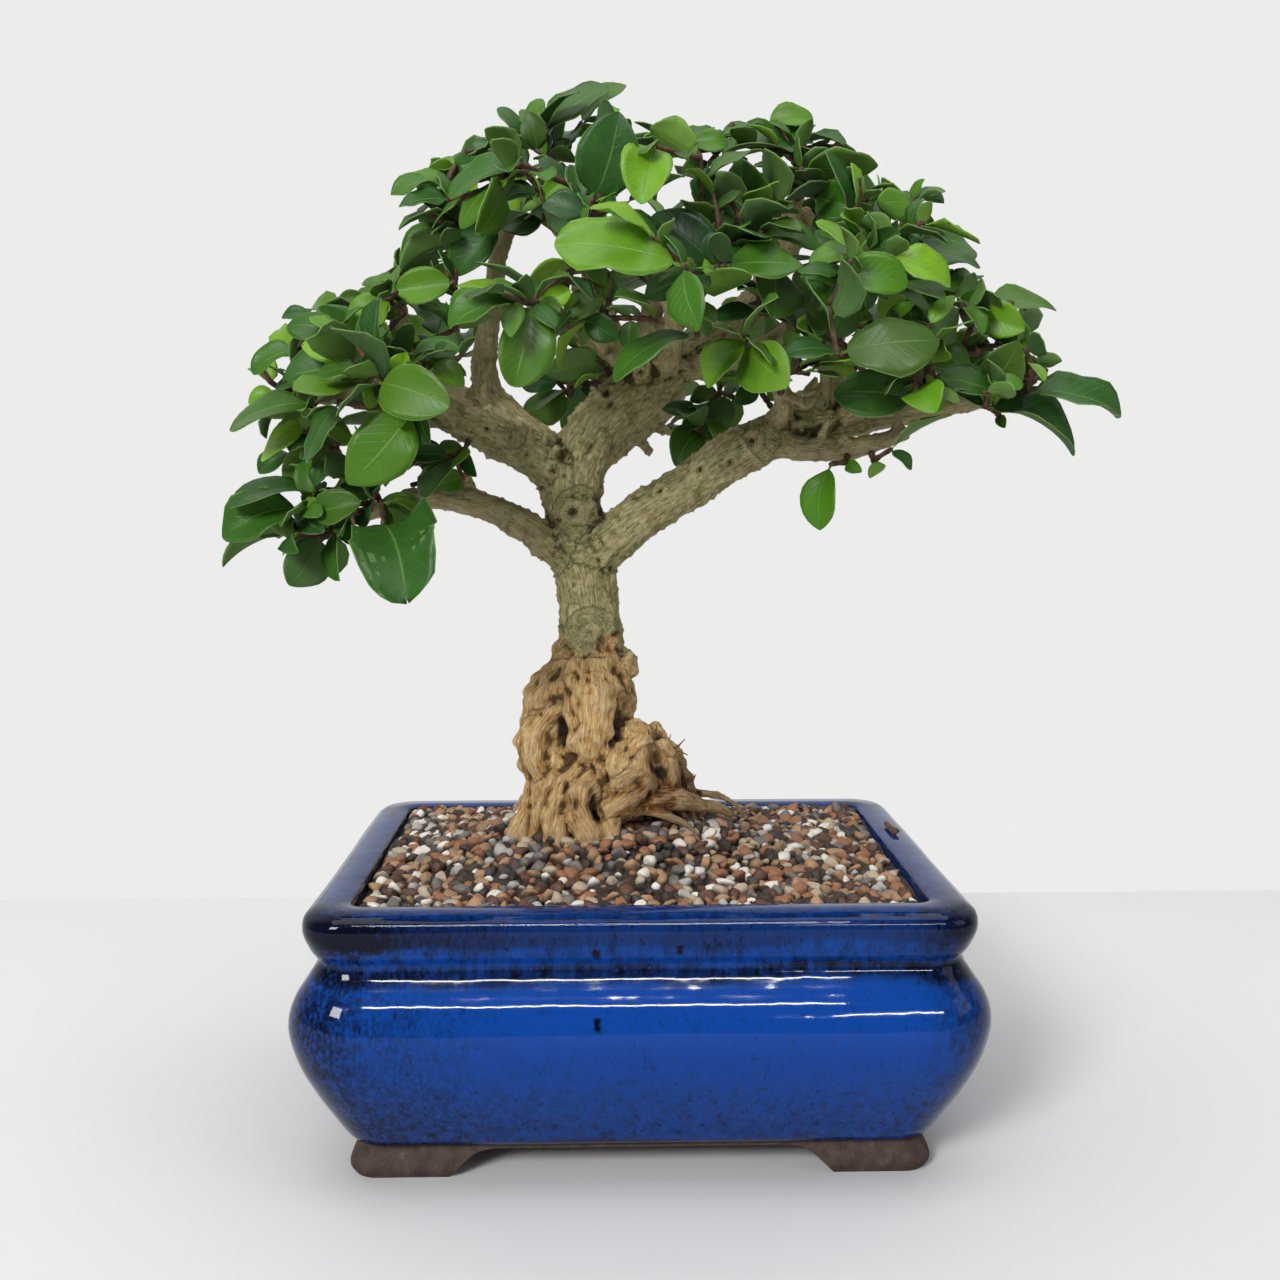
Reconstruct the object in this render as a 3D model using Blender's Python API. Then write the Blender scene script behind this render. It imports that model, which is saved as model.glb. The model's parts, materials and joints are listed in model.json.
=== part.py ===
"""Chinese privet bonsai, about 33 cm tall, in a blue glazed pot.

Model space: metres, Z up, the photograph looks along +Y. The origin lies on the floor under the middle of the
whole bonsai. Sizes are named in millimetres and turned into metres by mm().
"""

import math
import random

import bmesh
import bpy
from mathutils import Matrix, Vector
from mathutils.bvhtree import BVHTree

MM = 0.001

# Where the pot's centre lies, so that the middle of the whole bonsai is at the origin
POT_CENTRE = Vector((-10.5, -7.0, 0.0)) * MM

# Gap between two solids that rest on each other
GAP = 0.3 * MM

# Pot, in mm: how far its depth falls short of its width, on each side of the middle
POT_NARROWER = 24.0
POT_CORNER_STEPS = 5
FOOT_HEIGHT = 9.0
FLOOR_TOP = 16.0
# Outline of the pot's outside from the foot up to the crest of the rim: half width, corner radius, height
POT_OUTSIDE = (
    (84.2, 7.0, 0.0),
    (85.6, 8.0, 3.2),
    (83.2, 9.0, 9.0),
    (86.6, 12.0, 11.6),
    (91.0, 14.0, 19.2),
    (95.1, 16.0, 27.0),
    (98.7, 18.0, 35.4),
    (100.9, 19.5, 44.0),
    (100.7, 18.5, 50.0),
    (98.6, 16.0, 55.6),
    (95.4, 13.5, 60.4),
    (92.7, 12.0, 65.4),
    (94.4, 12.0, 69.6),
    (95.9, 12.0, 74.6),
    (95.4, 12.0, 78.8),
    (92.6, 11.0, 81.0),
)
# The same from the crest down the inside wall to the floor
POT_INSIDE = (
    (85.6, 6.5, 81.2),
    (83.2, 5.0, 79.4),
    (83.4, 6.0, 68.0),
    (91.0, 14.0, 52.0),
    (90.5, 14.0, 28.0),
    (81.0, 10.0, FLOOR_TOP),
)
POT_SHARP_EDGE = math.radians(40)
FOOT_RING_WIDTH = 13.0
FOOT_RING_RADIUS = 4.0
# The arch between two feet, from its flat crown down to the floor: distance before its end, height
FOOT_ARCH = ((14.0, 8.2), (9.0, 7.2), (4.0, 3.6), (0.0, -1.0))
FRONT_ARCH_HALF = 57.0
SIDE_ARCH_HALF = 36.0
DRAIN_HOLE_RADIUS = 9.0
DRAIN_HOLE_OFFSET = 40.0
DRAIN_HOLE_SIDES = 12

# Filling, in mm
DRAIN_MESH_SIDE = 28.0
DRAIN_MESH_BARS = 3
DRAIN_MESH_BAR = 2.8
DRAIN_MESH_THICKNESS = 1.4
SOIL_TOP = 68.0
SOIL_LEVELS = (28.0, 52.0, 67.0)
# The grit's height at the rim, its rise from front to back, and the mound in it: height, middle and reach
GRIT_EDGE = 78.2
GRIT_RISE = 1.6
GRIT_MOUND = 13.0
GRIT_MOUND_MIDDLE = (-8.0, 2.0)
GRIT_MOUND_REACH = (53.4, 41.0)
GRIT_RELIEF = 1.2
GRIT_JITTER = 0.3
GRIT_COLUMNS = 18
GRIT_ROWS = 12
GRIT_SEED = 3

# The wood, in mm: each limb is a route of x, y, z and radius, from what it grows from outwards.
# x and y are counted from the pot's centre.
ROOTS = {
    "core": (
        (-15, 6, 147, 10.4), (-16, 5, 139, 14.4), (-18, 4, 130.5, 16.8), (-19.5, 4, 122.5, 17.4),
        (-19, 5, 113, 16), (-16, 5, 103, 16.5), (-15.5, 5, 92, 17.5), (-15.5, 5, 77, 16.5),
        (-15.5, 5, 62, 13)
    ),
    "left lobe": (
        (-26.5, 0, 137, 7), (-29.5, -3, 129.5, 8), (-31, -4, 120.5, 7.6), (-31.5, -5, 112.5, 7),
        (-30, -7, 106.5, 5.6), (-33, -10, 99.5, 5), (-36, -12, 92, 4.6), (-37.5, -13, 84, 4)
    ),
    "tongue": (
        (-14.5, -3, 137, 9), (-14.5, -8, 128, 9), (-15, -10, 119.5, 8.6), (-15.5, -9, 114.5, 6.4)
    ),
    "front root one": (
        (-25, -9, 113, 5.4), (-28.5, -12, 105, 5), (-30.5, -14, 98.5, 4.5), (-31, -15, 91, 4),
        (-31, -15, 83, 3.4)
    ),
    "front root two": (
        (-18.5, -10, 110.5, 5.2), (-23, -14, 104.5, 5), (-25.5, -17, 98.5, 4.5), (-26.5, -19, 91.5, 4.1),
        (-27, -19, 83, 3.4)
    ),
    "front root three": (
        (-16, -12, 105, 6), (-19.5, -17, 101.5, 5.6), (-18.5, -19, 96, 4.6), (-15.5, -21, 90.5, 3.8),
        (-13.5, -22, 82.5, 3.2)
    ),
    "right mass": (
        (-2, -2, 122, 5.6), (-2, -6, 116.5, 8), (-5, -9, 110.5, 10), (-4, -10, 104.5, 10.6),
        (-9, -11, 100.5, 8)
    ),
    "right shoulder": (
        (4, -2, 115, 6), (6.5, -4, 108.5, 7.4), (6.5, -6, 102.5, 7), (3.5, -8, 99, 5.6)
    ),
    "right root": (
        (2, 4, 118.5, 6.4), (7.5, 4, 110.5, 6.8), (11.5, 4, 103.5, 6.6), (13.5, 4, 96, 6.4),
        (15, 3, 83, 5.2)
    ),
    "lying root": (
        (-12, -12, 100.5, 5.6), (-2.5, -14, 100, 5.6), (7, -12, 100, 5.1), (15, -10, 99.5, 4.6),
        (21, -8, 97, 4), (25, -7, 91.5, 3.4), (27, -7, 84, 2.8)
    ),
    "low root": (
        (-3.5, -14, 98.5, 2.6), (3, -16, 98, 2.3), (9.5, -17, 97, 2.3), (14.5, -18, 94, 2.3),
        (16.5, -18, 84.5, 2.1)
    ),
    "thin root": (
        (15, 4, 98, 3), (22, 5, 99, 2.3), (28, 6, 97.5, 2.2), (33.5, 6, 92, 2.3), (35, 6, 84, 2.2)
    ),
    "back root one": (
        (-24, 14, 116, 7), (-28, 20, 104, 6.4), (-30, 24, 92, 5.4), (-31, 26, 82, 4.2)
    ),
    "back root two": (
        (-12, 15, 116, 8), (-8, 22, 104, 7), (-5, 27, 92, 5.6), (-4, 30, 82, 4.4)
    ),
    "back root three": (
        (-2, 12, 112, 7), (5, 17, 101, 6), (10, 21, 90, 5), (12, 23, 81, 4)
    ),
}
TRUNK = (
    (-17, 6, 122, 12), (-16, 6, 133, 11.6), (-15, 6, 147, 10.6), (-16, 7, 163, 9.9), (-18, 8, 178, 10.4),
    (-21, 8, 193, 9.4), (-23, 8, 206, 9.6)
)
BRANCHES = {
    "leader": (
        (-21, 8, 198, 9.4), (-17, 8, 212, 9.2), (-11, 8, 221, 8.8), (0, 10, 231, 8.2), (10, 12, 238, 7.4),
        (21, 15, 244, 6.4), (33, 18, 254, 5.2), (43, 21, 266, 4.4), (51, 22, 279, 3.8), (57, 20, 290, 3)
    ),
    "leader low": (
        (12, 12, 238, 5), (28, 6, 240, 4), (40, 0, 244, 3.2), (48, -8, 249, 2.7)
    ),
    "leader fork": (
        (43, 21, 266, 4.2), (49, 14, 277, 3.6), (50, 9, 288, 3), (54, 7, 298, 2.4)
    ),
    "middle left": (
        (4, 9, 234, 4.8), (-8, 1, 243, 4), (-16, -7, 248, 3.4), (-26, -16, 252, 2.7)
    ),
    "middle up": (
        (-6, 3, 242, 4), (-11, 1, 256, 3.5), (-15, -4, 269, 3), (-14, -12, 280, 2.6), (-12, -20, 287, 2.2)
    ),
    "back left": (
        (-22, 10, 202, 6.6), (-31, 15, 213, 6), (-43, 20, 224, 5), (-50, 24, 234, 4.6), (-50, 25, 248, 3.9),
        (-47, 24, 263, 3.4), (-45, 22, 277, 3), (-38, 18, 289, 2.5)
    ),
    "left": (
        (-21, 8, 201, 9), (-30, 6, 208, 7.8), (-44, 2, 215, 6.5), (-56, -3, 220.5, 5.6), (-67, -7, 224, 5),
        (-80, -10, 226.5, 4.3), (-94, -12, 228, 3.4), (-103, -14, 227, 2.6)
    ),
    "left up": (
        (-62, -5, 222, 4.2), (-70, -6, 234, 3.6), (-74, -5, 246, 3.2), (-74, -6, 256, 2.6)
    ),
    "right": (
        (-17, 7, 177, 8.6), (-9, 5, 182, 8.2), (1, 3, 190, 7.4), (14, 0, 198, 7.2), (25, -3, 206, 7.4),
        (36, -5, 212.5, 7.6), (47, -7, 216.5, 6.4), (61, -9, 219, 5.3), (76, -11, 221.5, 4.4),
        (91, -12, 223.5, 3.7), (104, -14, 226, 3), (113, -15, 228.5, 2.4)
    ),
    "right low": (
        (42, -7, 214, 4.8), (53, -14, 211, 3.9), (65, -18, 211, 3.3), (75, -21, 213.5, 2.8),
        (82, -22, 216, 2.3)
    ),
    "right up": (
        (57, -9, 218, 4.2), (60, -8, 229, 3.4), (61, -8, 243, 3), (66, -9, 254, 2.7), (71, -10, 264, 2.3)
    ),
    "right end": (
        (88, -12, 223, 3.4), (96, -12, 233, 2.8), (99, -14, 243, 2.3)
    ),
    "right inner": (
        (40, -6, 214, 4.2), (45, -14, 224, 3.4), (42, -24, 230, 2.6)
    ),
    "right middle": (
        (62, -9, 219, 3.8), (69, -19, 225, 3.2), (70, -30, 230, 2.5)
    ),
    "left low": (
        (-19, 7, 177, 6.4), (-27, 6, 180, 5.8), (-35, 3, 186, 5), (-44, 0, 191.5, 4.6),
        (-53, -4, 194.5, 4.2), (-62, -8, 196, 3.7), (-70, -12, 195, 3.2), (-81, -17, 192, 2.7),
        (-90, -21, 189, 2.2)
    ),
    "front left": (
        (-57, -4, 221, 4.4), (-63, -17, 226, 3.6), (-68, -31, 229, 2.7)
    ),
    "front middle": (
        (9, 11, 237, 5), (10, -5, 242, 4), (10, -19, 247, 3.3), (10, -34, 251, 2.5)
    ),
    "front up": (
        (0, 10, 231, 5), (3, -4, 248, 3.8), (8, -14, 264, 3.2), (12, -24, 276, 2.4)
    ),
    "back": (
        (-20, 9, 200, 6), (-13, 21, 209, 5.2), (-1, 36, 218, 4.4), (10, 48, 226, 3.5), (17, 58, 234, 2.7)
    ),
    "back right": (
        (34, -3, 212, 5), (46, 13, 221, 4), (60, 27, 230, 3.3), (73, 38, 238, 2.5)
    ),
    "back far left": (
        (-43, 20, 225, 4.2), (-57, 34, 230, 3.4), (-71, 42, 236, 2.6)
    ),
    "back middle": (
        (21, 15, 244, 4.6), (21, 29, 254, 3.6), (16, 42, 262, 3), (10, 52, 268, 2.4)
    ),
}
# Stubs of pruned shoots and swellings: x, y, z and radius of the inner and the outer end
KNOTS = (
    ((-18, 2, 191, 6), (-18.6, -2.4, 191, 3)),
    ((-15, 0, 152, 6), (-14.6, -4, 151.5, 3.2)),
    ((-7, 5, 141, 6), (-0.6, 4, 143, 4.2)),
    ((-24, 4, 145, 4), (-27.5, 3, 145, 3)),
    ((3.5, 6, 113.5, 4.6), (10, 7, 114.5, 4.8)),
    ((20, -1, 203, 4), (17, -1, 208.5, 1.9)),
    ((24, -2, 206, 4), (28, -4, 200, 2.6)),
    ((38, -6, 214, 6), (40, -12, 214, 4.2)),
    ((-8, 6, 184, 5), (-12, 2, 181, 5)),
    ((66, -10, 220, 3.4), (65, -12, 225, 3.2)),
    ((-40, 3, 213, 4), (-41, -1, 217.5, 2.4)),
    ((-60, -5, 222, 4), (-61, -7, 226.5, 2.2)),
)
WOOD_VOXEL = 1.1 * MM
WOOD_TRIANGLES = 2100
TUBE_SIDES = 10
# How far the hole that the roots stand in is held off them
CLEARANCE = 0.55 * MM

# The photograph's view, to place the leaves seen in it: where the lens was in mm from the pot's centre, how it
# was turned down and to the right, and the distance that one unit of slope covers in pixels
EYE = Vector((-9.7, -419.7, 196.3))
EYE_DOWN = math.radians(6.28)
EYE_RIGHT = math.radians(1.45)
EYE_PIXELS = 1300.0
PHOTO_MIDDLE = 640.0

# The sprays seen in the photograph, each a row of leaves. A leaf is its base and its tip in photo pixels, the
# width it shows there (less than nothing where its underside is seen), how many mm its base lies in front of the
# pot's centre, and how young and bright it is (0 to 1). A spray grows from the nearest wood.
SEEN_SPRAYS = (
    (
        (303, 507, 223, 538, 46, 34, 0.3), (292, 532, 223, 567, -11, 28, 0.5),
        (325, 537, 289, 585, -46, 26, 0.3), (313, 513, 361, 503, 34, 40, 0.2),
        (320, 494, 230, 508, 12, 30, 0.3), (318, 484, 304, 505, 12, 20, 0.1)
    ),
    (
        (383, 524, 408, 604, 84, 44, 0.25), (378, 497, 431, 536, 42, 34, 0.2),
        (372, 500, 340, 486, 18, 28, 0.2)
    ),
    (
        (462, 478, 437, 487, 24, 8, 0.4), (450, 457, 407, 456, 22, 12, 0.25),
        (468, 441, 437, 453, -18, 4, 0.4)
    ),
    (
        (413, 410, 348, 484, 62, 54, 0.6), (341, 402, 306, 464, 22, 48, 0.15),
        (428, 362, 464, 386, 24, 42, 0.8)
    ),
    (
        (315, 404, 230, 430, 30, 32, 0.3), (308, 418, 261, 461, 22, 24, 0.85),
        (292, 452, 259, 473, 20, 12, 0.1), (338, 442, 286, 487, -44, 26, 0.45),
        (333, 457, 314, 486, 16, 34, 0.15)
    ),
    (
        (371, 369, 284, 378, 48, 46, 0.2), (344, 332, 287, 327, 30, 32, 0.35),
        (312, 316, 282, 318, 13, 22, 0.2), (299, 351, 253, 374, 20, 26, 0.45),
        (302, 378, 276, 391, 13, 26, 0.3), (276, 392, 249, 404, 13, 18, 0.8)
    ),
    (
        (377, 382, 450, 406, 54, 62, 0.5), (390, 380, 407, 353, 24, 54, 0.9),
        (375, 377, 369, 409, 22, 52, 0.85), (410, 358, 459, 352, 11, 38, 0.5)
    ),
    (
        (372, 350, 318, 308, 52, 22, 0.2), (385, 300, 349, 308, 22, 20, 0.9),
        (366, 297, 337, 305, 18, 8, 0.3), (400, 279, 362, 285, 10, 10, 0.3),
        (403, 313, 386, 319, 10, 18, 0.7)
    ),
    (
        (455, 282, 396, 290, 36, 24, 0.7), (455, 229, 401, 262, 28, 10, 0.25),
        (457, 241, 402, 270, -28, 18, 0.5), (497, 223, 456, 276, 38, 22, 0.15),
        (455, 330, 418, 305, 16, 8, 0.3)
    ),
    (
        (448, 181, 391, 195, 17, 16, 0.4), (455, 166, 427, 170, 20, 4, 0.8),
        (450, 200, 399, 207, 17, 24, 0.3), (457, 223, 422, 196, 18, 20, 0.15),
        (520, 164, 450, 199, 22, 34, 0.5), (492, 186, 461, 229, 20, 38, 0.35)
    ),
    (
        (517, 160, 444, 189, 36, 8, 0.2), (541, 193, 493, 198, 18, 2, 0.35),
        (545, 222, 500, 228, 22, -6, 0.1), (545, 207, 522, 212, 9, 8, 0.8)
    ),
    (
        (523, 140, 498, 108, 15, 2, 0.4), (538, 151, 529, 112, 26, 10, 0.2),
        (541, 133, 609, 89, 26, 6, 0.3), (580, 125, 626, 83, 18, -4, 0.4),
        (573, 172, 545, 195, 22, 12, 0.8), (551, 160, 571, 140, 18, 0, 0.2)
    ),
    (
        (593, 200, 619, 112, 62, 50, 0.2), (589, 216, 542, 207, 26, 48, 0.15),
        (604, 187, 640, 172, 16, 32, 0.7)
    ),
    (
        (684, 267, 554, 240, 52, 76, 0.95), (694, 273, 682, 257, -12, 64, 0.7),
        (690, 276, 645, 298, 32, 56, 0.3), (697, 333, 614, 381, 20, 56, 0.6)
    ),
    (
        (655, 146, 641, 204, 50, 54, 0.95), (700, 158, 650, 128, -32, 44, 0.6),
        (690, 131, 660, 122, 12, 20, 0.5), (720, 268, 652, 216, 46, 46, 0.15)
    ),
    (
        (730, 144, 690, 146, 22, 10, 0.55), (720, 133, 681, 136, 13, 0, 0.3),
        (708, 165, 680, 174, 24, 4, 0.45), (800, 153, 722, 155, 15, 14, 0.3)
    ),
    (
        (748, 237, 690, 181, -42, 34, 0.2), (748, 231, 740, 158, 52, 24, 0.15)
    ),
    (
        (788, 145, 728, 143, 27, -6, 0.4), (790, 150, 757, 142, 22, 4, 0.15),
        (766, 123, 813, 122, 20, -8, 0.75), (785, 131, 813, 143, 14, -6, 0.4)
    ),
    (
        (802, 170, 878, 166, -36, 22, 0.6), (815, 196, 862, 207, 38, 12, 0.4)
    ),
    (
        (724, 266, 803, 266, 34, 54, 0.5), (746, 241, 819, 248, 20, 38, 0.25),
        (770, 264, 772, 318, 46, 28, 0.1)
    ),
    (
        (838, 342, 781, 315, 26, 30, 0.25), (760, 290, 794, 323, 16, 42, 0.3),
        (760, 312, 712, 318, 18, 34, 0.2)
    ),
    (
        (839, 283, 801, 276, 24, 40, 0.45), (866, 256, 809, 263, 17, 46, 0.9),
        (868, 252, 899, 230, 32, 46, 0.4), (893, 236, 858, 221, -20, 28, 0.5),
        (845, 262, 808, 238, 24, 20, 0.2)
    ),
    (
        (912, 201, 877, 203, 30, 12, 0.7), (914, 202, 924, 179, 9, 8, 0.6), (918, 201, 945, 191, 9, 6, 0.5),
        (906, 226, 934, 221, -14, 0, 0.7), (908, 244, 976, 252, 30, 8, 0.5),
        (898, 256, 980, 268, 17, 14, 0.2), (886, 276, 954, 292, 20, 18, 0.15)
    ),
    (
        (887, 258, 950, 287, 32, 50, 0.85), (840, 275, 907, 285, 38, 56, 0.5)
    ),
    (
        (985, 302, 1056, 311, 20, 14, 0.5), (975, 318, 1025, 330, 36, 22, 0.75),
        (962, 308, 975, 290, 18, 14, 0.4), (962, 306, 936, 335, -32, 30, 0.2)
    ),
    (
        (838, 354, 939, 342, 56, 56, 0.2), (918, 377, 845, 362, -24, 46, 0.45),
        (915, 400, 834, 394, 48, 38, 0.12)
    ),
    (
        (921, 386, 935, 413, 42, 50, 0.85), (910, 355, 974, 374, 30, 28, 0.35),
        (995, 346, 941, 346, 34, 10, 0.8)
    ),
    (
        (998, 393, 938, 376, 28, 36, 0.15), (988, 388, 1019, 341, 42, 32, 0.2),
        (985, 392, 1023, 385, 17, 42, 0.45), (985, 407, 1073, 456, 24, 26, 0.3),
        (999, 415, 1005, 428, 11, 18, 0.5)
    ),
    (
        (1028, 392, 1121, 416, 25, 26, 0.2), (1033, 362, 1062, 361, -17, 12, 0.5),
        (1015, 341, 1040, 353, 16, 6, 0.6), (998, 343, 1010, 318, 28, 14, 0.45)
    ),
    (
        (832, 464, 820, 530, 36, 27, 0.45), (846, 462, 862, 472, 14, 24, 0.5)
    ),
    (
        (890, 450, 911, 470, 12, 30, 0.2), (905, 440, 917, 461, -30, 16, 0.6),
        (872, 456, 880, 472, -20, 22, 0.6)
    ),
    (
        (747, 338, 708, 388, 34, 58, 0.9), (743, 348, 788, 387, 54, 52, 0.85)
    ),
    (
        (530, 301, 449, 328, 30, 50, 0.5), (533, 303, 513, 387, 56, 60, 0.4),
        (537, 304, 570, 290, 22, 54, 0.95), (575, 262, 524, 295, -16, 38, 0.8)
    ),
    (
        (562, 319, 605, 298, 28, 28, 0.15), (582, 318, 619, 339, 28, 24, 0.15),
        (632, 318, 630, 354, 22, 26, 0.2)
    ),
    (
        (735, 398, 700, 439, -36, -24, 0.4), (700, 431, 675, 466, 34, -20, 0.15),
        (701, 416, 662, 410, 17, -24, 0.2), (720, 392, 690, 401, -18, -28, 0.3),
        (757, 386, 736, 404, 20, -14, 0.4)
    ),
    (
        (570, 396, 523, 412, -36, -24, 0.45), (560, 382, 522, 386, 22, -20, 0.15),
        (600, 362, 546, 374, -34, -14, 0.35), (604, 392, 580, 388, 20, -26, 0.2)
    ),
)
# The sprays that the photograph doesn't show: the tips of their twigs in mm, counted from the pot's centre,
# the usual leaf length in mm and how many of ten leaves are young
HIDDEN_SPRAYS = (
    (((22, 80, 246), (34, 72, 252)), 25, 2),
    (((-10, 60, 234), (20, 54, 214)), 24, 2),
    (((88, 50, 248), (84, 30, 254)), 25, 2),
    (((-88, 50, 244), (-72, 60, 246)), 25, 2),
    (((-58, 50, 250), (-84, 24, 250)), 24, 2),
    (((0, 68, 280), (24, 66, 284)), 25, 2),
    (((-12, 44, 284), (40, 48, 282)), 24, 2),
    (((-40, 44, 292), (-64, 34, 276)), 24, 2),
    (((60, 40, 270), (74, 30, 280)), 24, 2),
    (((86, 10, 240), (104, 14, 238)), 24, 2),
)
SHOWN_WIDTH = 0.64
SMALLEST_SHOWN = 0.3
NEAR_ENOUGH = 3.4
START_DEPTH = 1.0
FREE_OF_WOOD = 3.6
WOOD_ROOM = 0.9
SHORTEST_STEM = 3.0
TWIG_RADIUS = 1.25
TWIG_TIP_RADIUS = 0.85
STEM_SIDES = 4
SIDE_TWIG_SIDES = 3
TWIG_STEPS = 3
SHORT_TWIG = 9.0
CANOPY_CENTRE = Vector((4.0, 4.0, 200.0))
LEAF_PLACES = (0.6, 1.0)
LEAF_TRIES = 22
LEAF_SEED = 19
# How the tries to find a free way differ: the start's wander in mm, and the bow as a share of the length
START_WANDER = 0.8
BOW = 0.05
MORE_BOW = 0.012
# How far in mm a leaf's tip moves towards or away from the lens at each second try, and how far it turns
TIP_STEP = 2.2
TURN_STEP = 0.03
SEEN_ARCH = (0.5, 1.0)
# A leaf that the photograph doesn't show: its turn round the twig, its angle off it below and at the tip,
# how strongly it reaches outwards and hangs, how its upper face is turned, and its size
HIDDEN_TURN = 0.4
HIDDEN_LOOSE = (0.25, 0.12)
HIDDEN_SPREAD = ((38, 68), (12, 48))
HIDDEN_REACH = 0.35
HIDDEN_HANG = (-0.5, 0.1)
HIDDEN_FACE_UP = 0.6
HIDDEN_FACE_OUT = 0.7
HIDDEN_FACE_ANY = 0.4
HIDDEN_LENGTH = (0.8, 1.15)
HIDDEN_YOUNG_LENGTH = 0.8
HIDDEN_LAST_LENGTH = 0.7
HIDDEN_WIDTH = (0.6, 0.72)
HIDDEN_ARCH = (0.4, 1.0)
YOUNG_TONE = (0.7, 1.0)
OLD_TONE = (0.0, 0.5)
LEAF_THICKNESS = 0.65
LEAF_CLEARANCE = 0.4
LEAF_STATIONS = (0.34, 0.74)
SMALL_LEAF = 14.0
SMALL_STATIONS = (0.52,)
LOOSE_BASE = 0.12
TWIG_PAST_LEAF = 0.9

COLOURS = {
    "glazed pot": ((0.012, 0.035, 0.24, 1.0), 0.12),
    "bark": ((0.33, 0.29, 0.19, 1.0), 0.85),
    "leaf": ((0.045, 0.16, 0.025, 1.0), 0.42),
    "grit": ((0.42, 0.27, 0.17, 1.0), 0.9),
    "soil": ((0.05, 0.035, 0.025, 1.0), 0.95),
    "drain mesh": ((0.03, 0.03, 0.03, 1.0), 0.6),
}


def mm(*values):
    """A point given in millimetres, in metres."""
    return Vector(values) * MM


def placed(point):
    """A point in mm counted from the pot's centre, in the model's frame."""
    return mm(*point[:3]) + POT_CENTRE


def material(name):
    found = bpy.data.materials.get(name)
    if found:
        return found
    colour, roughness = COLOURS[name]
    made = bpy.data.materials.new(name)
    made.use_nodes = True
    shader = made.node_tree.nodes["Principled BSDF"]
    shader.inputs["Base Color"].default_value = colour
    shader.inputs["Roughness"].default_value = roughness
    return made


def add_object(name, mesh, finish=None, smooth=False):
    made = bpy.data.objects.new(name, mesh)
    bpy.context.scene.collection.objects.link(made)
    if finish:
        mesh.materials.append(material(finish))
    if smooth:
        mesh.shade_smooth()
    return made


def mesh_of(name, points, faces):
    mesh = bpy.data.meshes.new(name)
    mesh.from_pydata([tuple(p) for p in points], [], faces)
    mesh.validate()
    return mesh


def evaluated_copy(obj, name):
    """The object's mesh with its modifiers applied, as a new mesh."""
    graph = bpy.context.evaluated_depsgraph_get()
    mesh = bpy.data.meshes.new_from_object(obj.evaluated_get(graph))
    mesh.name = name
    return mesh


def remove(obj):
    mesh = obj.data
    bpy.data.objects.remove(obj)
    bpy.data.meshes.remove(mesh)


def boolean(obj, other, operation):
    """Joins or cuts obj with an object or a collection, applied, with what was used removed."""
    cut = obj.modifiers.new(operation.title(), "BOOLEAN")
    cut.operation = operation
    cut.solver = "MANIFOLD"
    if isinstance(other, bpy.types.Collection):
        cut.operand_type = "COLLECTION"
        cut.collection = other
    else:
        cut.object = other
    mesh = evaluated_copy(obj, obj.data.name)
    obj.modifiers.clear()
    obj.data = mesh
    if isinstance(other, bpy.types.Collection):
        for used in list(other.objects):
            remove(used)
        bpy.data.collections.remove(other)
    else:
        remove(other)


# Pot

def rounded_rectangle(half_width, radius, height):
    """Points of a rounded rectangle in mm, anticlockwise seen from above."""
    half_depth = half_width - POT_NARROWER
    points = []
    for quarter, (side_x, side_y) in enumerate(((1, -1), (1, 1), (-1, 1), (-1, -1))):
        centre_x = side_x * (half_width - radius)
        centre_y = side_y * (half_depth - radius)
        for step in range(POT_CORNER_STEPS + 1):
            angle = math.radians(-90 + 90 * (quarter + step / POT_CORNER_STEPS))
            points.append((centre_x + radius * math.cos(angle), centre_y + radius * math.sin(angle), height))
    return points


def lofted(name, rings):
    """A closed mesh through rings of equal length, its first and last ring filled."""
    size = len(rings[0])
    points = [placed(p) for ring in rings for p in ring]
    faces = []
    for level in range(len(rings) - 1):
        low, high = level * size, (level + 1) * size
        for i in range(size):
            j = (i + 1) % size
            faces.append((low + i, low + j, high + j, high + i))
    faces.append(tuple(reversed(range(size))))
    faces.append(tuple(range((len(rings) - 1) * size, len(rings) * size)))
    return mesh_of(name, points, faces)


def extruded(name, outline, axis, half_length):
    """A closed prism: outline in mm across the axis ("x" or "y") and up, running half_length either way."""
    points = []
    for along in (-half_length, half_length):
        for across, height in outline:
            points.append(placed((along, across, height) if axis == "x" else (across, along, height)))
    size = len(outline)
    faces = [tuple(range(size)), tuple(reversed(range(size, 2 * size)))]
    for i in range(size):
        j = (i + 1) % size
        faces.append((i, size + i, size + j, j))
    mesh = mesh_of(name, points, faces)
    outward(mesh)
    return mesh


def outward(mesh):
    """Turns every face of a closed mesh outwards."""
    bm = bmesh.new()
    bm.from_mesh(mesh)
    bmesh.ops.recalc_face_normals(bm, faces=bm.faces)
    bm.to_mesh(mesh)
    bm.free()


def arch_outline(half):
    right = [(half - back, height) for back, height in FOOT_ARCH]
    left = [(-across, height) for across, height in reversed(right)]
    return right[::-1] + left[::-1]


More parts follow.
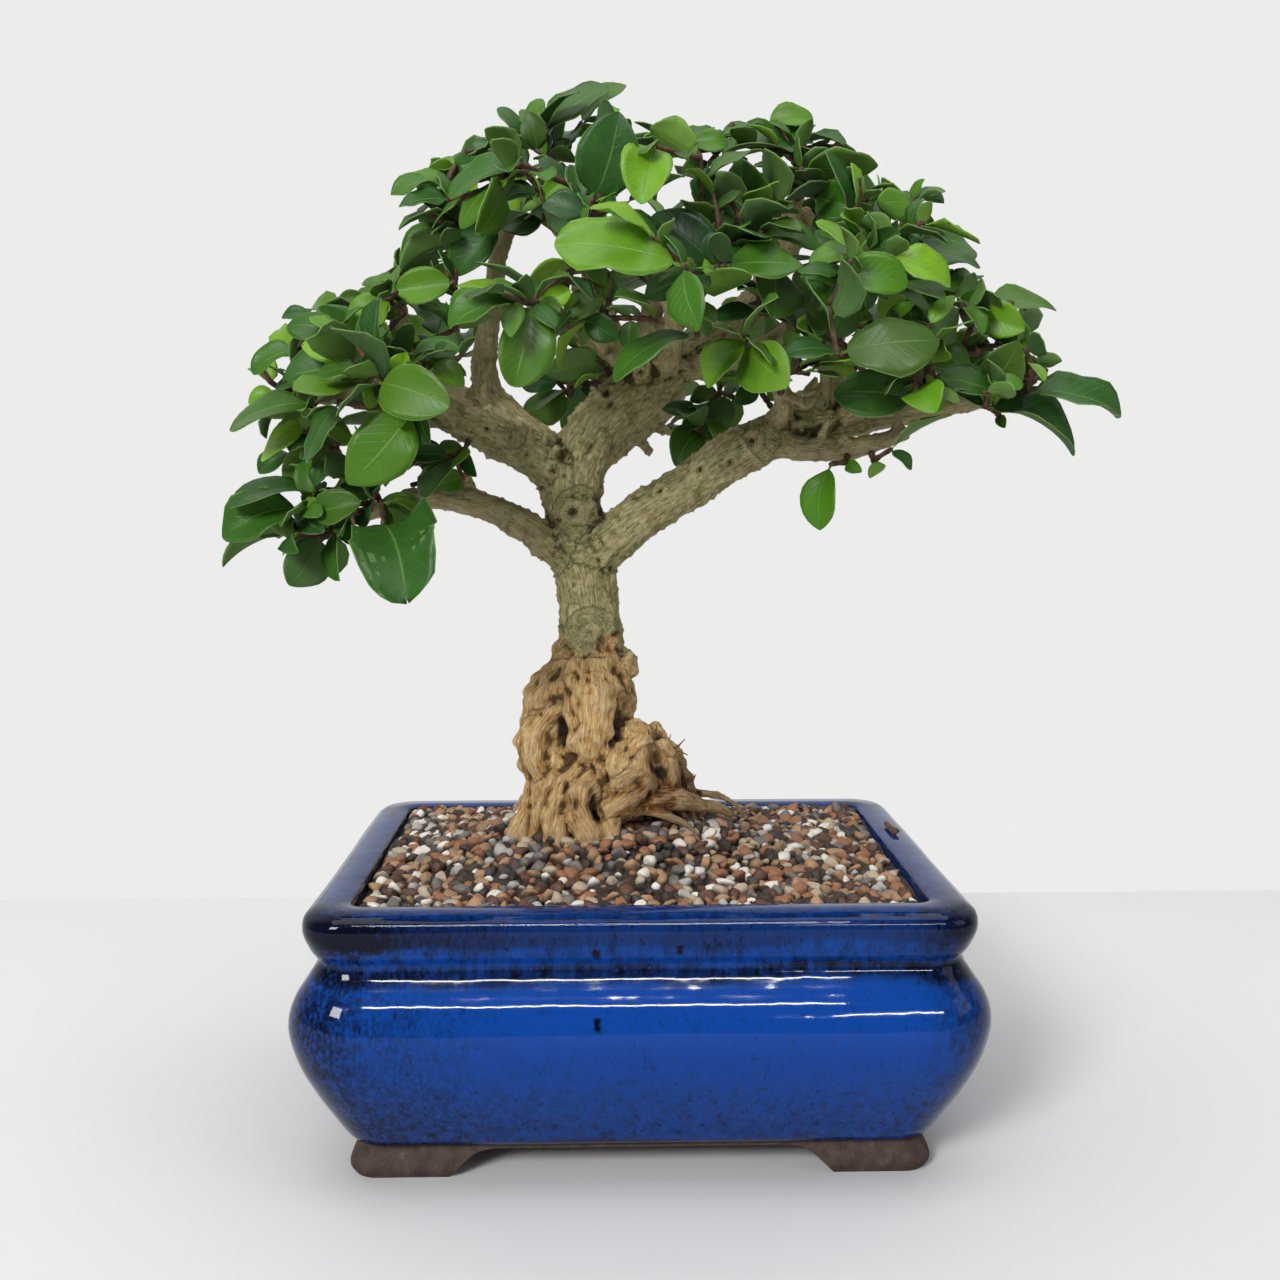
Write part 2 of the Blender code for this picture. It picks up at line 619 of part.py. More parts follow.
def build_pot():
    """The pot with its corner feet and two drain holes, fired as one piece."""
    ring = POT_OUTSIDE[0][0] - FOOT_RING_WIDTH
    underside = [rounded_rectangle(ring, FOOT_RING_RADIUS, height) for height in (FOOT_HEIGHT, 0.0)]
    walls = [rounded_rectangle(*station) for station in POT_OUTSIDE + POT_INSIDE]
    pot = add_object("pot", lofted("pot", underside + walls), "glazed pot", smooth=True)
    right_through = 2 * POT_OUTSIDE[1][0]
    for name, half, axis in (("front arch", FRONT_ARCH_HALF, "y"), ("side arch", SIDE_ARCH_HALF, "x")):
        arch = extruded(name, arch_outline(half), axis, right_through)
        boolean(pot, add_object(name, arch), "DIFFERENCE")
    for side in (-1, 1):
        drill = bmesh.new()
        middle = placed((side * DRAIN_HOLE_OFFSET, 0, FLOOR_TOP))
        radius = DRAIN_HOLE_RADIUS * MM
        bmesh.ops.create_cone(drill, cap_ends=True, segments=DRAIN_HOLE_SIDES, radius1=radius, radius2=radius,
                              depth=4 * FLOOR_TOP * MM, matrix=Matrix.Translation(middle))
        mesh = bpy.data.meshes.new("drill")
        drill.to_mesh(mesh)
        drill.free()
        boolean(pot, add_object("drill", mesh), "DIFFERENCE")
    pot.data.set_sharp_from_angle(angle=POT_SHARP_EDGE)
    return pot


# Filling

def drain_mesh(name, side):
    """The square of plastic mesh over a drain hole: crossed bars."""
    middle = placed((side * DRAIN_HOLE_OFFSET, 0, 0))
    low = FLOOR_TOP * MM + GAP
    half = DRAIN_MESH_SIDE / 2 * MM
    pitch = (DRAIN_MESH_SIDE - DRAIN_MESH_BAR) / (DRAIN_MESH_BARS - 1) * MM
    bar = DRAIN_MESH_BAR / 2 * MM
    # The bars' edges split the square into cells, and every cell that lies under a bar is filled
    cuts = sorted(-half + bar + i * pitch + edge for i in range(DRAIN_MESH_BARS) for edge in (-bar, bar))
    size = len(cuts)
    heights = (low, low + DRAIN_MESH_THICKNESS * MM)
    points = [middle + Vector((x, y, z)) for z in heights for y in cuts for x in cuts]

    def filled(i, j):
        inside = 0 <= i < size - 1 and 0 <= j < size - 1
        return inside and (i % 2 == 0 or j % 2 == 0)

    top = size * size
    faces = []
    for j in range(size - 1):
        for i in range(size - 1):
            if not filled(i, j):
                continue
            a, b, c, d = j * size + i, j * size + i + 1, (j + 1) * size + i + 1, (j + 1) * size + i
            faces += [(d, c, b, a), (top + a, top + b, top + c, top + d)]
            besides = ((i, j - 1), (i + 1, j), (i, j + 1), (i - 1, j))
            for beside, (p, q) in zip(besides, ((a, b), (b, c), (c, d), (d, a))):
                if not filled(*beside):
                    faces.append((p, q, top + q, top + p))
    mesh = mesh_of(name, points, faces)
    bm = bmesh.new()
    bm.from_mesh(mesh)
    bmesh.ops.delete(bm, geom=[v for v in bm.verts if not v.link_faces], context="VERTS")
    bmesh.ops.dissolve_limit(bm, angle_limit=math.radians(1), verts=bm.verts, edges=bm.edges)
    bm.to_mesh(mesh)
    bm.free()
    return add_object(name, mesh, "drain mesh")


def inside_at(height):
    """Half width and corner radius of the pot's inside at a height in mm, less the gap."""
    wall = POT_INSIDE
    for (a_high, r_high, high), (a_low, r_low, low) in zip(wall, wall[1:]):
        if low <= height <= high:
            share = (height - low) / (high - low)
            clear = GAP / MM * 2
            return a_low + share * (a_high - a_low) - clear, r_low + share * (r_high - r_low)
    raise ValueError(f"the pot has no inside at {height} mm")


def build_soil(wood):
    """The potting soil, from over the drain meshes to under the grit, with the roots' place left open."""
    bottom = FLOOR_TOP + DRAIN_MESH_THICKNESS + 2 * GAP / MM
    levels = [bottom, *SOIL_LEVELS, SOIL_TOP]
    rings = [rounded_rectangle(*inside_at(level), level) for level in levels]
    soil = add_object("soil", lofted("soil", rings), "soil")
    boolean(soil, clearance_of(wood), "DIFFERENCE")
    return soil


def grit_height(x, y, grain):
    """Height in mm of the gritty surface: a low mound round the roots, roughened grain by grain."""
    across = (x - GRIT_MOUND_MIDDLE[0]) / GRIT_MOUND_REACH[0]
    back = (y - GRIT_MOUND_MIDDLE[1]) / GRIT_MOUND_REACH[1]
    mound = math.exp(-(across ** 2 + back ** 2) ** 2)
    slope = GRIT_RISE * y / (POT_INSIDE[0][0] - POT_NARROWER)
    return GRIT_EDGE + slope + GRIT_MOUND * mound + grain.uniform(-GRIT_RELIEF, GRIT_RELIEF)


def build_grit(wood):
    """The top dressing: a slab that fills the pot's mouth, its top raised into grains."""
    grain = random.Random(GRIT_SEED)
    half_width, radius = inside_at(POT_INSIDE[2][2])
    half_depth = half_width - POT_NARROWER
    bottom = SOIL_TOP + GAP / MM

    def onto_plan(u, v):
        """A point of the unit square, drawn into the mouth's rounded rectangle."""
        x, y = u * half_width, v * half_depth
        over_x = abs(x) - (half_width - radius)
        over_y = abs(y) - (half_depth - radius)
        if over_x > 0 and over_y > 0:
            reach = math.hypot(over_x, over_y)
            keep = min(1.0, max(over_x, over_y) / reach)
            x = math.copysign(half_width - radius + over_x * keep, x)
            y = math.copysign(half_depth - radius + over_y * keep, y)
        return x, y

    columns, rows = GRIT_COLUMNS, GRIT_ROWS
    tops, lows = [], []
    for j in range(rows + 1):
        for i in range(columns + 1):
            edge = i in (0, columns) or j in (0, rows)
            loose = 0.0 if edge else GRIT_JITTER
            shift_u = grain.uniform(-loose, loose)
            shift_v = grain.uniform(-loose, loose)
            x, y = onto_plan(2 * (i + shift_u) / columns - 1, 2 * (j + shift_v) / rows - 1)
            tops.append(placed((x, y, grit_height(x, y, grain))))
            if edge:
                lows.append((i, j, placed((x, y, bottom))))
    stride = columns + 1
    faces = []
    for j in range(rows):
        for i in range(columns):
            a = j * stride + i
            faces.append((a, a + 1, a + stride + 1, a + stride))
    # The rim of the slab, walked anticlockwise, joins the top to a flat underside
    order = [(i, 0) for i in range(columns)] + [(columns, j) for j in range(rows)]
    order += [(i, rows) for i in range(columns, 0, -1)] + [(0, j) for j in range(rows, 0, -1)]
    low_index = {(i, j): len(tops) + k for k, (i, j, _) in enumerate(lows)}
    for (i, j), (m, n) in zip(order, order[1:] + order[:1]):
        faces.append((j * stride + i, low_index[i, j], low_index[m, n], n * stride + m))
    faces.append(tuple(low_index[key] for key in reversed(order)))
    mesh = mesh_of("grit", tops + [point for _, _, point in lows], faces)
    outward(mesh)
    grit = add_object("grit", mesh, "grit")
    boolean(grit, clearance_of(wood), "DIFFERENCE")
    return grit


# Wood

def spline(route, per_span):
    """A smooth curve through the route's points of x, y, z, radius (Catmull-Rom)."""
    points = [Vector(p) for p in route]
    points = [2 * points[0] - points[1]] + points + [2 * points[-1] - points[-2]]
    smooth = []
    for k in range(1, len(points) - 2):
        before, start, end, after = points[k - 1 : k + 3]
        for step in range(per_span):
            t = step / per_span
            smooth.append(0.5 * (2 * start + (end - before) * t
                                 + (2 * before - 5 * start + 4 * end - after) * t * t
                                 + (3 * start - before - 3 * end + after) * t ** 3))
    smooth.append(points[-2])
    return smooth


def ring_frames(centres):
    """A direction and two axes across it at each point of a path, without twist."""
    across = None
    for k, centre in enumerate(centres):
        ahead = centres[min(k + 1, len(centres) - 1)] - centres[max(k - 1, 0)]
        ahead.normalize()
        if across is None:
            across = ahead.orthogonal().normalized()
        across = (across - ahead * across.dot(ahead)).normalized()
        yield centre, ahead, across, ahead.cross(across)


def tube(centres, radii, sides):
    """Points and faces of a closed tube along a path, in the path's units."""
    points, faces = [], []
    for (centre, _, first, second), radius in zip(ring_frames(centres), radii):
        for side in range(sides):
            angle = 2 * math.pi * side / sides
            points.append(centre + radius * (math.cos(angle) * first + math.sin(angle) * second))
    for level in range(len(centres) - 1):
        for side in range(sides):
            a, b = level * sides + side, level * sides + (side + 1) % sides
            faces.append((a, b, b + sides, a + sides))
    last = (len(centres) - 1) * sides
    faces.append(tuple(reversed(range(sides))))
    faces.append(tuple(range(last, last + sides)))
    return points, faces


def limb(route, per_span=4, grow=0.0):
    """A route of x, y, z, radius as a tube, in mm from the pot's centre."""
    smooth = spline(route, per_span)
    return tube([p.to_3d() for p in smooth], [p[3] + grow for p in smooth], TUBE_SIDES)


def wood_routes():
    return [*ROOTS.values(), TRUNK, *BRANCHES.values(), *KNOTS]


def merged(tubes):
    points, faces = [], []
    for tube_points, tube_faces in tubes:
        start = len(points)
        points += tube_points
        faces += [tuple(start + i for i in face) for face in tube_faces]
    return points, faces


def grown_together(name, routes, triangles):
    """Overlapping limbs made one skin, softened, then thinned to a number of triangles."""
    points, faces = merged(limb(route) for route in routes)
    raw = add_object("raw " + name, mesh_of("raw " + name, in_model(points), faces))
    skin = raw.modifiers.new("Skin", "REMESH")
    skin.mode = "VOXEL"
    skin.voxel_size = WOOD_VOXEL
    soften = raw.modifiers.new("Soften", "SMOOTH")
    soften.factor = 0.5
    soften.iterations = 3
    full = evaluated_copy(raw, name)
    before = sum(len(polygon.vertices) - 2 for polygon in full.polygons)
    bpy.data.meshes.remove(full)
    thin = raw.modifiers.new("Thin", "DECIMATE")
    thin.ratio = triangles / before
    mesh = evaluated_copy(raw, name)
    remove(raw)
    return mesh


def build_wood():
    """Roots, trunk and branches, grown as one piece."""
    return add_object("wood", grown_together("wood", wood_routes(), WOOD_TRIANGLES), "bark", smooth=True)


def clearance_of(wood):
    """The wood swollen by the gap, to cut its place out of what it stands in."""
    grown = add_object("wood clearance", wood.data.copy())
    swell = grown.modifiers.new("Swell", "DISPLACE")
    swell.strength = CLEARANCE
    swell.mid_level = 0.0
    mesh = evaluated_copy(grown, "wood clearance")
    grown.modifiers.clear()
    grown.data = mesh
    return grown


# Leafy sprays, worked out in mm from the pot's centre

def seen(u, v, nearer):
    """The point that shows at a pixel of the photograph, a number of mm in front of the pot's centre."""
    right = (u - PHOTO_MIDDLE) / EYE_PIXELS
    rise = (PHOTO_MIDDLE - v) / EYE_PIXELS
    level = math.cos(EYE_DOWN) + rise * math.sin(EYE_DOWN)
    up = rise * math.cos(EYE_DOWN) - math.sin(EYE_DOWN)
    away = level * math.cos(EYE_RIGHT) - right * math.sin(EYE_RIGHT)
    aside = right * math.cos(EYE_RIGHT) + level * math.sin(EYE_RIGHT)
    return EYE + Vector((aside, away, up)) * ((-nearer - EYE.y) / away)


def width_share(s):
    """Half width of a leaf at a share s of its length, as a share of its greatest half width."""
    return math.sin(math.pi * s ** 0.9) ** 0.7 if 0.0 < s < 1.0 else 0.0


def leaf_between(base, tip, normal, width, arch):
    """A leaf whose tip falls on a given point, its blade arched between the two by an angle."""
    chord = tip - base
    straight = chord.normalized()
    normal = (normal - straight * normal.dot(straight)).normalized()
    half = arch / 2
    return {
        "base": base,
        "ahead": straight * math.cos(half) + normal * math.sin(half),
        "normal": normal * math.cos(half) - straight * math.sin(half),
        "length": chord.length * half / math.sin(half),
        "width": width,
        "arch": arch,
    }


def leaf_point(leaf, s, u, lift):
    """A point of a leaf: s from base to tip, u from one edge to the other, lift above its middle surface."""
    turn = leaf["arch"] * s
    along_it = math.sin(turn) / leaf["arch"]
    drop = (1 - math.cos(turn)) / leaf["arch"]
    up = leaf["normal"] * math.cos(turn) + leaf["ahead"] * math.sin(turn)
    side = leaf["ahead"].cross(leaf["normal"])
    half = leaf["width"] / 2 * width_share(s)
    middle = leaf["base"] + leaf["length"] * (leaf["ahead"] * along_it - leaf["normal"] * drop)
    return middle + side * (u * half) + up * lift


def leaf_mesh(leaf, thickness):
    """A thin closed blade of six corners, or four where it is small, triangled alike on both faces."""
    small = leaf["length"] < SMALL_LEAF
    points = []
    for lift in (thickness / 2, -thickness / 2):
        points.append(leaf_point(leaf, 0.0, 0.0, lift))
        for s in SMALL_STATIONS if small else LEAF_STATIONS:
            points += [leaf_point(leaf, s, u, lift) for u in (-1.0, 1.0)]
        points.append(leaf_point(leaf, 1.0, 0.0, lift))
    # The corners run from the base by turns along both edges to the tip; the lower face follows in that order
    if small:
        top, rim = [(0, 1, 2), (1, 3, 2)], (0, 1, 3, 2)
    else:
        top, rim = [(0, 1, 2), (1, 3, 4), (1, 4, 2), (3, 5, 4)], (0, 1, 3, 5, 4, 2)
    below = len(rim)
    faces = [face[::-1] for face in top] + [tuple(i + below for i in face) for face in top]
    for a, b in zip(rim, rim[1:] + rim[:1]):
        faces += [(a, b, b + below), (a, b + below, a + below)]
    return points, faces


def bounds_of(points):
    low = [min(p[k] for p in points) for k in range(3)]
    high = [max(p[k] for p in points) for k in range(3)]
    return low, high


def apart(one, other):
    return any(one[0][k] > other[1][k] or other[0][k] > one[1][k] for k in range(3))


class Thicket:
    """What is already placed, so that nothing new crosses it."""

    def __init__(self):
        self.things = []

    def add(self, owner, points, faces):
        self.things.append((owner, bounds_of(points), BVHTree.FromPolygons(points, faces)))

    def crossed(self, owner, points, faces, leave_out=None):
        """True if something of another owner, besides one left out, crosses these faces."""
        box = bounds_of(points)
        tree = None
        for other, other_box, other_tree in self.things:
            if other in (owner, leave_out) or apart(box, other_box):
                continue
            tree = tree or BVHTree.FromPolygons(points, faces)
            if tree.overlap(other_tree):
                return True
        return False


def bowed(start, end, bend, order):
    """A path from start to end, bowed by the vector bend in its middle; a short side twig is straight."""
    steps = TWIG_STEPS if order == 0 else 1 if (end - start).length < SHORT_TWIG else 2
    return [start.lerp(end, k / steps) + bend * (4 * k / steps * (1 - k / steps)) for k in range(steps + 1)]


def twig_radii(count, order):
    """Radii along a twig: the first of a spray is the thickest."""
    thick = TWIG_RADIUS if order == 0 else TWIG_RADIUS * 0.8
    return [thick + (TWIG_TIP_RADIUS - thick) * k / count for k in range(count + 1)]


def twig_mesh(path, order, room=0.0):
    """A twig's tube, fattened by room, that reaches a little past the leaves at its end."""
    sides = SIDE_TWIG_SIDES if order else STEM_SIDES
    return tube(lengthened(path), [r + room for r in twig_radii(len(path) - 1, order)], sides)


def lengthened(path):
    ahead = (path[-1] - path[-2]).normalized()
    return path[:-1] + [path[-1] + ahead * TWIG_PAST_LEAF]


def beyond(path, distance):
    """What is left of a path past a straight distance from its start."""
    for k in range(1, len(path)):
        near, far = (path[k - 1] - path[0]).length, (path[k] - path[0]).length
        if far > distance:
            return [path[k - 1].lerp(path[k], max(0.0, distance - near) / (far - near))] + path[k:]
    return []


def free_of_all(number, path, order, thicket):
    """True if a twig crosses nothing, but for the wood where it leaves that."""
    if thicket.crossed(number, *twig_mesh(path, order, LEAF_CLEARANCE), leave_out="wood"):
        return False
    clear = path if order else beyond(path, FREE_OF_WOOD)
    return not clear or not thicket.crossed(number, *twig_mesh(clear, order, LEAF_CLEARANCE))


def any_way(draw):
    return Vector((draw.uniform(-1, 1), draw.uniform(-1, 1), draw.uniform(-1, 1)))


def grow_stem(number, end, draw, thicket, wood):
    """The first twig of a spray, from the wood nearest to its end or from a little way off that."""
    for attempt in range(LEAF_TRIES):
        start = start_in_wood(end + any_way(draw) * attempt * START_WANDER, wood)
        sway = any_way(draw) * (end - start).length * (BOW + MORE_BOW * attempt)
        path = bowed(start, end, sway, 0)
        if free_of_all(number, path, 0, thicket):
            return path
    return None


def grow_side_twig(number, start, end, draw, thicket):
    """A twig bowed a little, and more if it would cross something."""
    for attempt in range(LEAF_TRIES):
        sway = any_way(draw) * (end - start).length * (BOW + MORE_BOW * attempt)
        path = bowed(start, end, sway, 1)
        if free_of_all(number, path, 1, thicket):
            return path
    return None


def nearest_on(paths, point):
    """The nearest point to a given one on a spray's twigs, past the part in the wood."""
    best, least = None, None
    for order, path in enumerate(paths):
        outer = path if order else path[1:]
        for a, b in zip(outer, outer[1:]):
            span = b - a
            t = min(1.0, max(0.0, (point - a).dot(span) / span.length_squared))
            spot = a + span * t
            gap = (spot - point).length
            if least is None or gap < least:
                best, least = spot, gap
    return best, least


def start_in_wood(point, wood):
    """Where a twig to a point starts, just under the nearest wood."""
    skin, normal, _, _ = wood.find_nearest(point)
    return skin - normal * START_DEPTH


def clear_of_wood(point, wood):
    """The point, moved out to where a short stem can reach it."""
    skin, normal, _, gap = wood.find_nearest(point)
    if normal.dot(point - skin) < 0 or gap < SHORTEST_STEM:
        return skin + normal * SHORTEST_STEM
    return point


def add_twig(number, path, paths, thicket):
    thicket.add(number, *twig_mesh(path, min(1, len(paths))))
    paths.append(path)


def seen_spray(number, rows, draw, thicket, wood):
    """The twigs of a spray seen in the photograph, and where each of its leaves starts."""
    bases = [(seen(row[0], row[1], row[5]), row) for row in rows]
    first = min((base for base, _ in bases), key=lambda base: wood.find_nearest(base)[3])
    bases.sort(key=lambda item: (item[0] - first).length)
    paths, places = [], []
    for base, row in bases:
        if not paths:
            base = clear_of_wood(base, wood)
            path = grow_stem(number, base, draw, thicket, wood)
        else:
            spot, gap = nearest_on(paths, base)
            if gap < NEAR_ENOUGH:
                places.append((spot, row))
                continue
            path = grow_side_twig(number, spot, base, draw, thicket)
        if path is None:
            print(f"spray {number + 1}: no free way for a twig to {row[:2]}")
            continue
        add_twig(number, path, paths, thicket)
        places.append((base, row))
    return paths, places


def seen_leaf(base, row, attempt, draw):
    """A leaf as it shows in the photograph, its hidden depth and turn found from how narrow it looks."""
    tip_u, tip_v, shown, nearer, tone = row[2:]
    scale = (-nearer - EYE.y) / EYE_PIXELS
    shown_length = math.hypot(tip_u - row[0], tip_v - row[1]) * scale
    shown_width = abs(shown) * scale
    length = max(shown_length, shown_width / SHOWN_WIDTH)
    ahead = math.sqrt(max(0.0, length ** 2 - shown_length ** 2))
    shift = (attempt + 1) // 2 * TIP_STEP * (-1) ** attempt
    tip = seen(tip_u, tip_v, nearer + ahead + shift)
    straight = (tip - base).normalized()
    toward = EYE - (base + tip) / 2
    toward = (toward - straight * toward.dot(straight)).normalized()
    side = straight.cross(toward)
    if side.z < 0:
        side = -side
    width = SHOWN_WIDTH * max(length, (tip - base).length)
    face = min(1.0, max(SMALLEST_SHOWN, shown_width / width))
    turn = math.acos(face) + draw.uniform(-TURN_STEP, TURN_STEP) * attempt
    front = toward * (1 if shown > 0 else -1)
    normal = front * math.cos(turn) + side * math.sin(turn)
    leaf = leaf_between(base, tip, normal, max(width, shown_width), draw.uniform(*SEEN_ARCH))
    leaf["tone"] = tone
    return leaf


def hidden_spray(number, spec, draw, thicket, wood):
    """The twigs of a spray that the photograph doesn't show, and where its leaves start."""
    tips, usual, young = spec
    paths, places = [], []
    for tip in tips:
        if paths:
            path = grow_side_twig(number, paths[0][1], Vector(tip), draw, thicket)
        else:
            path = grow_stem(number, Vector(tip), draw, thicket, wood)
        if path is None:
            print(f"spray {number + 1}: no free way for a twig to {tip}")
            continue
        shares = LEAF_PLACES[-1:] if paths else LEAF_PLACES
        add_twig(number, path, paths, thicket)
        for node, share in enumerate(shares):
            where = share * (len(path) - 1)
            low = min(int(where), len(path) - 2)
            base = path[low].lerp(path[low + 1], where - low)
            ahead = (path[low + 1] - path[low]).normalized()
            turn = draw.uniform(-HIDDEN_TURN, HIDDEN_TURN) + node * math.pi / 2
            for partner in (0.0, math.pi):
                places.append((base, (ahead, share, turn + partner, usual, young)))
    return paths, places


def hidden_leaf(base, row, attempt, draw):
    """A leaf at a point of a twig, opposite its partner, its upper face turned up and outwards."""
    twig_ahead, place, turn, usual, young = row
    outward_way = (base - CANOPY_CENTRE).normalized()
    first = twig_ahead.orthogonal().normalized()
    second = twig_ahead.cross(first)
    loose = HIDDEN_LOOSE[0] + HIDDEN_LOOSE[1] * attempt
    angle = turn + draw.uniform(-loose, loose)
    sideways = math.cos(angle) * first + math.sin(angle) * second
    spread = math.radians(draw.uniform(*HIDDEN_SPREAD[0 if place < 1 else 1]))
    ahead = twig_ahead * math.cos(spread) + sideways * math.sin(spread)
    ahead += outward_way * HIDDEN_REACH + Vector((0, 0, draw.uniform(*HIDDEN_HANG)))
    ahead.normalize()
    facing = Vector((0, 0, HIDDEN_FACE_UP)) + outward_way * HIDDEN_FACE_OUT
    facing += any_way(draw) * HIDDEN_FACE_ANY
    bright = draw.random() < young / 10
    length = usual * draw.uniform(*HIDDEN_LENGTH) * (HIDDEN_YOUNG_LENGTH if bright else 1.0)
    length *= 1.0 + (HIDDEN_LAST_LENGTH - 1.0) * attempt / LEAF_TRIES
    width = length * draw.uniform(*HIDDEN_WIDTH)
    leaf = leaf_between(base, base + ahead * length, facing, width, draw.uniform(*HIDDEN_ARCH))
    leaf["tone"] = draw.uniform(*(YOUNG_TONE if bright else OLD_TONE))
    return leaf


def off_base(points, faces):
    """A blade without the faces that meet at its base."""
    below = len(points) // 2
    return points, [face for face in faces if 0 not in face and below not in face]


def grow_leaf(number, base, row, maker, leaves, draw, thicket):
    """The first of a number of tries that crosses nothing, or none."""
    for attempt in range(LEAF_TRIES):
        leaf = maker(base + any_way(draw) * LOOSE_BASE, row, attempt, draw)
        fat = leaf_mesh(leaf, LEAF_THICKNESS + 2 * LEAF_CLEARANCE)
        if thicket.crossed(number, *fat):
            continue
        thin = BVHTree.FromPolygons(*off_base(*leaf_mesh(leaf, LEAF_THICKNESS)))
        if any(thin.overlap(other["tree"]) for other in leaves):
            continue
        leaf["tree"] = thin
        thicket.add(number, *leaf_mesh(leaf, LEAF_THICKNESS))
        return leaf
    return None


def grow_canopy():
    """Every spray: first all the twigs, then the leaves spray by spray."""
    draw = random.Random(LEAF_SEED)
    thicket = Thicket()
    for route in wood_routes():
        thicket.add("wood", *limb(route, grow=WOOD_ROOM))
    wood = BVHTree.FromPolygons(*merged(limb(route) for route in wood_routes()))
    sprays = []
    for rows in SEEN_SPRAYS:
        sprays.append((seen_spray(len(sprays), rows, draw, thicket, wood), seen_leaf))
    for spec in HIDDEN_SPRAYS:
        sprays.append((hidden_spray(len(sprays), spec, draw, thicket, wood), hidden_leaf))
    grown = []
    for number, ((paths, places), maker) in enumerate(sprays):
        leaves = []
        for base, row in places:
            leaf = grow_leaf(number, base, row, maker, leaves, draw, thicket)
            if leaf:
                leaves.append(leaf)
            elif maker is seen_leaf:
                print(f"spray {number + 1}: no room for the leaf at {row[:4]}")
        grown.append((paths, leaves))
    return grown


def in_model(points):
    """Points in mm from the pot's centre, put in the model's frame in metres."""
    return [placed(point) for point in points]


def seated_stem(path, wood_tree):
    """The first twig's tube, with its foot laid face to face on the wood's skin."""
    metres = in_model(lengthened(path))
    outside, skin, normal = 1, None, None
    for k in range(1, len(metres)):
        way = metres[k - 1] - metres[k]
        hit, facing, _, _ = wood_tree.ray_cast(metres[k], way, way.length)
        if hit is not None:
            outside, skin, normal = k, hit, facing
    if skin is None:
        skin, normal, _, _ = wood_tree.find_nearest(metres[0])
    foot = skin + normal * GAP
    centres = [foot] + [point for point in metres[outside:] if (point - foot).length > 1.5 * MM]
    radii = [r * MM for r in twig_radii(len(path) - 1, 0)]
    radii = [radii[0]] + radii[len(radii) - len(centres) + 1:]
    points, faces = tube(centres, radii, STEM_SIDES)
    for side in range(STEM_SIDES):
        spoke = points[side] - foot
        points[side] = foot + (spoke - normal * spoke.dot(normal)).normalized() * radii[0]
    return points, faces


def build_spray(number, paths, leaves, wood_tree):
    name = f"spray_{number + 1:02d}"
    stem = add_object(name, mesh_of(name, *seated_stem(paths[0], wood_tree)), "leaf")
    outward(stem.data)
    pieces = bpy.data.collections.new(name)
    bpy.context.scene.collection.children.link(pieces)
    shapes = [twig_mesh(path, 1) for path in paths[1:]] + [leaf_mesh(leaf, LEAF_THICKNESS) for leaf in leaves]
    for points, faces in shapes:
        piece = bpy.data.objects.new("piece", mesh_of("piece", in_model(points), faces))
        outward(piece.data)
        pieces.objects.link(piece)
    boolean(stem, pieces, "UNION")
    return stem


def clear_scene():
    for old in list(bpy.data.objects):
        bpy.data.objects.remove(old)


def main():
    clear_scene()
    build_pot()
    drain_mesh("drain_mesh_left", -1)
    drain_mesh("drain_mesh_right", 1)
    wood = build_wood()
    build_soil(wood)
    build_grit(wood)
    corners = [vertex.co for vertex in wood.data.vertices]
    wood_tree = BVHTree.FromPolygons(corners, [face.vertices for face in wood.data.polygons])
    total = 0
    for number, (paths, leaves) in enumerate(grow_canopy()):
        build_spray(number, paths, leaves, wood_tree)
        total += len(leaves)
    print(f"{len(SEEN_SPRAYS) + len(HIDDEN_SPRAYS)} sprays with {total} leaves")


main()
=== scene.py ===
# %% [markdown]
# # A Chinese privet bonsai in its blue pot
# The solids of the pot, the wood and forty-six leafy sprays come packed in one frame. This lesson dresses
# them: a glazed and slightly uneven pot, loose grit, gnarled roots and bark, and leaves with ribs and waved
# edges. Lengths are thought of in millimetres and counted from the pot's centre, then turned into metres.

import json
import math
import random

import bmesh
import bpy
import numpy as np
from mathutils import Matrix, Vector, kdtree, noise
from mathutils.bvhtree import BVHTree

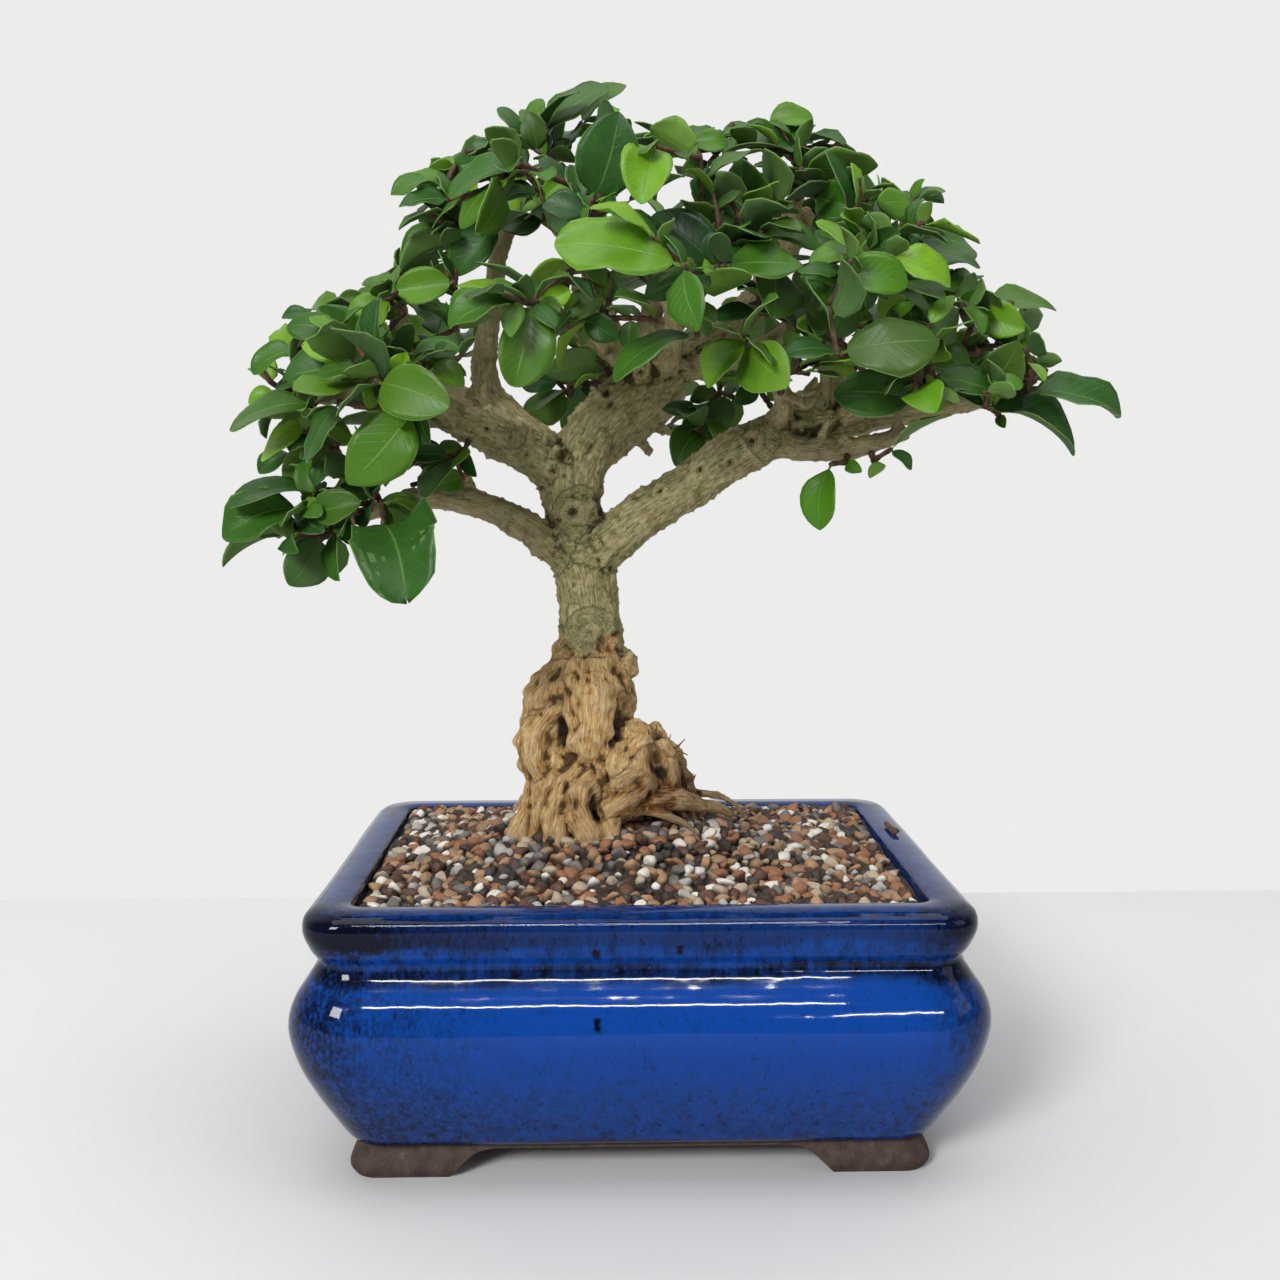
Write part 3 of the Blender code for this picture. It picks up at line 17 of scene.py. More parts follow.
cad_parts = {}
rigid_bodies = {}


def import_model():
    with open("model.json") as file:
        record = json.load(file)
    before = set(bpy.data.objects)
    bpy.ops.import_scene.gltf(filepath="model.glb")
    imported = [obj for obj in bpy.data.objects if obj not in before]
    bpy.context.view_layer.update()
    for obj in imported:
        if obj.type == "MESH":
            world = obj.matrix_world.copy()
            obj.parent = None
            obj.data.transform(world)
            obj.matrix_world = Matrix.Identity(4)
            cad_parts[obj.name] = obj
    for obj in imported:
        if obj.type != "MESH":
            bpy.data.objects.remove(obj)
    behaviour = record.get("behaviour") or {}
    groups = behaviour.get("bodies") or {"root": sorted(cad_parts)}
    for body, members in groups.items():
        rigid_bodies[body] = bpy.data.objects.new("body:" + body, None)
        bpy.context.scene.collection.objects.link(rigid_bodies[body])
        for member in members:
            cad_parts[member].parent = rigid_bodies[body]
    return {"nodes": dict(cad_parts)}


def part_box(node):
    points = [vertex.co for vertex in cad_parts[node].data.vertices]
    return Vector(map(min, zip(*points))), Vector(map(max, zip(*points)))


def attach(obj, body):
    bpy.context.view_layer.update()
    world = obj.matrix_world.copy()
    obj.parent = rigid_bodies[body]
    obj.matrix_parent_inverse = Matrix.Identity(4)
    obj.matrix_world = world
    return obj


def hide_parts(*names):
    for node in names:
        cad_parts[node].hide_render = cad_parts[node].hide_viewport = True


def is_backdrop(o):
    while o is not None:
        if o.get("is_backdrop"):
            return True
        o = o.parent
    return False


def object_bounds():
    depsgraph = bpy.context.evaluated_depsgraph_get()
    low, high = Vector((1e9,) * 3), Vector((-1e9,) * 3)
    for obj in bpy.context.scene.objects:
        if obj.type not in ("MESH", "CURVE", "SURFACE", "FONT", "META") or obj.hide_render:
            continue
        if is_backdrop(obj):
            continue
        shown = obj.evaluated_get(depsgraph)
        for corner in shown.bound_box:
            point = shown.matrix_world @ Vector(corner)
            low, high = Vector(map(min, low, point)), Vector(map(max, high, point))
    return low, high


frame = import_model()
cad_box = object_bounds()
print("nodes in the frame:", len(frame["nodes"]))

# %% Units and small helpers
MM = 0.001
# Where the pot's centre lies, so that the middle of the whole bonsai is at the origin
POT_CENTRE = Vector((-10.5, -7.0, 0.0)) * MM


def mm(*values):
    """A point given in millimetres, in metres."""
    return Vector(values) * MM


def placed(point):
    """A point in mm counted from the pot's centre, in the model's frame."""
    return mm(*point[:3]) + POT_CENTRE


def in_model(points):
    """Points in mm from the pot's centre, put in the model's frame in metres."""
    return [placed(point) for point in points]


def smooth_step(low, high, value):
    """0 below low, 1 above high and a soft change between."""
    t = np.clip((value - low) / (high - low), 0.0, 1.0)
    return t * t * (3 - 2 * t)


def in_scene(name, data):
    """A new object with the given data, put into the scene."""
    made = bpy.data.objects.new(name, data)
    bpy.context.scene.collection.objects.link(made)
    return made


def new_object(name, points, faces):
    """A mesh object from points in metres and faces, standing at the origin."""
    mesh = bpy.data.meshes.new(name)
    mesh.from_pydata([tuple(p) for p in points], [], faces)
    return in_scene(name, mesh)


def settled(obj):
    """Turns an object with modifiers into the plain mesh that they give."""
    graph = bpy.context.evaluated_depsgraph_get()
    mesh = bpy.data.meshes.new_from_object(obj.evaluated_get(graph))
    old = obj.data
    obj.modifiers.clear()
    obj.data = mesh
    bpy.data.meshes.remove(old)
    return obj


def rows_of(items, field):
    """A vector of each of a mesh's items, as an array of rows."""
    flat = np.zeros(len(items) * 3, np.float32)
    items.foreach_get(field, flat)
    return flat.reshape(-1, 3).astype(float)


def corners_of(mesh):
    return rows_of(mesh.vertices, "co")


def normals_of(mesh):
    return rows_of(mesh.vertex_normals, "vector")


def in_pot_mm(points):
    """Rows of points in metres, in mm counted from the pot's centre."""
    return (points - np.array(POT_CENTRE)) / MM


def move_corners(mesh, points):
    mesh.vertices.foreach_set("co", np.asarray(points, np.float32).ravel())
    mesh.update()


def mark(mesh, name, values, kind="FLOAT"):
    """Writes one number, or one vector, for each point of a mesh."""
    attribute = mesh.attributes.new(name, kind, "POINT")
    field = "value" if kind == "FLOAT" else "vector"
    attribute.data.foreach_set(field, np.asarray(values, np.float32).ravel())


def finish_piece(obj, body_slot, look, *nodes):
    """Gives a piece its material, lets it ride on the one body and hides the solids it stands for."""
    obj.data.materials.clear()
    obj.data.materials.append(look)
    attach(obj, "root")
    if nodes:
        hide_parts(*nodes)
    return obj


# %% [markdown]
# ## Shader sums
# A finish is a small sum over the surface: where it is glazed, how deep a groove is, how young a leaf is.
# Written with node links such sums are long, so a socket is wrapped in a class that adds the Math nodes by
# itself.

# %% Shader sums
class Value:
    """A shader socket that can be used in sums."""

    def __init__(self, board, socket):
        self.board, self.socket = board, socket

    def math(self, operation, *others):
        return self.board.node("ShaderNodeMath", {"operation": operation}, (self, *others))

    def __add__(self, other):
        return self.math("ADD", other)

    def __sub__(self, other):
        return self.math("SUBTRACT", other)

    def __mul__(self, other):
        return self.math("MULTIPLY", other)

    def __rsub__(self, other):
        return self.board.node("ShaderNodeMath", {"operation": "SUBTRACT"}, (other, self))

    __radd__ = __add__
    __rmul__ = __mul__


class Board:
    """A material with one Principled shader, and the nodes that feed it."""

    def __init__(self, name, **settings):
        self.material = bpy.data.materials.new(name)
        self.material.use_nodes = True
        self.tree = self.material.node_tree
        self.shader = self.tree.nodes["Principled BSDF"]
        for socket, value in settings.items():
            self.shader.inputs[socket.replace("_", " ")].default_value = value

    def node(self, kind, settings=None, inputs=(), output=0):
        """Adds any node: its settings first, then the values or links of its sockets, by place or by name."""
        made = self.tree.nodes.new(kind)
        for name, value in (settings or {}).items():
            if name == "stops":
                self.set_stops(made.color_ramp.elements, value)
            else:
                setattr(made, name, value)
        pairs = inputs.items() if isinstance(inputs, dict) else enumerate(inputs)
        for place, value in pairs:
            self.feed(made.inputs[place], value)
        return Value(self, made.outputs[output])

    def set_stops(self, elements, stops):
        while len(elements) < len(stops):
            elements.new(0.5)
        for element, (place, colour) in zip(elements, stops):
            element.position = place
            element.color = (*colour, 1.0)

    def feed(self, socket, value):
        if isinstance(value, Value):
            self.tree.links.new(value.socket, socket)
        elif isinstance(value, tuple) and len(value) == 3 and socket.type == "RGBA":
            socket.default_value = (*value, 1.0)
        else:
            socket.default_value = value

    def place(self):
        return self.node("ShaderNodeTexCoord", output="Object")

    def split(self, vector):
        parts = self.tree.nodes.new("ShaderNodeSeparateXYZ")
        self.feed(parts.inputs[0], vector)
        return [Value(self, socket) for socket in parts.outputs]

    def attribute(self, name, output="Fac"):
        return self.node("ShaderNodeAttribute", {"attribute_name": name}, output=output)

    def noise(self, vector, scale, detail=2.0, rough=0.5, stretch=None):
        """Noise between 0 and 1, scale in bumps a metre; a stretch below 1 draws them out along its axis."""
        if stretch:
            vector = self.node("ShaderNodeMapping", None, {"Vector": vector, "Scale": stretch})
        inputs = {"Vector": vector, "Scale": scale, "Detail": detail, "Roughness": rough}
        return self.node("ShaderNodeTexNoise", None, inputs)

    def between(self, value, low, high):
        """0 below low, 1 above high, soft between."""
        settings = {"interpolation_type": "SMOOTHSTEP", "clamp": True}
        return self.node("ShaderNodeMapRange", settings, {"Value": value, "From Min": low, "From Max": high})

    def ramp(self, value, *stops):
        return self.node("ShaderNodeValToRGB", {"stops": stops}, (value,))

    def mix(self, share, first, second):
        """Two colours mixed by a share."""
        made = self.tree.nodes.new("ShaderNodeMix")
        made.data_type = "RGBA"
        colours = [s for s in made.inputs if s.type == "RGBA"]
        for socket, value in zip((made.inputs[0], *colours), (share, first, second)):
            self.feed(socket, value)
        return Value(self, [s for s in made.outputs if s.type == "RGBA"][0])

    def tinted(self, colour, *tints):
        """A colour with others laid over it one by one, each by its share."""
        for share, tint in tints:
            colour = self.mix(share, colour, tint)
        return colour

    def bump(self, height, distance, strength=1.0):
        inputs = {"Height": height, "Distance": distance, "Strength": strength}
        return self.node("ShaderNodeBump", None, inputs)

    def wear(self, **links):
        """Feeds the shader's sockets and hands back the finished material."""
        for socket, value in links.items():
            self.feed(self.shader.inputs[socket.replace("_", " ")], value)
        return self.material


def speckled(name, roughness, grain, *stops, **settings):
    """A dull finish whose colour follows a noise of some scale, detail and roughness."""
    board = Board(name, Roughness=roughness, **settings)
    return board.wear(Base_Color=board.ramp(board.noise(board.place(), *grain), *stops))


# %% [markdown]
# ## Camera
# The photograph was taken close by, so near things look large, from about as high as the fork of the trunk.
# The camera stands where the picture's own perspective says that the lens was.

# %% Camera
# The photograph's view, to place the leaves seen in it: where the lens was in mm from the pot's centre, how
# it was turned down and to the right, and the distance that one unit of slope covers in pixels
EYE = Vector((-9.7, -419.7, 196.3))
EYE_DOWN = math.radians(6.28)
EYE_RIGHT = math.radians(1.45)
EYE_PIXELS = 1300.0
PHOTO_MIDDLE = 640.0
SENSOR = 36.0

camera_data = bpy.data.cameras.new("camera")
camera_data.sensor_width = SENSOR
camera_data.lens = SENSOR * EYE_PIXELS / (2 * PHOTO_MIDDLE)
camera_data.clip_start = 0.02
camera = in_scene("camera", camera_data)
camera.location = placed(EYE)
camera.rotation_euler = (math.pi / 2 - EYE_DOWN, 0.0, -EYE_RIGHT)
bpy.context.scene.camera = camera
bpy.context.scene.view_settings.view_transform = "Standard"
print("lens of", round(camera_data.lens, 2), "mm")

# %% [markdown]
# ## The wood's routes
# Roots, trunk and branches are drawn as routes: points with a radius. The same routes carry the twigs
# below, so everything that grows on the wood finds it where it is.

# %% The wood's routes
# The wood, in mm: each limb is a route of x, y, z and radius, from what it grows from outwards.
# x and y are counted from the pot's centre.
ROOTS = {
    "core": ((-15, 6, 147, 10.4), (-16, 5, 139, 14.4), (-18, 4, 130.5, 16.8), (-19.5, 4, 122.5, 17.4),
        (-19, 5, 113, 16), (-16, 5, 103, 16.5), (-15.5, 5, 92, 17.5), (-15.5, 5, 77, 16.5),
        (-15.5, 5, 62, 13)),
    "left lobe": ((-26.5, 0, 137, 7), (-29.5, -3, 129.5, 8), (-31, -4, 120.5, 7.6), (-31.5, -5, 112.5, 7),
        (-30, -7, 106.5, 5.6), (-33, -10, 99.5, 5), (-36, -12, 92, 4.6), (-37.5, -13, 84, 4)),
    "tongue": ((-14.5, -3, 137, 9), (-14.5, -8, 128, 9), (-15, -10, 119.5, 8.6), (-15.5, -9, 114.5, 6.4)),
    "front root one": ((-25, -9, 113, 5.4), (-28.5, -12, 105, 5), (-30.5, -14, 98.5, 4.5), (-31, -15, 91, 4),
        (-31, -15, 83, 3.4)),
    "front root two": ((-18.5, -10, 110.5, 5.2), (-23, -14, 104.5, 5), (-25.5, -17, 98.5, 4.5),
        (-26.5, -19, 91.5, 4.1), (-27, -19, 83, 3.4)),
    "front root three": ((-16, -12, 105, 6), (-19.5, -17, 101.5, 5.6), (-18.5, -19, 96, 4.6),
        (-15.5, -21, 90.5, 3.8), (-13.5, -22, 82.5, 3.2)),
    "right mass": ((-2, -2, 122, 5.6), (-2, -6, 116.5, 8), (-5, -9, 110.5, 10), (-4, -10, 104.5, 10.6),
        (-9, -11, 100.5, 8)),
    "right shoulder": ((4, -2, 115, 6), (6.5, -4, 108.5, 7.4), (6.5, -6, 102.5, 7), (3.5, -8, 99, 5.6)),
    "right root": ((2, 4, 118.5, 6.4), (7.5, 4, 110.5, 6.8), (11.5, 4, 103.5, 6.6), (13.5, 4, 96, 6.4),
        (15, 3, 83, 5.2)),
    "lying root": ((-12, -12, 100.5, 5.6), (-2.5, -14, 100, 5.6), (7, -12, 100, 5.1), (15, -10, 99.5, 4.6),
        (21, -8, 97, 4), (25, -7, 91.5, 3.4), (27, -7, 84, 2.8)),
    "low root": ((-3.5, -14, 98.5, 2.6), (3, -16, 98, 2.3), (9.5, -17, 97, 2.3), (14.5, -18, 94, 2.3),
        (16.5, -18, 84.5, 2.1)),
    "thin root": ((15, 4, 98, 3), (22, 5, 99, 2.3), (28, 6, 97.5, 2.2), (33.5, 6, 92, 2.3),
        (35, 6, 84, 2.2)),
    "back root one": ((-24, 14, 116, 7), (-28, 20, 104, 6.4), (-30, 24, 92, 5.4), (-31, 26, 82, 4.2)),
    "back root two": ((-12, 15, 116, 8), (-8, 22, 104, 7), (-5, 27, 92, 5.6), (-4, 30, 82, 4.4)),
    "back root three": ((-2, 12, 112, 7), (5, 17, 101, 6), (10, 21, 90, 5), (12, 23, 81, 4)),
}
TRUNK = (
    (-17, 6, 122, 12), (-16, 6, 133, 11.6), (-15, 6, 147, 10.6), (-16, 7, 163, 9.9), (-18, 8, 178, 10.4),
    (-21, 8, 193, 9.4), (-23, 8, 206, 9.6)
)
BRANCHES = {
    "leader": ((-21, 8, 198, 9.4), (-17, 8, 212, 9.2), (-11, 8, 221, 8.8), (0, 10, 231, 8.2),
        (10, 12, 238, 7.4), (21, 15, 244, 6.4), (33, 18, 254, 5.2), (43, 21, 266, 4.4), (51, 22, 279, 3.8),
        (57, 20, 290, 3)),
    "leader low": ((12, 12, 238, 5), (28, 6, 240, 4), (40, 0, 244, 3.2), (48, -8, 249, 2.7)),
    "leader fork": ((43, 21, 266, 4.2), (49, 14, 277, 3.6), (50, 9, 288, 3), (54, 7, 298, 2.4)),
    "middle left": ((4, 9, 234, 4.8), (-8, 1, 243, 4), (-16, -7, 248, 3.4), (-26, -16, 252, 2.7)),
    "middle up": ((-6, 3, 242, 4), (-11, 1, 256, 3.5), (-15, -4, 269, 3), (-14, -12, 280, 2.6),
        (-12, -20, 287, 2.2)),
    "back left": ((-22, 10, 202, 6.6), (-31, 15, 213, 6), (-43, 20, 224, 5), (-50, 24, 234, 4.6),
        (-50, 25, 248, 3.9), (-47, 24, 263, 3.4), (-45, 22, 277, 3), (-38, 18, 289, 2.5)),
    "left": ((-21, 8, 201, 9), (-30, 6, 208, 7.8), (-44, 2, 215, 6.5), (-56, -3, 220.5, 5.6),
        (-67, -7, 224, 5), (-80, -10, 226.5, 4.3), (-94, -12, 228, 3.4), (-103, -14, 227, 2.6)),
    "left up": ((-62, -5, 222, 4.2), (-70, -6, 234, 3.6), (-74, -5, 246, 3.2), (-74, -6, 256, 2.6)),
    "right": ((-17, 7, 177, 8.6), (-9, 5, 182, 8.2), (1, 3, 190, 7.4), (14, 0, 198, 7.2), (25, -3, 206, 7.4),
        (36, -5, 212.5, 7.6), (47, -7, 216.5, 6.4), (61, -9, 219, 5.3), (76, -11, 221.5, 4.4),
        (91, -12, 223.5, 3.7), (104, -14, 226, 3), (113, -15, 228.5, 2.4)),
    "right low": ((42, -7, 214, 4.8), (53, -14, 211, 3.9), (65, -18, 211, 3.3), (75, -21, 213.5, 2.8),
        (82, -22, 216, 2.3)),
    "right up": ((57, -9, 218, 4.2), (60, -8, 229, 3.4), (61, -8, 243, 3), (66, -9, 254, 2.7),
        (71, -10, 264, 2.3)),
    "right end": ((88, -12, 223, 3.4), (96, -12, 233, 2.8), (99, -14, 243, 2.3)),
    "right inner": ((40, -6, 214, 4.2), (45, -14, 224, 3.4), (42, -24, 230, 2.6)),
    "right middle": ((62, -9, 219, 3.8), (69, -19, 225, 3.2), (70, -30, 230, 2.5)),
    "left low": ((-19, 7, 177, 6.4), (-27, 6, 180, 5.8), (-35, 3, 186, 5), (-44, 0, 191.5, 4.6),
        (-53, -4, 194.5, 4.2), (-62, -8, 196, 3.7), (-70, -12, 195, 3.2), (-81, -17, 192, 2.7),
        (-90, -21, 189, 2.2)),
    "front left": ((-57, -4, 221, 4.4), (-63, -17, 226, 3.6), (-68, -31, 229, 2.7)),
    "front middle": ((9, 11, 237, 5), (10, -5, 242, 4), (10, -19, 247, 3.3), (10, -34, 251, 2.5)),
    "front up": ((0, 10, 231, 5), (3, -4, 248, 3.8), (8, -14, 264, 3.2), (12, -24, 276, 2.4)),
    "back": ((-20, 9, 200, 6), (-13, 21, 209, 5.2), (-1, 36, 218, 4.4), (10, 48, 226, 3.5),
        (17, 58, 234, 2.7)),
    "back right": ((34, -3, 212, 5), (46, 13, 221, 4), (60, 27, 230, 3.3), (73, 38, 238, 2.5)),
    "back far left": ((-43, 20, 225, 4.2), (-57, 34, 230, 3.4), (-71, 42, 236, 2.6)),
    "back middle": ((21, 15, 244, 4.6), (21, 29, 254, 3.6), (16, 42, 262, 3), (10, 52, 268, 2.4)),
}
# Stubs of pruned shoots and swellings: x, y, z and radius of the inner and the outer end
KNOTS = (
    ((-18, 2, 191, 6), (-18.6, -2.4, 191, 3)),
    ((-15, 0, 152, 6), (-14.6, -4, 151.5, 3.2)),
    ((-7, 5, 141, 6), (-0.6, 4, 143, 4.2)),
    ((-24, 4, 145, 4), (-27.5, 3, 145, 3)),
    ((3.5, 6, 113.5, 4.6), (10, 7, 114.5, 4.8)),
    ((20, -1, 203, 4), (17, -1, 208.5, 1.9)),
    ((24, -2, 206, 4), (28, -4, 200, 2.6)),
    ((38, -6, 214, 6), (40, -12, 214, 4.2)),
    ((-8, 6, 184, 5), (-12, 2, 181, 5)),
    ((66, -10, 220, 3.4), (65, -12, 225, 3.2)),
    ((-40, 3, 213, 4), (-41, -1, 217.5, 2.4)),
    ((-60, -5, 222, 4), (-61, -7, 226.5, 2.2)),
)
TUBE_SIDES = 10


def spline(route, per_span):
    """A smooth curve through the route's points of x, y, z, radius (Catmull-Rom)."""
    points = [Vector(p) for p in route]
    points = [2 * points[0] - points[1]] + points + [2 * points[-1] - points[-2]]
    smooth = []
    for k in range(1, len(points) - 2):
        before, start, end, after = points[k - 1 : k + 3]
        for step in range(per_span):
            t = step / per_span
            smooth.append(0.5 * (2 * start + (end - before) * t
                                 + (2 * before - 5 * start + 4 * end - after) * t * t
                                 + (3 * start - before - 3 * end + after) * t ** 3))
    smooth.append(points[-2])
    return smooth


def ring_frames(centres):
    """A direction and two axes across it at each point of a path, without twist."""
    across = None
    for k, centre in enumerate(centres):
        ahead = centres[min(k + 1, len(centres) - 1)] - centres[max(k - 1, 0)]
        ahead.normalize()
        if across is None:
            across = ahead.orthogonal().normalized()
        across = (across - ahead * across.dot(ahead)).normalized()
        yield centre, ahead, across, ahead.cross(across)


def tube(centres, radii, sides):
    """Points and faces of a closed tube along a path, in the path's units."""
    points, faces = [], []
    for (centre, _, first, second), radius in zip(ring_frames(centres), radii):
        for side in range(sides):
            angle = 2 * math.pi * side / sides
            points.append(centre + radius * (math.cos(angle) * first + math.sin(angle) * second))
    for level in range(len(centres) - 1):
        for side in range(sides):
            a, b = level * sides + side, level * sides + (side + 1) % sides
            faces.append((a, b, b + sides, a + sides))
    last = (len(centres) - 1) * sides
    faces.append(tuple(reversed(range(sides))))
    faces.append(tuple(range(last, last + sides)))
    return points, faces


def limb(route, per_span=4, grow=0.0):
    """A route of x, y, z, radius as a tube, in mm from the pot's centre."""
    smooth = spline(route, per_span)
    return tube([p.to_3d() for p in smooth], [p[3] + grow for p in smooth], TUBE_SIDES)


def wood_routes():
    return [*ROOTS.values(), TRUNK, *BRANCHES.values(), *KNOTS]


def merged(tubes):
    points, faces = [], []
    for tube_points, tube_faces in tubes:
        start = len(points)
        points += tube_points
        faces += [tuple(start + i for i in face) for face in tube_faces]
    return points, faces


print(len(wood_routes()), "limbs")

# %% [markdown]
# ## Where the leaves grow
# A real shoot sets its leaves in pairs, each turned to the light. The leaves that the photograph shows are
# placed one by one, from their outline in it; those it can't show follow the rule of pairs. A leaf that
# would cross another is turned or moved until it is free, which is the same search that gave the solids
# their sprays.

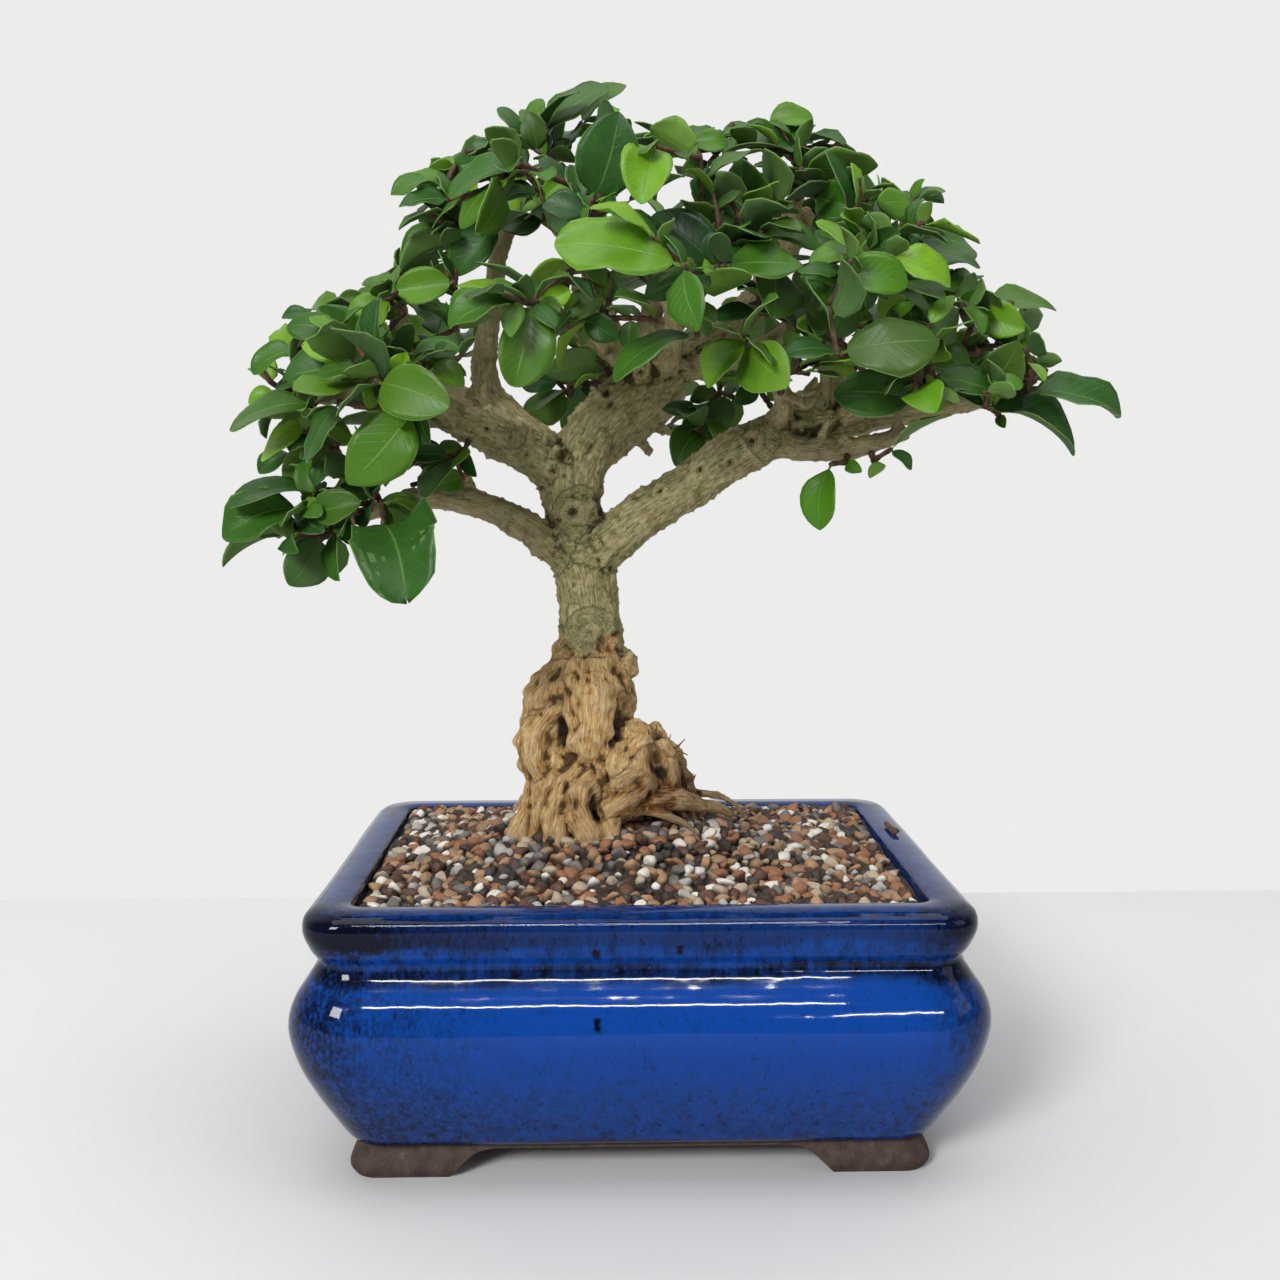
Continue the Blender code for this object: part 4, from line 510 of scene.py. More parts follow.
# %% Numbers of the leaves
# The sprays seen in the photograph, each a row of leaves. A leaf is its base and its tip in photo pixels,
# the width it shows there (less than nothing where its underside is seen), how many mm its base lies in
# front of the pot's centre, and how young and bright it is (0 to 1). A spray grows from the nearest wood.
SEEN_SPRAYS = (
    ((303, 507, 223, 538, 46, 34, 0.3), (292, 532, 223, 567, -11, 28, 0.5),
     (325, 537, 289, 585, -46, 26, 0.3), (313, 513, 361, 503, 34, 40, 0.2),
     (320, 494, 230, 508, 12, 30, 0.3), (318, 484, 304, 505, 12, 20, 0.1)),
    ((383, 524, 408, 604, 84, 44, 0.25), (378, 497, 431, 536, 42, 34, 0.2),
     (372, 500, 340, 486, 18, 28, 0.2)),
    ((462, 478, 437, 487, 24, 8, 0.4), (450, 457, 407, 456, 22, 12, 0.25),
     (468, 441, 437, 453, -18, 4, 0.4)),
    ((413, 410, 348, 484, 62, 54, 0.6), (341, 402, 306, 464, 22, 48, 0.15),
     (428, 362, 464, 386, 24, 42, 0.8)),
    ((315, 404, 230, 430, 30, 32, 0.3), (308, 418, 261, 461, 22, 24, 0.85),
     (292, 452, 259, 473, 20, 12, 0.1), (338, 442, 286, 487, -44, 26, 0.45),
     (333, 457, 314, 486, 16, 34, 0.15)),
    ((371, 369, 284, 378, 48, 46, 0.2), (344, 332, 287, 327, 30, 32, 0.35),
     (312, 316, 282, 318, 13, 22, 0.2), (299, 351, 253, 374, 20, 26, 0.45),
     (302, 378, 276, 391, 13, 26, 0.3), (276, 392, 249, 404, 13, 18, 0.8)),
    ((377, 382, 450, 406, 54, 62, 0.5), (390, 380, 407, 353, 24, 54, 0.9),
     (375, 377, 369, 409, 22, 52, 0.85), (410, 358, 459, 352, 11, 38, 0.5)),
    ((372, 350, 318, 308, 52, 22, 0.2), (385, 300, 349, 308, 22, 20, 0.9), (366, 297, 337, 305, 18, 8, 0.3),
     (400, 279, 362, 285, 10, 10, 0.3), (403, 313, 386, 319, 10, 18, 0.7)),
    ((455, 282, 396, 290, 36, 24, 0.7), (455, 229, 401, 262, 28, 10, 0.25),
     (457, 241, 402, 270, -28, 18, 0.5), (497, 223, 456, 276, 38, 22, 0.15),
     (455, 330, 418, 305, 16, 8, 0.3)),
    ((448, 181, 391, 195, 17, 16, 0.4), (455, 166, 427, 170, 20, 4, 0.8), (450, 200, 399, 207, 17, 24, 0.3),
     (457, 223, 422, 196, 18, 20, 0.15), (520, 164, 450, 199, 22, 34, 0.5),
     (492, 186, 461, 229, 20, 38, 0.35)),
    ((517, 160, 444, 189, 36, 8, 0.2), (541, 193, 493, 198, 18, 2, 0.35), (545, 222, 500, 228, 22, -6, 0.1),
     (545, 207, 522, 212, 9, 8, 0.8)),
    ((523, 140, 498, 108, 15, 2, 0.4), (538, 151, 529, 112, 26, 10, 0.2), (541, 133, 609, 89, 26, 6, 0.3),
     (580, 125, 626, 83, 18, -4, 0.4), (573, 172, 545, 195, 22, 12, 0.8), (551, 160, 571, 140, 18, 0, 0.2)),
    ((593, 200, 619, 112, 62, 50, 0.2), (589, 216, 542, 207, 26, 48, 0.15),
     (604, 187, 640, 172, 16, 32, 0.7)),
    ((684, 267, 554, 240, 52, 76, 0.95), (694, 273, 682, 257, -12, 64, 0.7),
     (690, 276, 645, 298, 32, 56, 0.3), (697, 333, 614, 381, 20, 56, 0.6)),
    ((655, 146, 641, 204, 50, 54, 0.95), (700, 158, 650, 128, -32, 44, 0.6),
     (690, 131, 660, 122, 12, 20, 0.5), (720, 268, 652, 216, 46, 46, 0.15)),
    ((730, 144, 690, 146, 22, 10, 0.55), (720, 133, 681, 136, 13, 0, 0.3), (708, 165, 680, 174, 24, 4, 0.45),
     (800, 153, 722, 155, 15, 14, 0.3)),
    ((748, 237, 690, 181, -42, 34, 0.2), (748, 231, 740, 158, 52, 24, 0.15)),
    ((788, 145, 728, 143, 27, -6, 0.4), (790, 150, 757, 142, 22, 4, 0.15),
     (766, 123, 813, 122, 20, -8, 0.75), (785, 131, 813, 143, 14, -6, 0.4)),
    ((802, 170, 878, 166, -36, 22, 0.6), (815, 196, 862, 207, 38, 12, 0.4)),
    ((724, 266, 803, 266, 34, 54, 0.5), (746, 241, 819, 248, 20, 38, 0.25),
     (770, 264, 772, 318, 46, 28, 0.1)),
    ((838, 342, 781, 315, 26, 30, 0.25), (760, 290, 794, 323, 16, 42, 0.3),
     (760, 312, 712, 318, 18, 34, 0.2)),
    ((839, 283, 801, 276, 24, 40, 0.45), (866, 256, 809, 263, 17, 46, 0.9),
     (868, 252, 899, 230, 32, 46, 0.4), (893, 236, 858, 221, -20, 28, 0.5),
     (845, 262, 808, 238, 24, 20, 0.2)),
    ((912, 201, 877, 203, 30, 12, 0.7), (914, 202, 924, 179, 9, 8, 0.6), (918, 201, 945, 191, 9, 6, 0.5),
     (906, 226, 934, 221, -14, 0, 0.7), (908, 244, 976, 252, 30, 8, 0.5), (898, 256, 980, 268, 17, 14, 0.2),
     (886, 276, 954, 292, 20, 18, 0.15)),
    ((887, 258, 950, 287, 32, 50, 0.85), (840, 275, 907, 285, 38, 56, 0.5)),
    ((985, 302, 1056, 311, 20, 14, 0.5), (975, 318, 1025, 330, 36, 22, 0.75),
     (962, 308, 975, 290, 18, 14, 0.4), (962, 306, 936, 335, -32, 30, 0.2)),
    ((838, 354, 939, 342, 56, 56, 0.2), (918, 377, 845, 362, -24, 46, 0.45),
     (915, 400, 834, 394, 48, 38, 0.12)),
    ((921, 386, 935, 413, 42, 50, 0.85), (910, 355, 974, 374, 30, 28, 0.35),
     (995, 346, 941, 346, 34, 10, 0.8)),
    ((998, 393, 938, 376, 28, 36, 0.15), (988, 388, 1019, 341, 42, 32, 0.2),
     (985, 392, 1023, 385, 17, 42, 0.45), (985, 407, 1073, 456, 24, 26, 0.3),
     (999, 415, 1005, 428, 11, 18, 0.5)),
    ((1028, 392, 1121, 416, 25, 26, 0.2), (1033, 362, 1062, 361, -17, 12, 0.5),
     (1015, 341, 1040, 353, 16, 6, 0.6), (998, 343, 1010, 318, 28, 14, 0.45)),
    ((832, 464, 820, 530, 36, 27, 0.45), (846, 462, 862, 472, 14, 24, 0.5)),
    ((890, 450, 911, 470, 12, 30, 0.2), (905, 440, 917, 461, -30, 16, 0.6),
     (872, 456, 880, 472, -20, 22, 0.6)),
    ((747, 338, 708, 388, 34, 58, 0.9), (743, 348, 788, 387, 54, 52, 0.85)),
    ((530, 301, 449, 328, 30, 50, 0.5), (533, 303, 513, 387, 56, 60, 0.4),
     (537, 304, 570, 290, 22, 54, 0.95), (575, 262, 524, 295, -16, 38, 0.8)),
    ((562, 319, 605, 298, 28, 28, 0.15), (582, 318, 619, 339, 28, 24, 0.15),
     (632, 318, 630, 354, 22, 26, 0.2)),
    ((735, 398, 700, 439, -36, -24, 0.4), (700, 431, 675, 466, 34, -20, 0.15),
     (701, 416, 662, 410, 17, -24, 0.2), (720, 392, 690, 401, -18, -28, 0.3),
     (757, 386, 736, 404, 20, -14, 0.4)),
    ((570, 396, 523, 412, -36, -24, 0.45), (560, 382, 522, 386, 22, -20, 0.15),
     (600, 362, 546, 374, -34, -14, 0.35), (604, 392, 580, 388, 20, -26, 0.2)),
)
# The sprays that the photograph doesn't show: the tips of their twigs in mm, counted from the pot's centre,
# the usual leaf length in mm and how many of ten leaves are young
HIDDEN_SPRAYS = (
    (((22, 80, 246), (34, 72, 252)), 25, 2),
    (((-10, 60, 234), (20, 54, 214)), 24, 2),
    (((88, 50, 248), (84, 30, 254)), 25, 2),
    (((-88, 50, 244), (-72, 60, 246)), 25, 2),
    (((-58, 50, 250), (-84, 24, 250)), 24, 2),
    (((0, 68, 280), (24, 66, 284)), 25, 2),
    (((-12, 44, 284), (40, 48, 282)), 24, 2),
    (((-40, 44, 292), (-64, 34, 276)), 24, 2),
    (((60, 40, 270), (74, 30, 280)), 24, 2),
    (((86, 10, 240), (104, 14, 238)), 24, 2),
)
SHOWN_WIDTH = 0.64
SMALLEST_SHOWN = 0.3
NEAR_ENOUGH = 3.4
START_DEPTH = 1.0
FREE_OF_WOOD = 3.6
WOOD_ROOM = 0.9
SHORTEST_STEM = 3.0
TWIG_RADIUS = 1.25
TWIG_TIP_RADIUS = 0.85
STEM_SIDES = 4
SIDE_TWIG_SIDES = 3
TWIG_STEPS = 3
SHORT_TWIG = 9.0
CANOPY_CENTRE = Vector((4.0, 4.0, 200.0))
LEAF_PLACES = (0.6, 1.0)
LEAF_TRIES = 22
LEAF_SEED = 19
# How the tries to find a free way differ: the start's wander in mm, and the bow as a share of the length
START_WANDER = 0.8
BOW = 0.05
MORE_BOW = 0.012
# How far in mm a leaf's tip moves towards or away from the lens at each second try, and how far it turns
TIP_STEP = 2.2
TURN_STEP = 0.03
SEEN_ARCH = (0.5, 1.0)
# A leaf that the photograph doesn't show: its turn round the twig, its angle off it below and at the tip,
# how strongly it reaches outwards and hangs, how its upper face is turned, and its size
HIDDEN_TURN = 0.4
HIDDEN_LOOSE = (0.25, 0.12)
HIDDEN_SPREAD = ((38, 68), (12, 48))
HIDDEN_REACH = 0.35
HIDDEN_HANG = (-0.5, 0.1)
HIDDEN_FACE_UP = 0.6
HIDDEN_FACE_OUT = 0.7
HIDDEN_FACE_ANY = 0.4
HIDDEN_LENGTH = (0.8, 1.15)
HIDDEN_YOUNG_LENGTH = 0.8
HIDDEN_LAST_LENGTH = 0.7
HIDDEN_WIDTH = (0.6, 0.72)
HIDDEN_ARCH = (0.4, 1.0)
YOUNG_TONE = (0.7, 1.0)
OLD_TONE = (0.0, 0.5)
LEAF_THICKNESS = 0.65
LEAF_CLEARANCE = 0.4
LEAF_STATIONS = (0.34, 0.74)
SMALL_LEAF = 14.0
SMALL_STATIONS = (0.52,)
LOOSE_BASE = 0.12
TWIG_PAST_LEAF = 0.9

# %% A leaf as a bent strip
def seen(u, v, nearer):
    """The point that shows at a pixel of the photograph, a number of mm in front of the pot's centre."""
    right = (u - PHOTO_MIDDLE) / EYE_PIXELS
    rise = (PHOTO_MIDDLE - v) / EYE_PIXELS
    level = math.cos(EYE_DOWN) + rise * math.sin(EYE_DOWN)
    up = rise * math.cos(EYE_DOWN) - math.sin(EYE_DOWN)
    away = level * math.cos(EYE_RIGHT) - right * math.sin(EYE_RIGHT)
    aside = right * math.cos(EYE_RIGHT) + level * math.sin(EYE_RIGHT)
    return EYE + Vector((aside, away, up)) * ((-nearer - EYE.y) / away)


def width_share(s):
    """Half width of a leaf at a share s of its length, as a share of its greatest half width."""
    return math.sin(math.pi * s ** 0.9) ** 0.7 if 0.0 < s < 1.0 else 0.0


def leaf_between(base, tip, normal, width, arch):
    """A leaf whose tip falls on a given point, its blade arched between the two by an angle."""
    chord = tip - base
    straight = chord.normalized()
    normal = (normal - straight * normal.dot(straight)).normalized()
    half = arch / 2
    return {
        "base": base,
        "ahead": straight * math.cos(half) + normal * math.sin(half),
        "normal": normal * math.cos(half) - straight * math.sin(half),
        "length": chord.length * half / math.sin(half),
        "width": width,
        "arch": arch,
    }


def leaf_point(leaf, s, u, lift):
    """A point of a leaf: s from base to tip, u from one edge to the other, lift above its middle surface."""
    turn = leaf["arch"] * s
    along_it = math.sin(turn) / leaf["arch"]
    drop = (1 - math.cos(turn)) / leaf["arch"]
    up = leaf["normal"] * math.cos(turn) + leaf["ahead"] * math.sin(turn)
    side = leaf["ahead"].cross(leaf["normal"])
    half = leaf["width"] / 2 * width_share(s)
    middle = leaf["base"] + leaf["length"] * (leaf["ahead"] * along_it - leaf["normal"] * drop)
    return middle + side * (u * half) + up * lift


def leaf_mesh(leaf, thickness):
    """A thin closed blade of six corners, or four where it is small, triangled alike on both faces."""
    small = leaf["length"] < SMALL_LEAF
    points = []
    for lift in (thickness / 2, -thickness / 2):
        points.append(leaf_point(leaf, 0.0, 0.0, lift))
        for s in SMALL_STATIONS if small else LEAF_STATIONS:
            points += [leaf_point(leaf, s, u, lift) for u in (-1.0, 1.0)]
        points.append(leaf_point(leaf, 1.0, 0.0, lift))
    # The corners run from the base by turns along both edges to the tip; the lower face follows in that order
    if small:
        top, rim = [(0, 1, 2), (1, 3, 2)], (0, 1, 3, 2)
    else:
        top, rim = [(0, 1, 2), (1, 3, 4), (1, 4, 2), (3, 5, 4)], (0, 1, 3, 5, 4, 2)
    below = len(rim)
    faces = [face[::-1] for face in top] + [tuple(i + below for i in face) for face in top]
    for a, b in zip(rim, rim[1:] + rim[:1]):
        faces += [(a, b, b + below), (a, b + below, a + below)]
    return points, faces


# %% Keeping things apart
def bounds_of(points):
    low = [min(p[k] for p in points) for k in range(3)]
    high = [max(p[k] for p in points) for k in range(3)]
    return low, high


def apart(one, other):
    return any(one[0][k] > other[1][k] or other[0][k] > one[1][k] for k in range(3))


class Thicket:
    """What is already placed, so that nothing new crosses it."""

    def __init__(self):
        self.things = []

    def add(self, owner, points, faces):
        self.things.append((owner, bounds_of(points), BVHTree.FromPolygons(points, faces)))

    def crossed(self, owner, points, faces, leave_out=None):
        """True if something of another owner, besides one left out, crosses these faces."""
        box = bounds_of(points)
        tree = None
        for other, other_box, other_tree in self.things:
            if other in (owner, leave_out) or apart(box, other_box):
                continue
            tree = tree or BVHTree.FromPolygons(points, faces)
            if tree.overlap(other_tree):
                return True
        return False


# %% Twigs
def bowed(start, end, bend, order):
    """A path from start to end, bowed by the vector bend in its middle; a short side twig is straight."""
    steps = TWIG_STEPS if order == 0 else 1 if (end - start).length < SHORT_TWIG else 2
    return [start.lerp(end, k / steps) + bend * (4 * k / steps * (1 - k / steps)) for k in range(steps + 1)]


def twig_radii(count, order):
    """Radii along a twig: the first of a spray is the thickest."""
    thick = TWIG_RADIUS if order == 0 else TWIG_RADIUS * 0.8
    return [thick + (TWIG_TIP_RADIUS - thick) * k / count for k in range(count + 1)]


def twig_mesh(path, order, room=0.0):
    """A twig's tube, fattened by room, that reaches a little past the leaves at its end."""
    sides = SIDE_TWIG_SIDES if order else STEM_SIDES
    return tube(lengthened(path), [r + room for r in twig_radii(len(path) - 1, order)], sides)


def lengthened(path):
    ahead = (path[-1] - path[-2]).normalized()
    return path[:-1] + [path[-1] + ahead * TWIG_PAST_LEAF]


def beyond(path, distance):
    """What is left of a path past a straight distance from its start."""
    for k in range(1, len(path)):
        near, far = (path[k - 1] - path[0]).length, (path[k] - path[0]).length
        if far > distance:
            return [path[k - 1].lerp(path[k], max(0.0, distance - near) / (far - near))] + path[k:]
    return []


def free_of_all(number, path, order, thicket):
    """True if a twig crosses nothing, but for the wood where it leaves that."""
    if thicket.crossed(number, *twig_mesh(path, order, LEAF_CLEARANCE), leave_out="wood"):
        return False
    clear = path if order else beyond(path, FREE_OF_WOOD)
    return not clear or not thicket.crossed(number, *twig_mesh(clear, order, LEAF_CLEARANCE))


def on_path(path, share):
    """The point at a share of a path's steps, and the way that it runs there."""
    where = share * (len(path) - 1)
    low = min(int(where), len(path) - 2)
    return path[low].lerp(path[low + 1], where - low), (path[low + 1] - path[low]).normalized()


def any_way(draw):
    return Vector((draw.uniform(-1, 1), draw.uniform(-1, 1), draw.uniform(-1, 1)))


def grow_stem(number, end, draw, thicket, wood):
    """The first twig of a spray, from the wood nearest to its end or from a little way off that."""
    for attempt in range(LEAF_TRIES):
        start = start_in_wood(end + any_way(draw) * attempt * START_WANDER, wood)
        sway = any_way(draw) * (end - start).length * (BOW + MORE_BOW * attempt)
        path = bowed(start, end, sway, 0)
        if free_of_all(number, path, 0, thicket):
            return path
    return None


def grow_side_twig(number, start, end, draw, thicket):
    """A twig bowed a little, and more if it would cross something."""
    for attempt in range(LEAF_TRIES):
        sway = any_way(draw) * (end - start).length * (BOW + MORE_BOW * attempt)
        path = bowed(start, end, sway, 1)
        if free_of_all(number, path, 1, thicket):
            return path
    return None


def nearest_on(paths, point):
    """The nearest point to a given one on a spray's twigs, past the part in the wood."""
    best, least = None, None
    for order, path in enumerate(paths):
        outer = path if order else path[1:]
        for a, b in zip(outer, outer[1:]):
            span = b - a
            t = min(1.0, max(0.0, (point - a).dot(span) / span.length_squared))
            spot = a + span * t
            gap = (spot - point).length
            if least is None or gap < least:
                best, least = spot, gap
    return best, least


def start_in_wood(point, wood):
    """Where a twig to a point starts, just under the nearest wood."""
    skin, normal, _, _ = wood.find_nearest(point)
    return skin - normal * START_DEPTH


def clear_of_wood(point, wood):
    """The point, moved out to where a short stem can reach it."""
    skin, normal, _, gap = wood.find_nearest(point)
    if normal.dot(point - skin) < 0 or gap < SHORTEST_STEM:
        return skin + normal * SHORTEST_STEM
    return point


def add_twig(number, path, paths, thicket):
    thicket.add(number, *twig_mesh(path, min(1, len(paths))))
    paths.append(path)


def seen_spray(number, rows, draw, thicket, wood):
    """The twigs of a spray seen in the photograph, and where each of its leaves starts."""
    bases = [(seen(row[0], row[1], row[5]), row) for row in rows]
    first = min((base for base, _ in bases), key=lambda base: wood.find_nearest(base)[3])
    bases.sort(key=lambda item: (item[0] - first).length)
    paths, places = [], []
    for base, row in bases:
        if not paths:
            base = clear_of_wood(base, wood)
            path = grow_stem(number, base, draw, thicket, wood)
        else:
            spot, gap = nearest_on(paths, base)
            if gap < NEAR_ENOUGH:
                places.append((spot, row))
                continue
            path = grow_side_twig(number, spot, base, draw, thicket)
        if path is None:
            print(f"spray {number + 1}: no free way for a twig to {row[:2]}")
            continue
        add_twig(number, path, paths, thicket)
        places.append((base, row))
    return paths, places


# %% Leaves
def seen_leaf(base, row, attempt, draw):
    """A leaf as it shows in the photograph, its hidden depth and turn found from how narrow it looks."""
    tip_u, tip_v, shown, nearer, tone = row[2:]
    scale = (-nearer - EYE.y) / EYE_PIXELS
    shown_length = math.hypot(tip_u - row[0], tip_v - row[1]) * scale
    shown_width = abs(shown) * scale
    length = max(shown_length, shown_width / SHOWN_WIDTH)
    ahead = math.sqrt(max(0.0, length ** 2 - shown_length ** 2))
    shift = (attempt + 1) // 2 * TIP_STEP * (-1) ** attempt
    tip = seen(tip_u, tip_v, nearer + ahead + shift)
    straight = (tip - base).normalized()
    toward = EYE - (base + tip) / 2
    toward = (toward - straight * toward.dot(straight)).normalized()
    side = straight.cross(toward)
    if side.z < 0:
        side = -side
    width = SHOWN_WIDTH * max(length, (tip - base).length)
    face = min(1.0, max(SMALLEST_SHOWN, shown_width / width))
    turn = math.acos(face) + draw.uniform(-TURN_STEP, TURN_STEP) * attempt
    front = toward * (1 if shown > 0 else -1)
    normal = front * math.cos(turn) + side * math.sin(turn)
    leaf = leaf_between(base, tip, normal, max(width, shown_width), draw.uniform(*SEEN_ARCH))
    leaf["tone"] = tone
    return leaf


def hidden_spray(number, spec, draw, thicket, wood):
    """The twigs of a spray that the photograph doesn't show, and where its leaves start."""
    tips, usual, young = spec
    paths, places = [], []
    for tip in tips:
        if paths:
            path = grow_side_twig(number, paths[0][1], Vector(tip), draw, thicket)
        else:
            path = grow_stem(number, Vector(tip), draw, thicket, wood)
        if path is None:
            print(f"spray {number + 1}: no free way for a twig to {tip}")
            continue
        shares = LEAF_PLACES[-1:] if paths else LEAF_PLACES
        add_twig(number, path, paths, thicket)
        for node, share in enumerate(shares):
            base, ahead = on_path(path, share)
            turn = draw.uniform(-HIDDEN_TURN, HIDDEN_TURN) + node * math.pi / 2
            for partner in (0.0, math.pi):
                places.append((base, (ahead, share, turn + partner, usual, young)))
    return paths, places


def hidden_leaf(base, row, attempt, draw):
    """A leaf at a point of a twig, opposite its partner, its upper face turned up and outwards."""
    twig_ahead, place, turn, usual, young = row
    outward_way = (base - CANOPY_CENTRE).normalized()
    first = twig_ahead.orthogonal().normalized()
    second = twig_ahead.cross(first)
    loose = HIDDEN_LOOSE[0] + HIDDEN_LOOSE[1] * attempt
    angle = turn + draw.uniform(-loose, loose)
    sideways = math.cos(angle) * first + math.sin(angle) * second
    spread = math.radians(draw.uniform(*HIDDEN_SPREAD[0 if place < 1 else 1]))
    ahead = twig_ahead * math.cos(spread) + sideways * math.sin(spread)
    ahead += outward_way * HIDDEN_REACH + Vector((0, 0, draw.uniform(*HIDDEN_HANG)))
    ahead.normalize()
    facing = Vector((0, 0, HIDDEN_FACE_UP)) + outward_way * HIDDEN_FACE_OUT
    facing += any_way(draw) * HIDDEN_FACE_ANY
    bright = draw.random() < young / 10
    length = usual * draw.uniform(*HIDDEN_LENGTH) * (HIDDEN_YOUNG_LENGTH if bright else 1.0)
    length *= 1.0 + (HIDDEN_LAST_LENGTH - 1.0) * attempt / LEAF_TRIES
    width = length * draw.uniform(*HIDDEN_WIDTH)
    leaf = leaf_between(base, base + ahead * length, facing, width, draw.uniform(*HIDDEN_ARCH))
    leaf["tone"] = draw.uniform(*(YOUNG_TONE if bright else OLD_TONE))
    return leaf


def off_base(points, faces):
    """A blade without the faces that meet at its base."""
    below = len(points) // 2
    return points, [face for face in faces if 0 not in face and below not in face]


def grow_leaf(number, base, row, maker, leaves, draw, thicket):
    """The first of a number of tries that crosses nothing, or none."""
    for attempt in range(LEAF_TRIES):
        leaf = maker(base + any_way(draw) * LOOSE_BASE, row, attempt, draw)
        fat = leaf_mesh(leaf, LEAF_THICKNESS + 2 * LEAF_CLEARANCE)
        if thicket.crossed(number, *fat):
            continue
        thin = BVHTree.FromPolygons(*off_base(*leaf_mesh(leaf, LEAF_THICKNESS)))
        if any(thin.overlap(other["tree"]) for other in leaves):
            continue
        leaf["tree"] = thin
        thicket.add(number, *leaf_mesh(leaf, LEAF_THICKNESS))
        return leaf
    return None


# %% Growing the canopy
def grow_canopy():
    """Every spray: first all the twigs, then the leaves spray by spray."""
    draw = random.Random(LEAF_SEED)
    thicket = Thicket()
    for route in wood_routes():
        thicket.add("wood", *limb(route, grow=WOOD_ROOM))
    wood = BVHTree.FromPolygons(*merged(limb(route) for route in wood_routes()))
    sprays = []
    for rows in SEEN_SPRAYS:
        sprays.append((seen_spray(len(sprays), rows, draw, thicket, wood), seen_leaf))
    for spec in HIDDEN_SPRAYS:
        sprays.append((hidden_spray(len(sprays), spec, draw, thicket, wood), hidden_leaf))
    grown = []
    for number, ((paths, places), maker) in enumerate(sprays):
        leaves = []
        for base, row in places:
            leaf = grow_leaf(number, base, row, maker, leaves, draw, thicket)
            if leaf:
                leaves.append(leaf)
            elif maker is seen_leaf:
                print(f"spray {number + 1}: no room for the leaf at {row[:4]}")
        grown.append((paths, leaves))
    return grown, thicket


canopy, thicket = grow_canopy()
print(len(canopy), "sprays with", sum(len(leaves) for _, leaves in canopy), "leaves")

# %% [markdown]
# ## Small leaves between
# Between the large leaves a trimmed privet is full of small ones, mostly dark and half hidden. They sit on
# the same shoots and on short extra ones, and fill the crown from within. In its plain form none may cross
# what is already there, leave the outline of the leafy masses, or hide a leaf that the photograph shows.

# %% Small leaves between
# The leafy masses and the gaps in them, as corners in pixels of the photograph
MASSES = (
    ((232, 425), (250, 352), (285, 318), (345, 290), (392, 272), (398, 205), (392, 182), (432, 160),
     (462, 148), (498, 110), (545, 98), (620, 84), (640, 118), (705, 122), (765, 122), (812, 118),
     (878, 160), (900, 192), (942, 192), (980, 235), (985, 285), (1040, 300), (1045, 350), (1060, 380),
     (1000, 400), (960, 415), (900, 440), (860, 405), (800, 398), (745, 400), (700, 385), (640, 400),
     (600, 385), (560, 420), (520, 430), (480, 410), (430, 420), (400, 440), (340, 400), (300, 400)),
    ((225, 500), (232, 430), (300, 400), (400, 440), (440, 440), (500, 470), (440, 490), (435, 540),
     (420, 600), (350, 600), (285, 585), (228, 565)),
    ((665, 400), (745, 395), (740, 440), (700, 470), (665, 465)),
)
GAPS = (((505, 225), (550, 225), (552, 270), (525, 285), (500, 262)),)
SMALL_SEED = 31
SMALL_PLACES = (0.3, 0.65, 1.0)
OUTER_PLACES = ((0.5, -1), (0.5, 1), (1, 0))
SMALL_TRIES = 9
SMALL_LENGTHS = (9.0, 23.0)
# Of a small leaf: its angle off the twig in degrees, how it reaches outwards and hangs, how its face is
# turned up, outwards and at random, its width as a share of its length, its arch, and how many are young
# and bright
SMALL_SPREAD = (25, 80)
SMALL_REACH = 0.25
SMALL_HANG = (-0.4, 0.4)
SMALL_FACE = (0.7, 0.5, 0.6)
SMALL_WIDTH = (0.46, 0.7)
SMALL_ARCH = (0.3, 1.1)
SMALL_YOUNG = 0.2
SMALL_YOUNG_TONE = (0.6, 0.95)
# Extra shoots for each spray: their number, tries, length in mm, how they turn outwards and up, and their bow
EXTRA_TWIGS = 3
EXTRA_TRIES = 6
EXTRA_REACH = (8.0, 20.0)
EXTRA_OUT = 0.5
EXTRA_UP = 0.3
EXTRA_BOW = 1.2
EXTRA_ROOM = 0.3
# A shown leaf is tested for being hidden if its line of sight passes the end of a shoot within so many mm, or
# the middle of a small leaf within a share of that leaf's length
HIDING_REACH = 25.0
HIDING_SHARE = 0.6
# How far in metres the crown keeps within the box of the solids
BOX_MARGIN = 0.001

eye_turn = camera.rotation_euler.to_matrix()


def on_picture(point):
    """Where a point in mm falls in the photograph, in pixels."""
    near = eye_turn.transposed() @ (point - EYE)
    return PHOTO_MIDDLE - EYE_PIXELS * near.x / near.z, PHOTO_MIDDLE + EYE_PIXELS * near.y / near.z


def encloses(outline, u, v):
    """True if the corner list goes round a point."""
    inside = False
    for (u0, v0), (u1, v1) in zip(outline, outline[1:] + outline[:1]):
        if (v0 > v) != (v1 > v) and u < u0 + (v - v0) * (u1 - u0) / (v1 - v0):
            inside = not inside
    return inside


def in_box(point):
    """True if a point lies well within the box of the solids."""
    spot = placed(point)
    return all(cad_box[0][k] + BOX_MARGIN < spot[k] < cad_box[1][k] - BOX_MARGIN for k in range(3))


def in_crown(points):
    for point in points:
        u, v = on_picture(point)
        if not in_box(point):
            return False
        if not any(encloses(mass, u, v) for mass in MASSES) or any(encloses(gap, u, v) for gap in GAPS):
            return False
    return True


shown_points = [leaf_point(leaf, s, 0.0, 0.0) for _, leaves in canopy[:len(SEEN_SPRAYS)] for leaf in leaves
                for s in (0.25, 0.55, 0.85)]
shown_ways = np.array([(p - EYE).normalized() for p in shown_points])


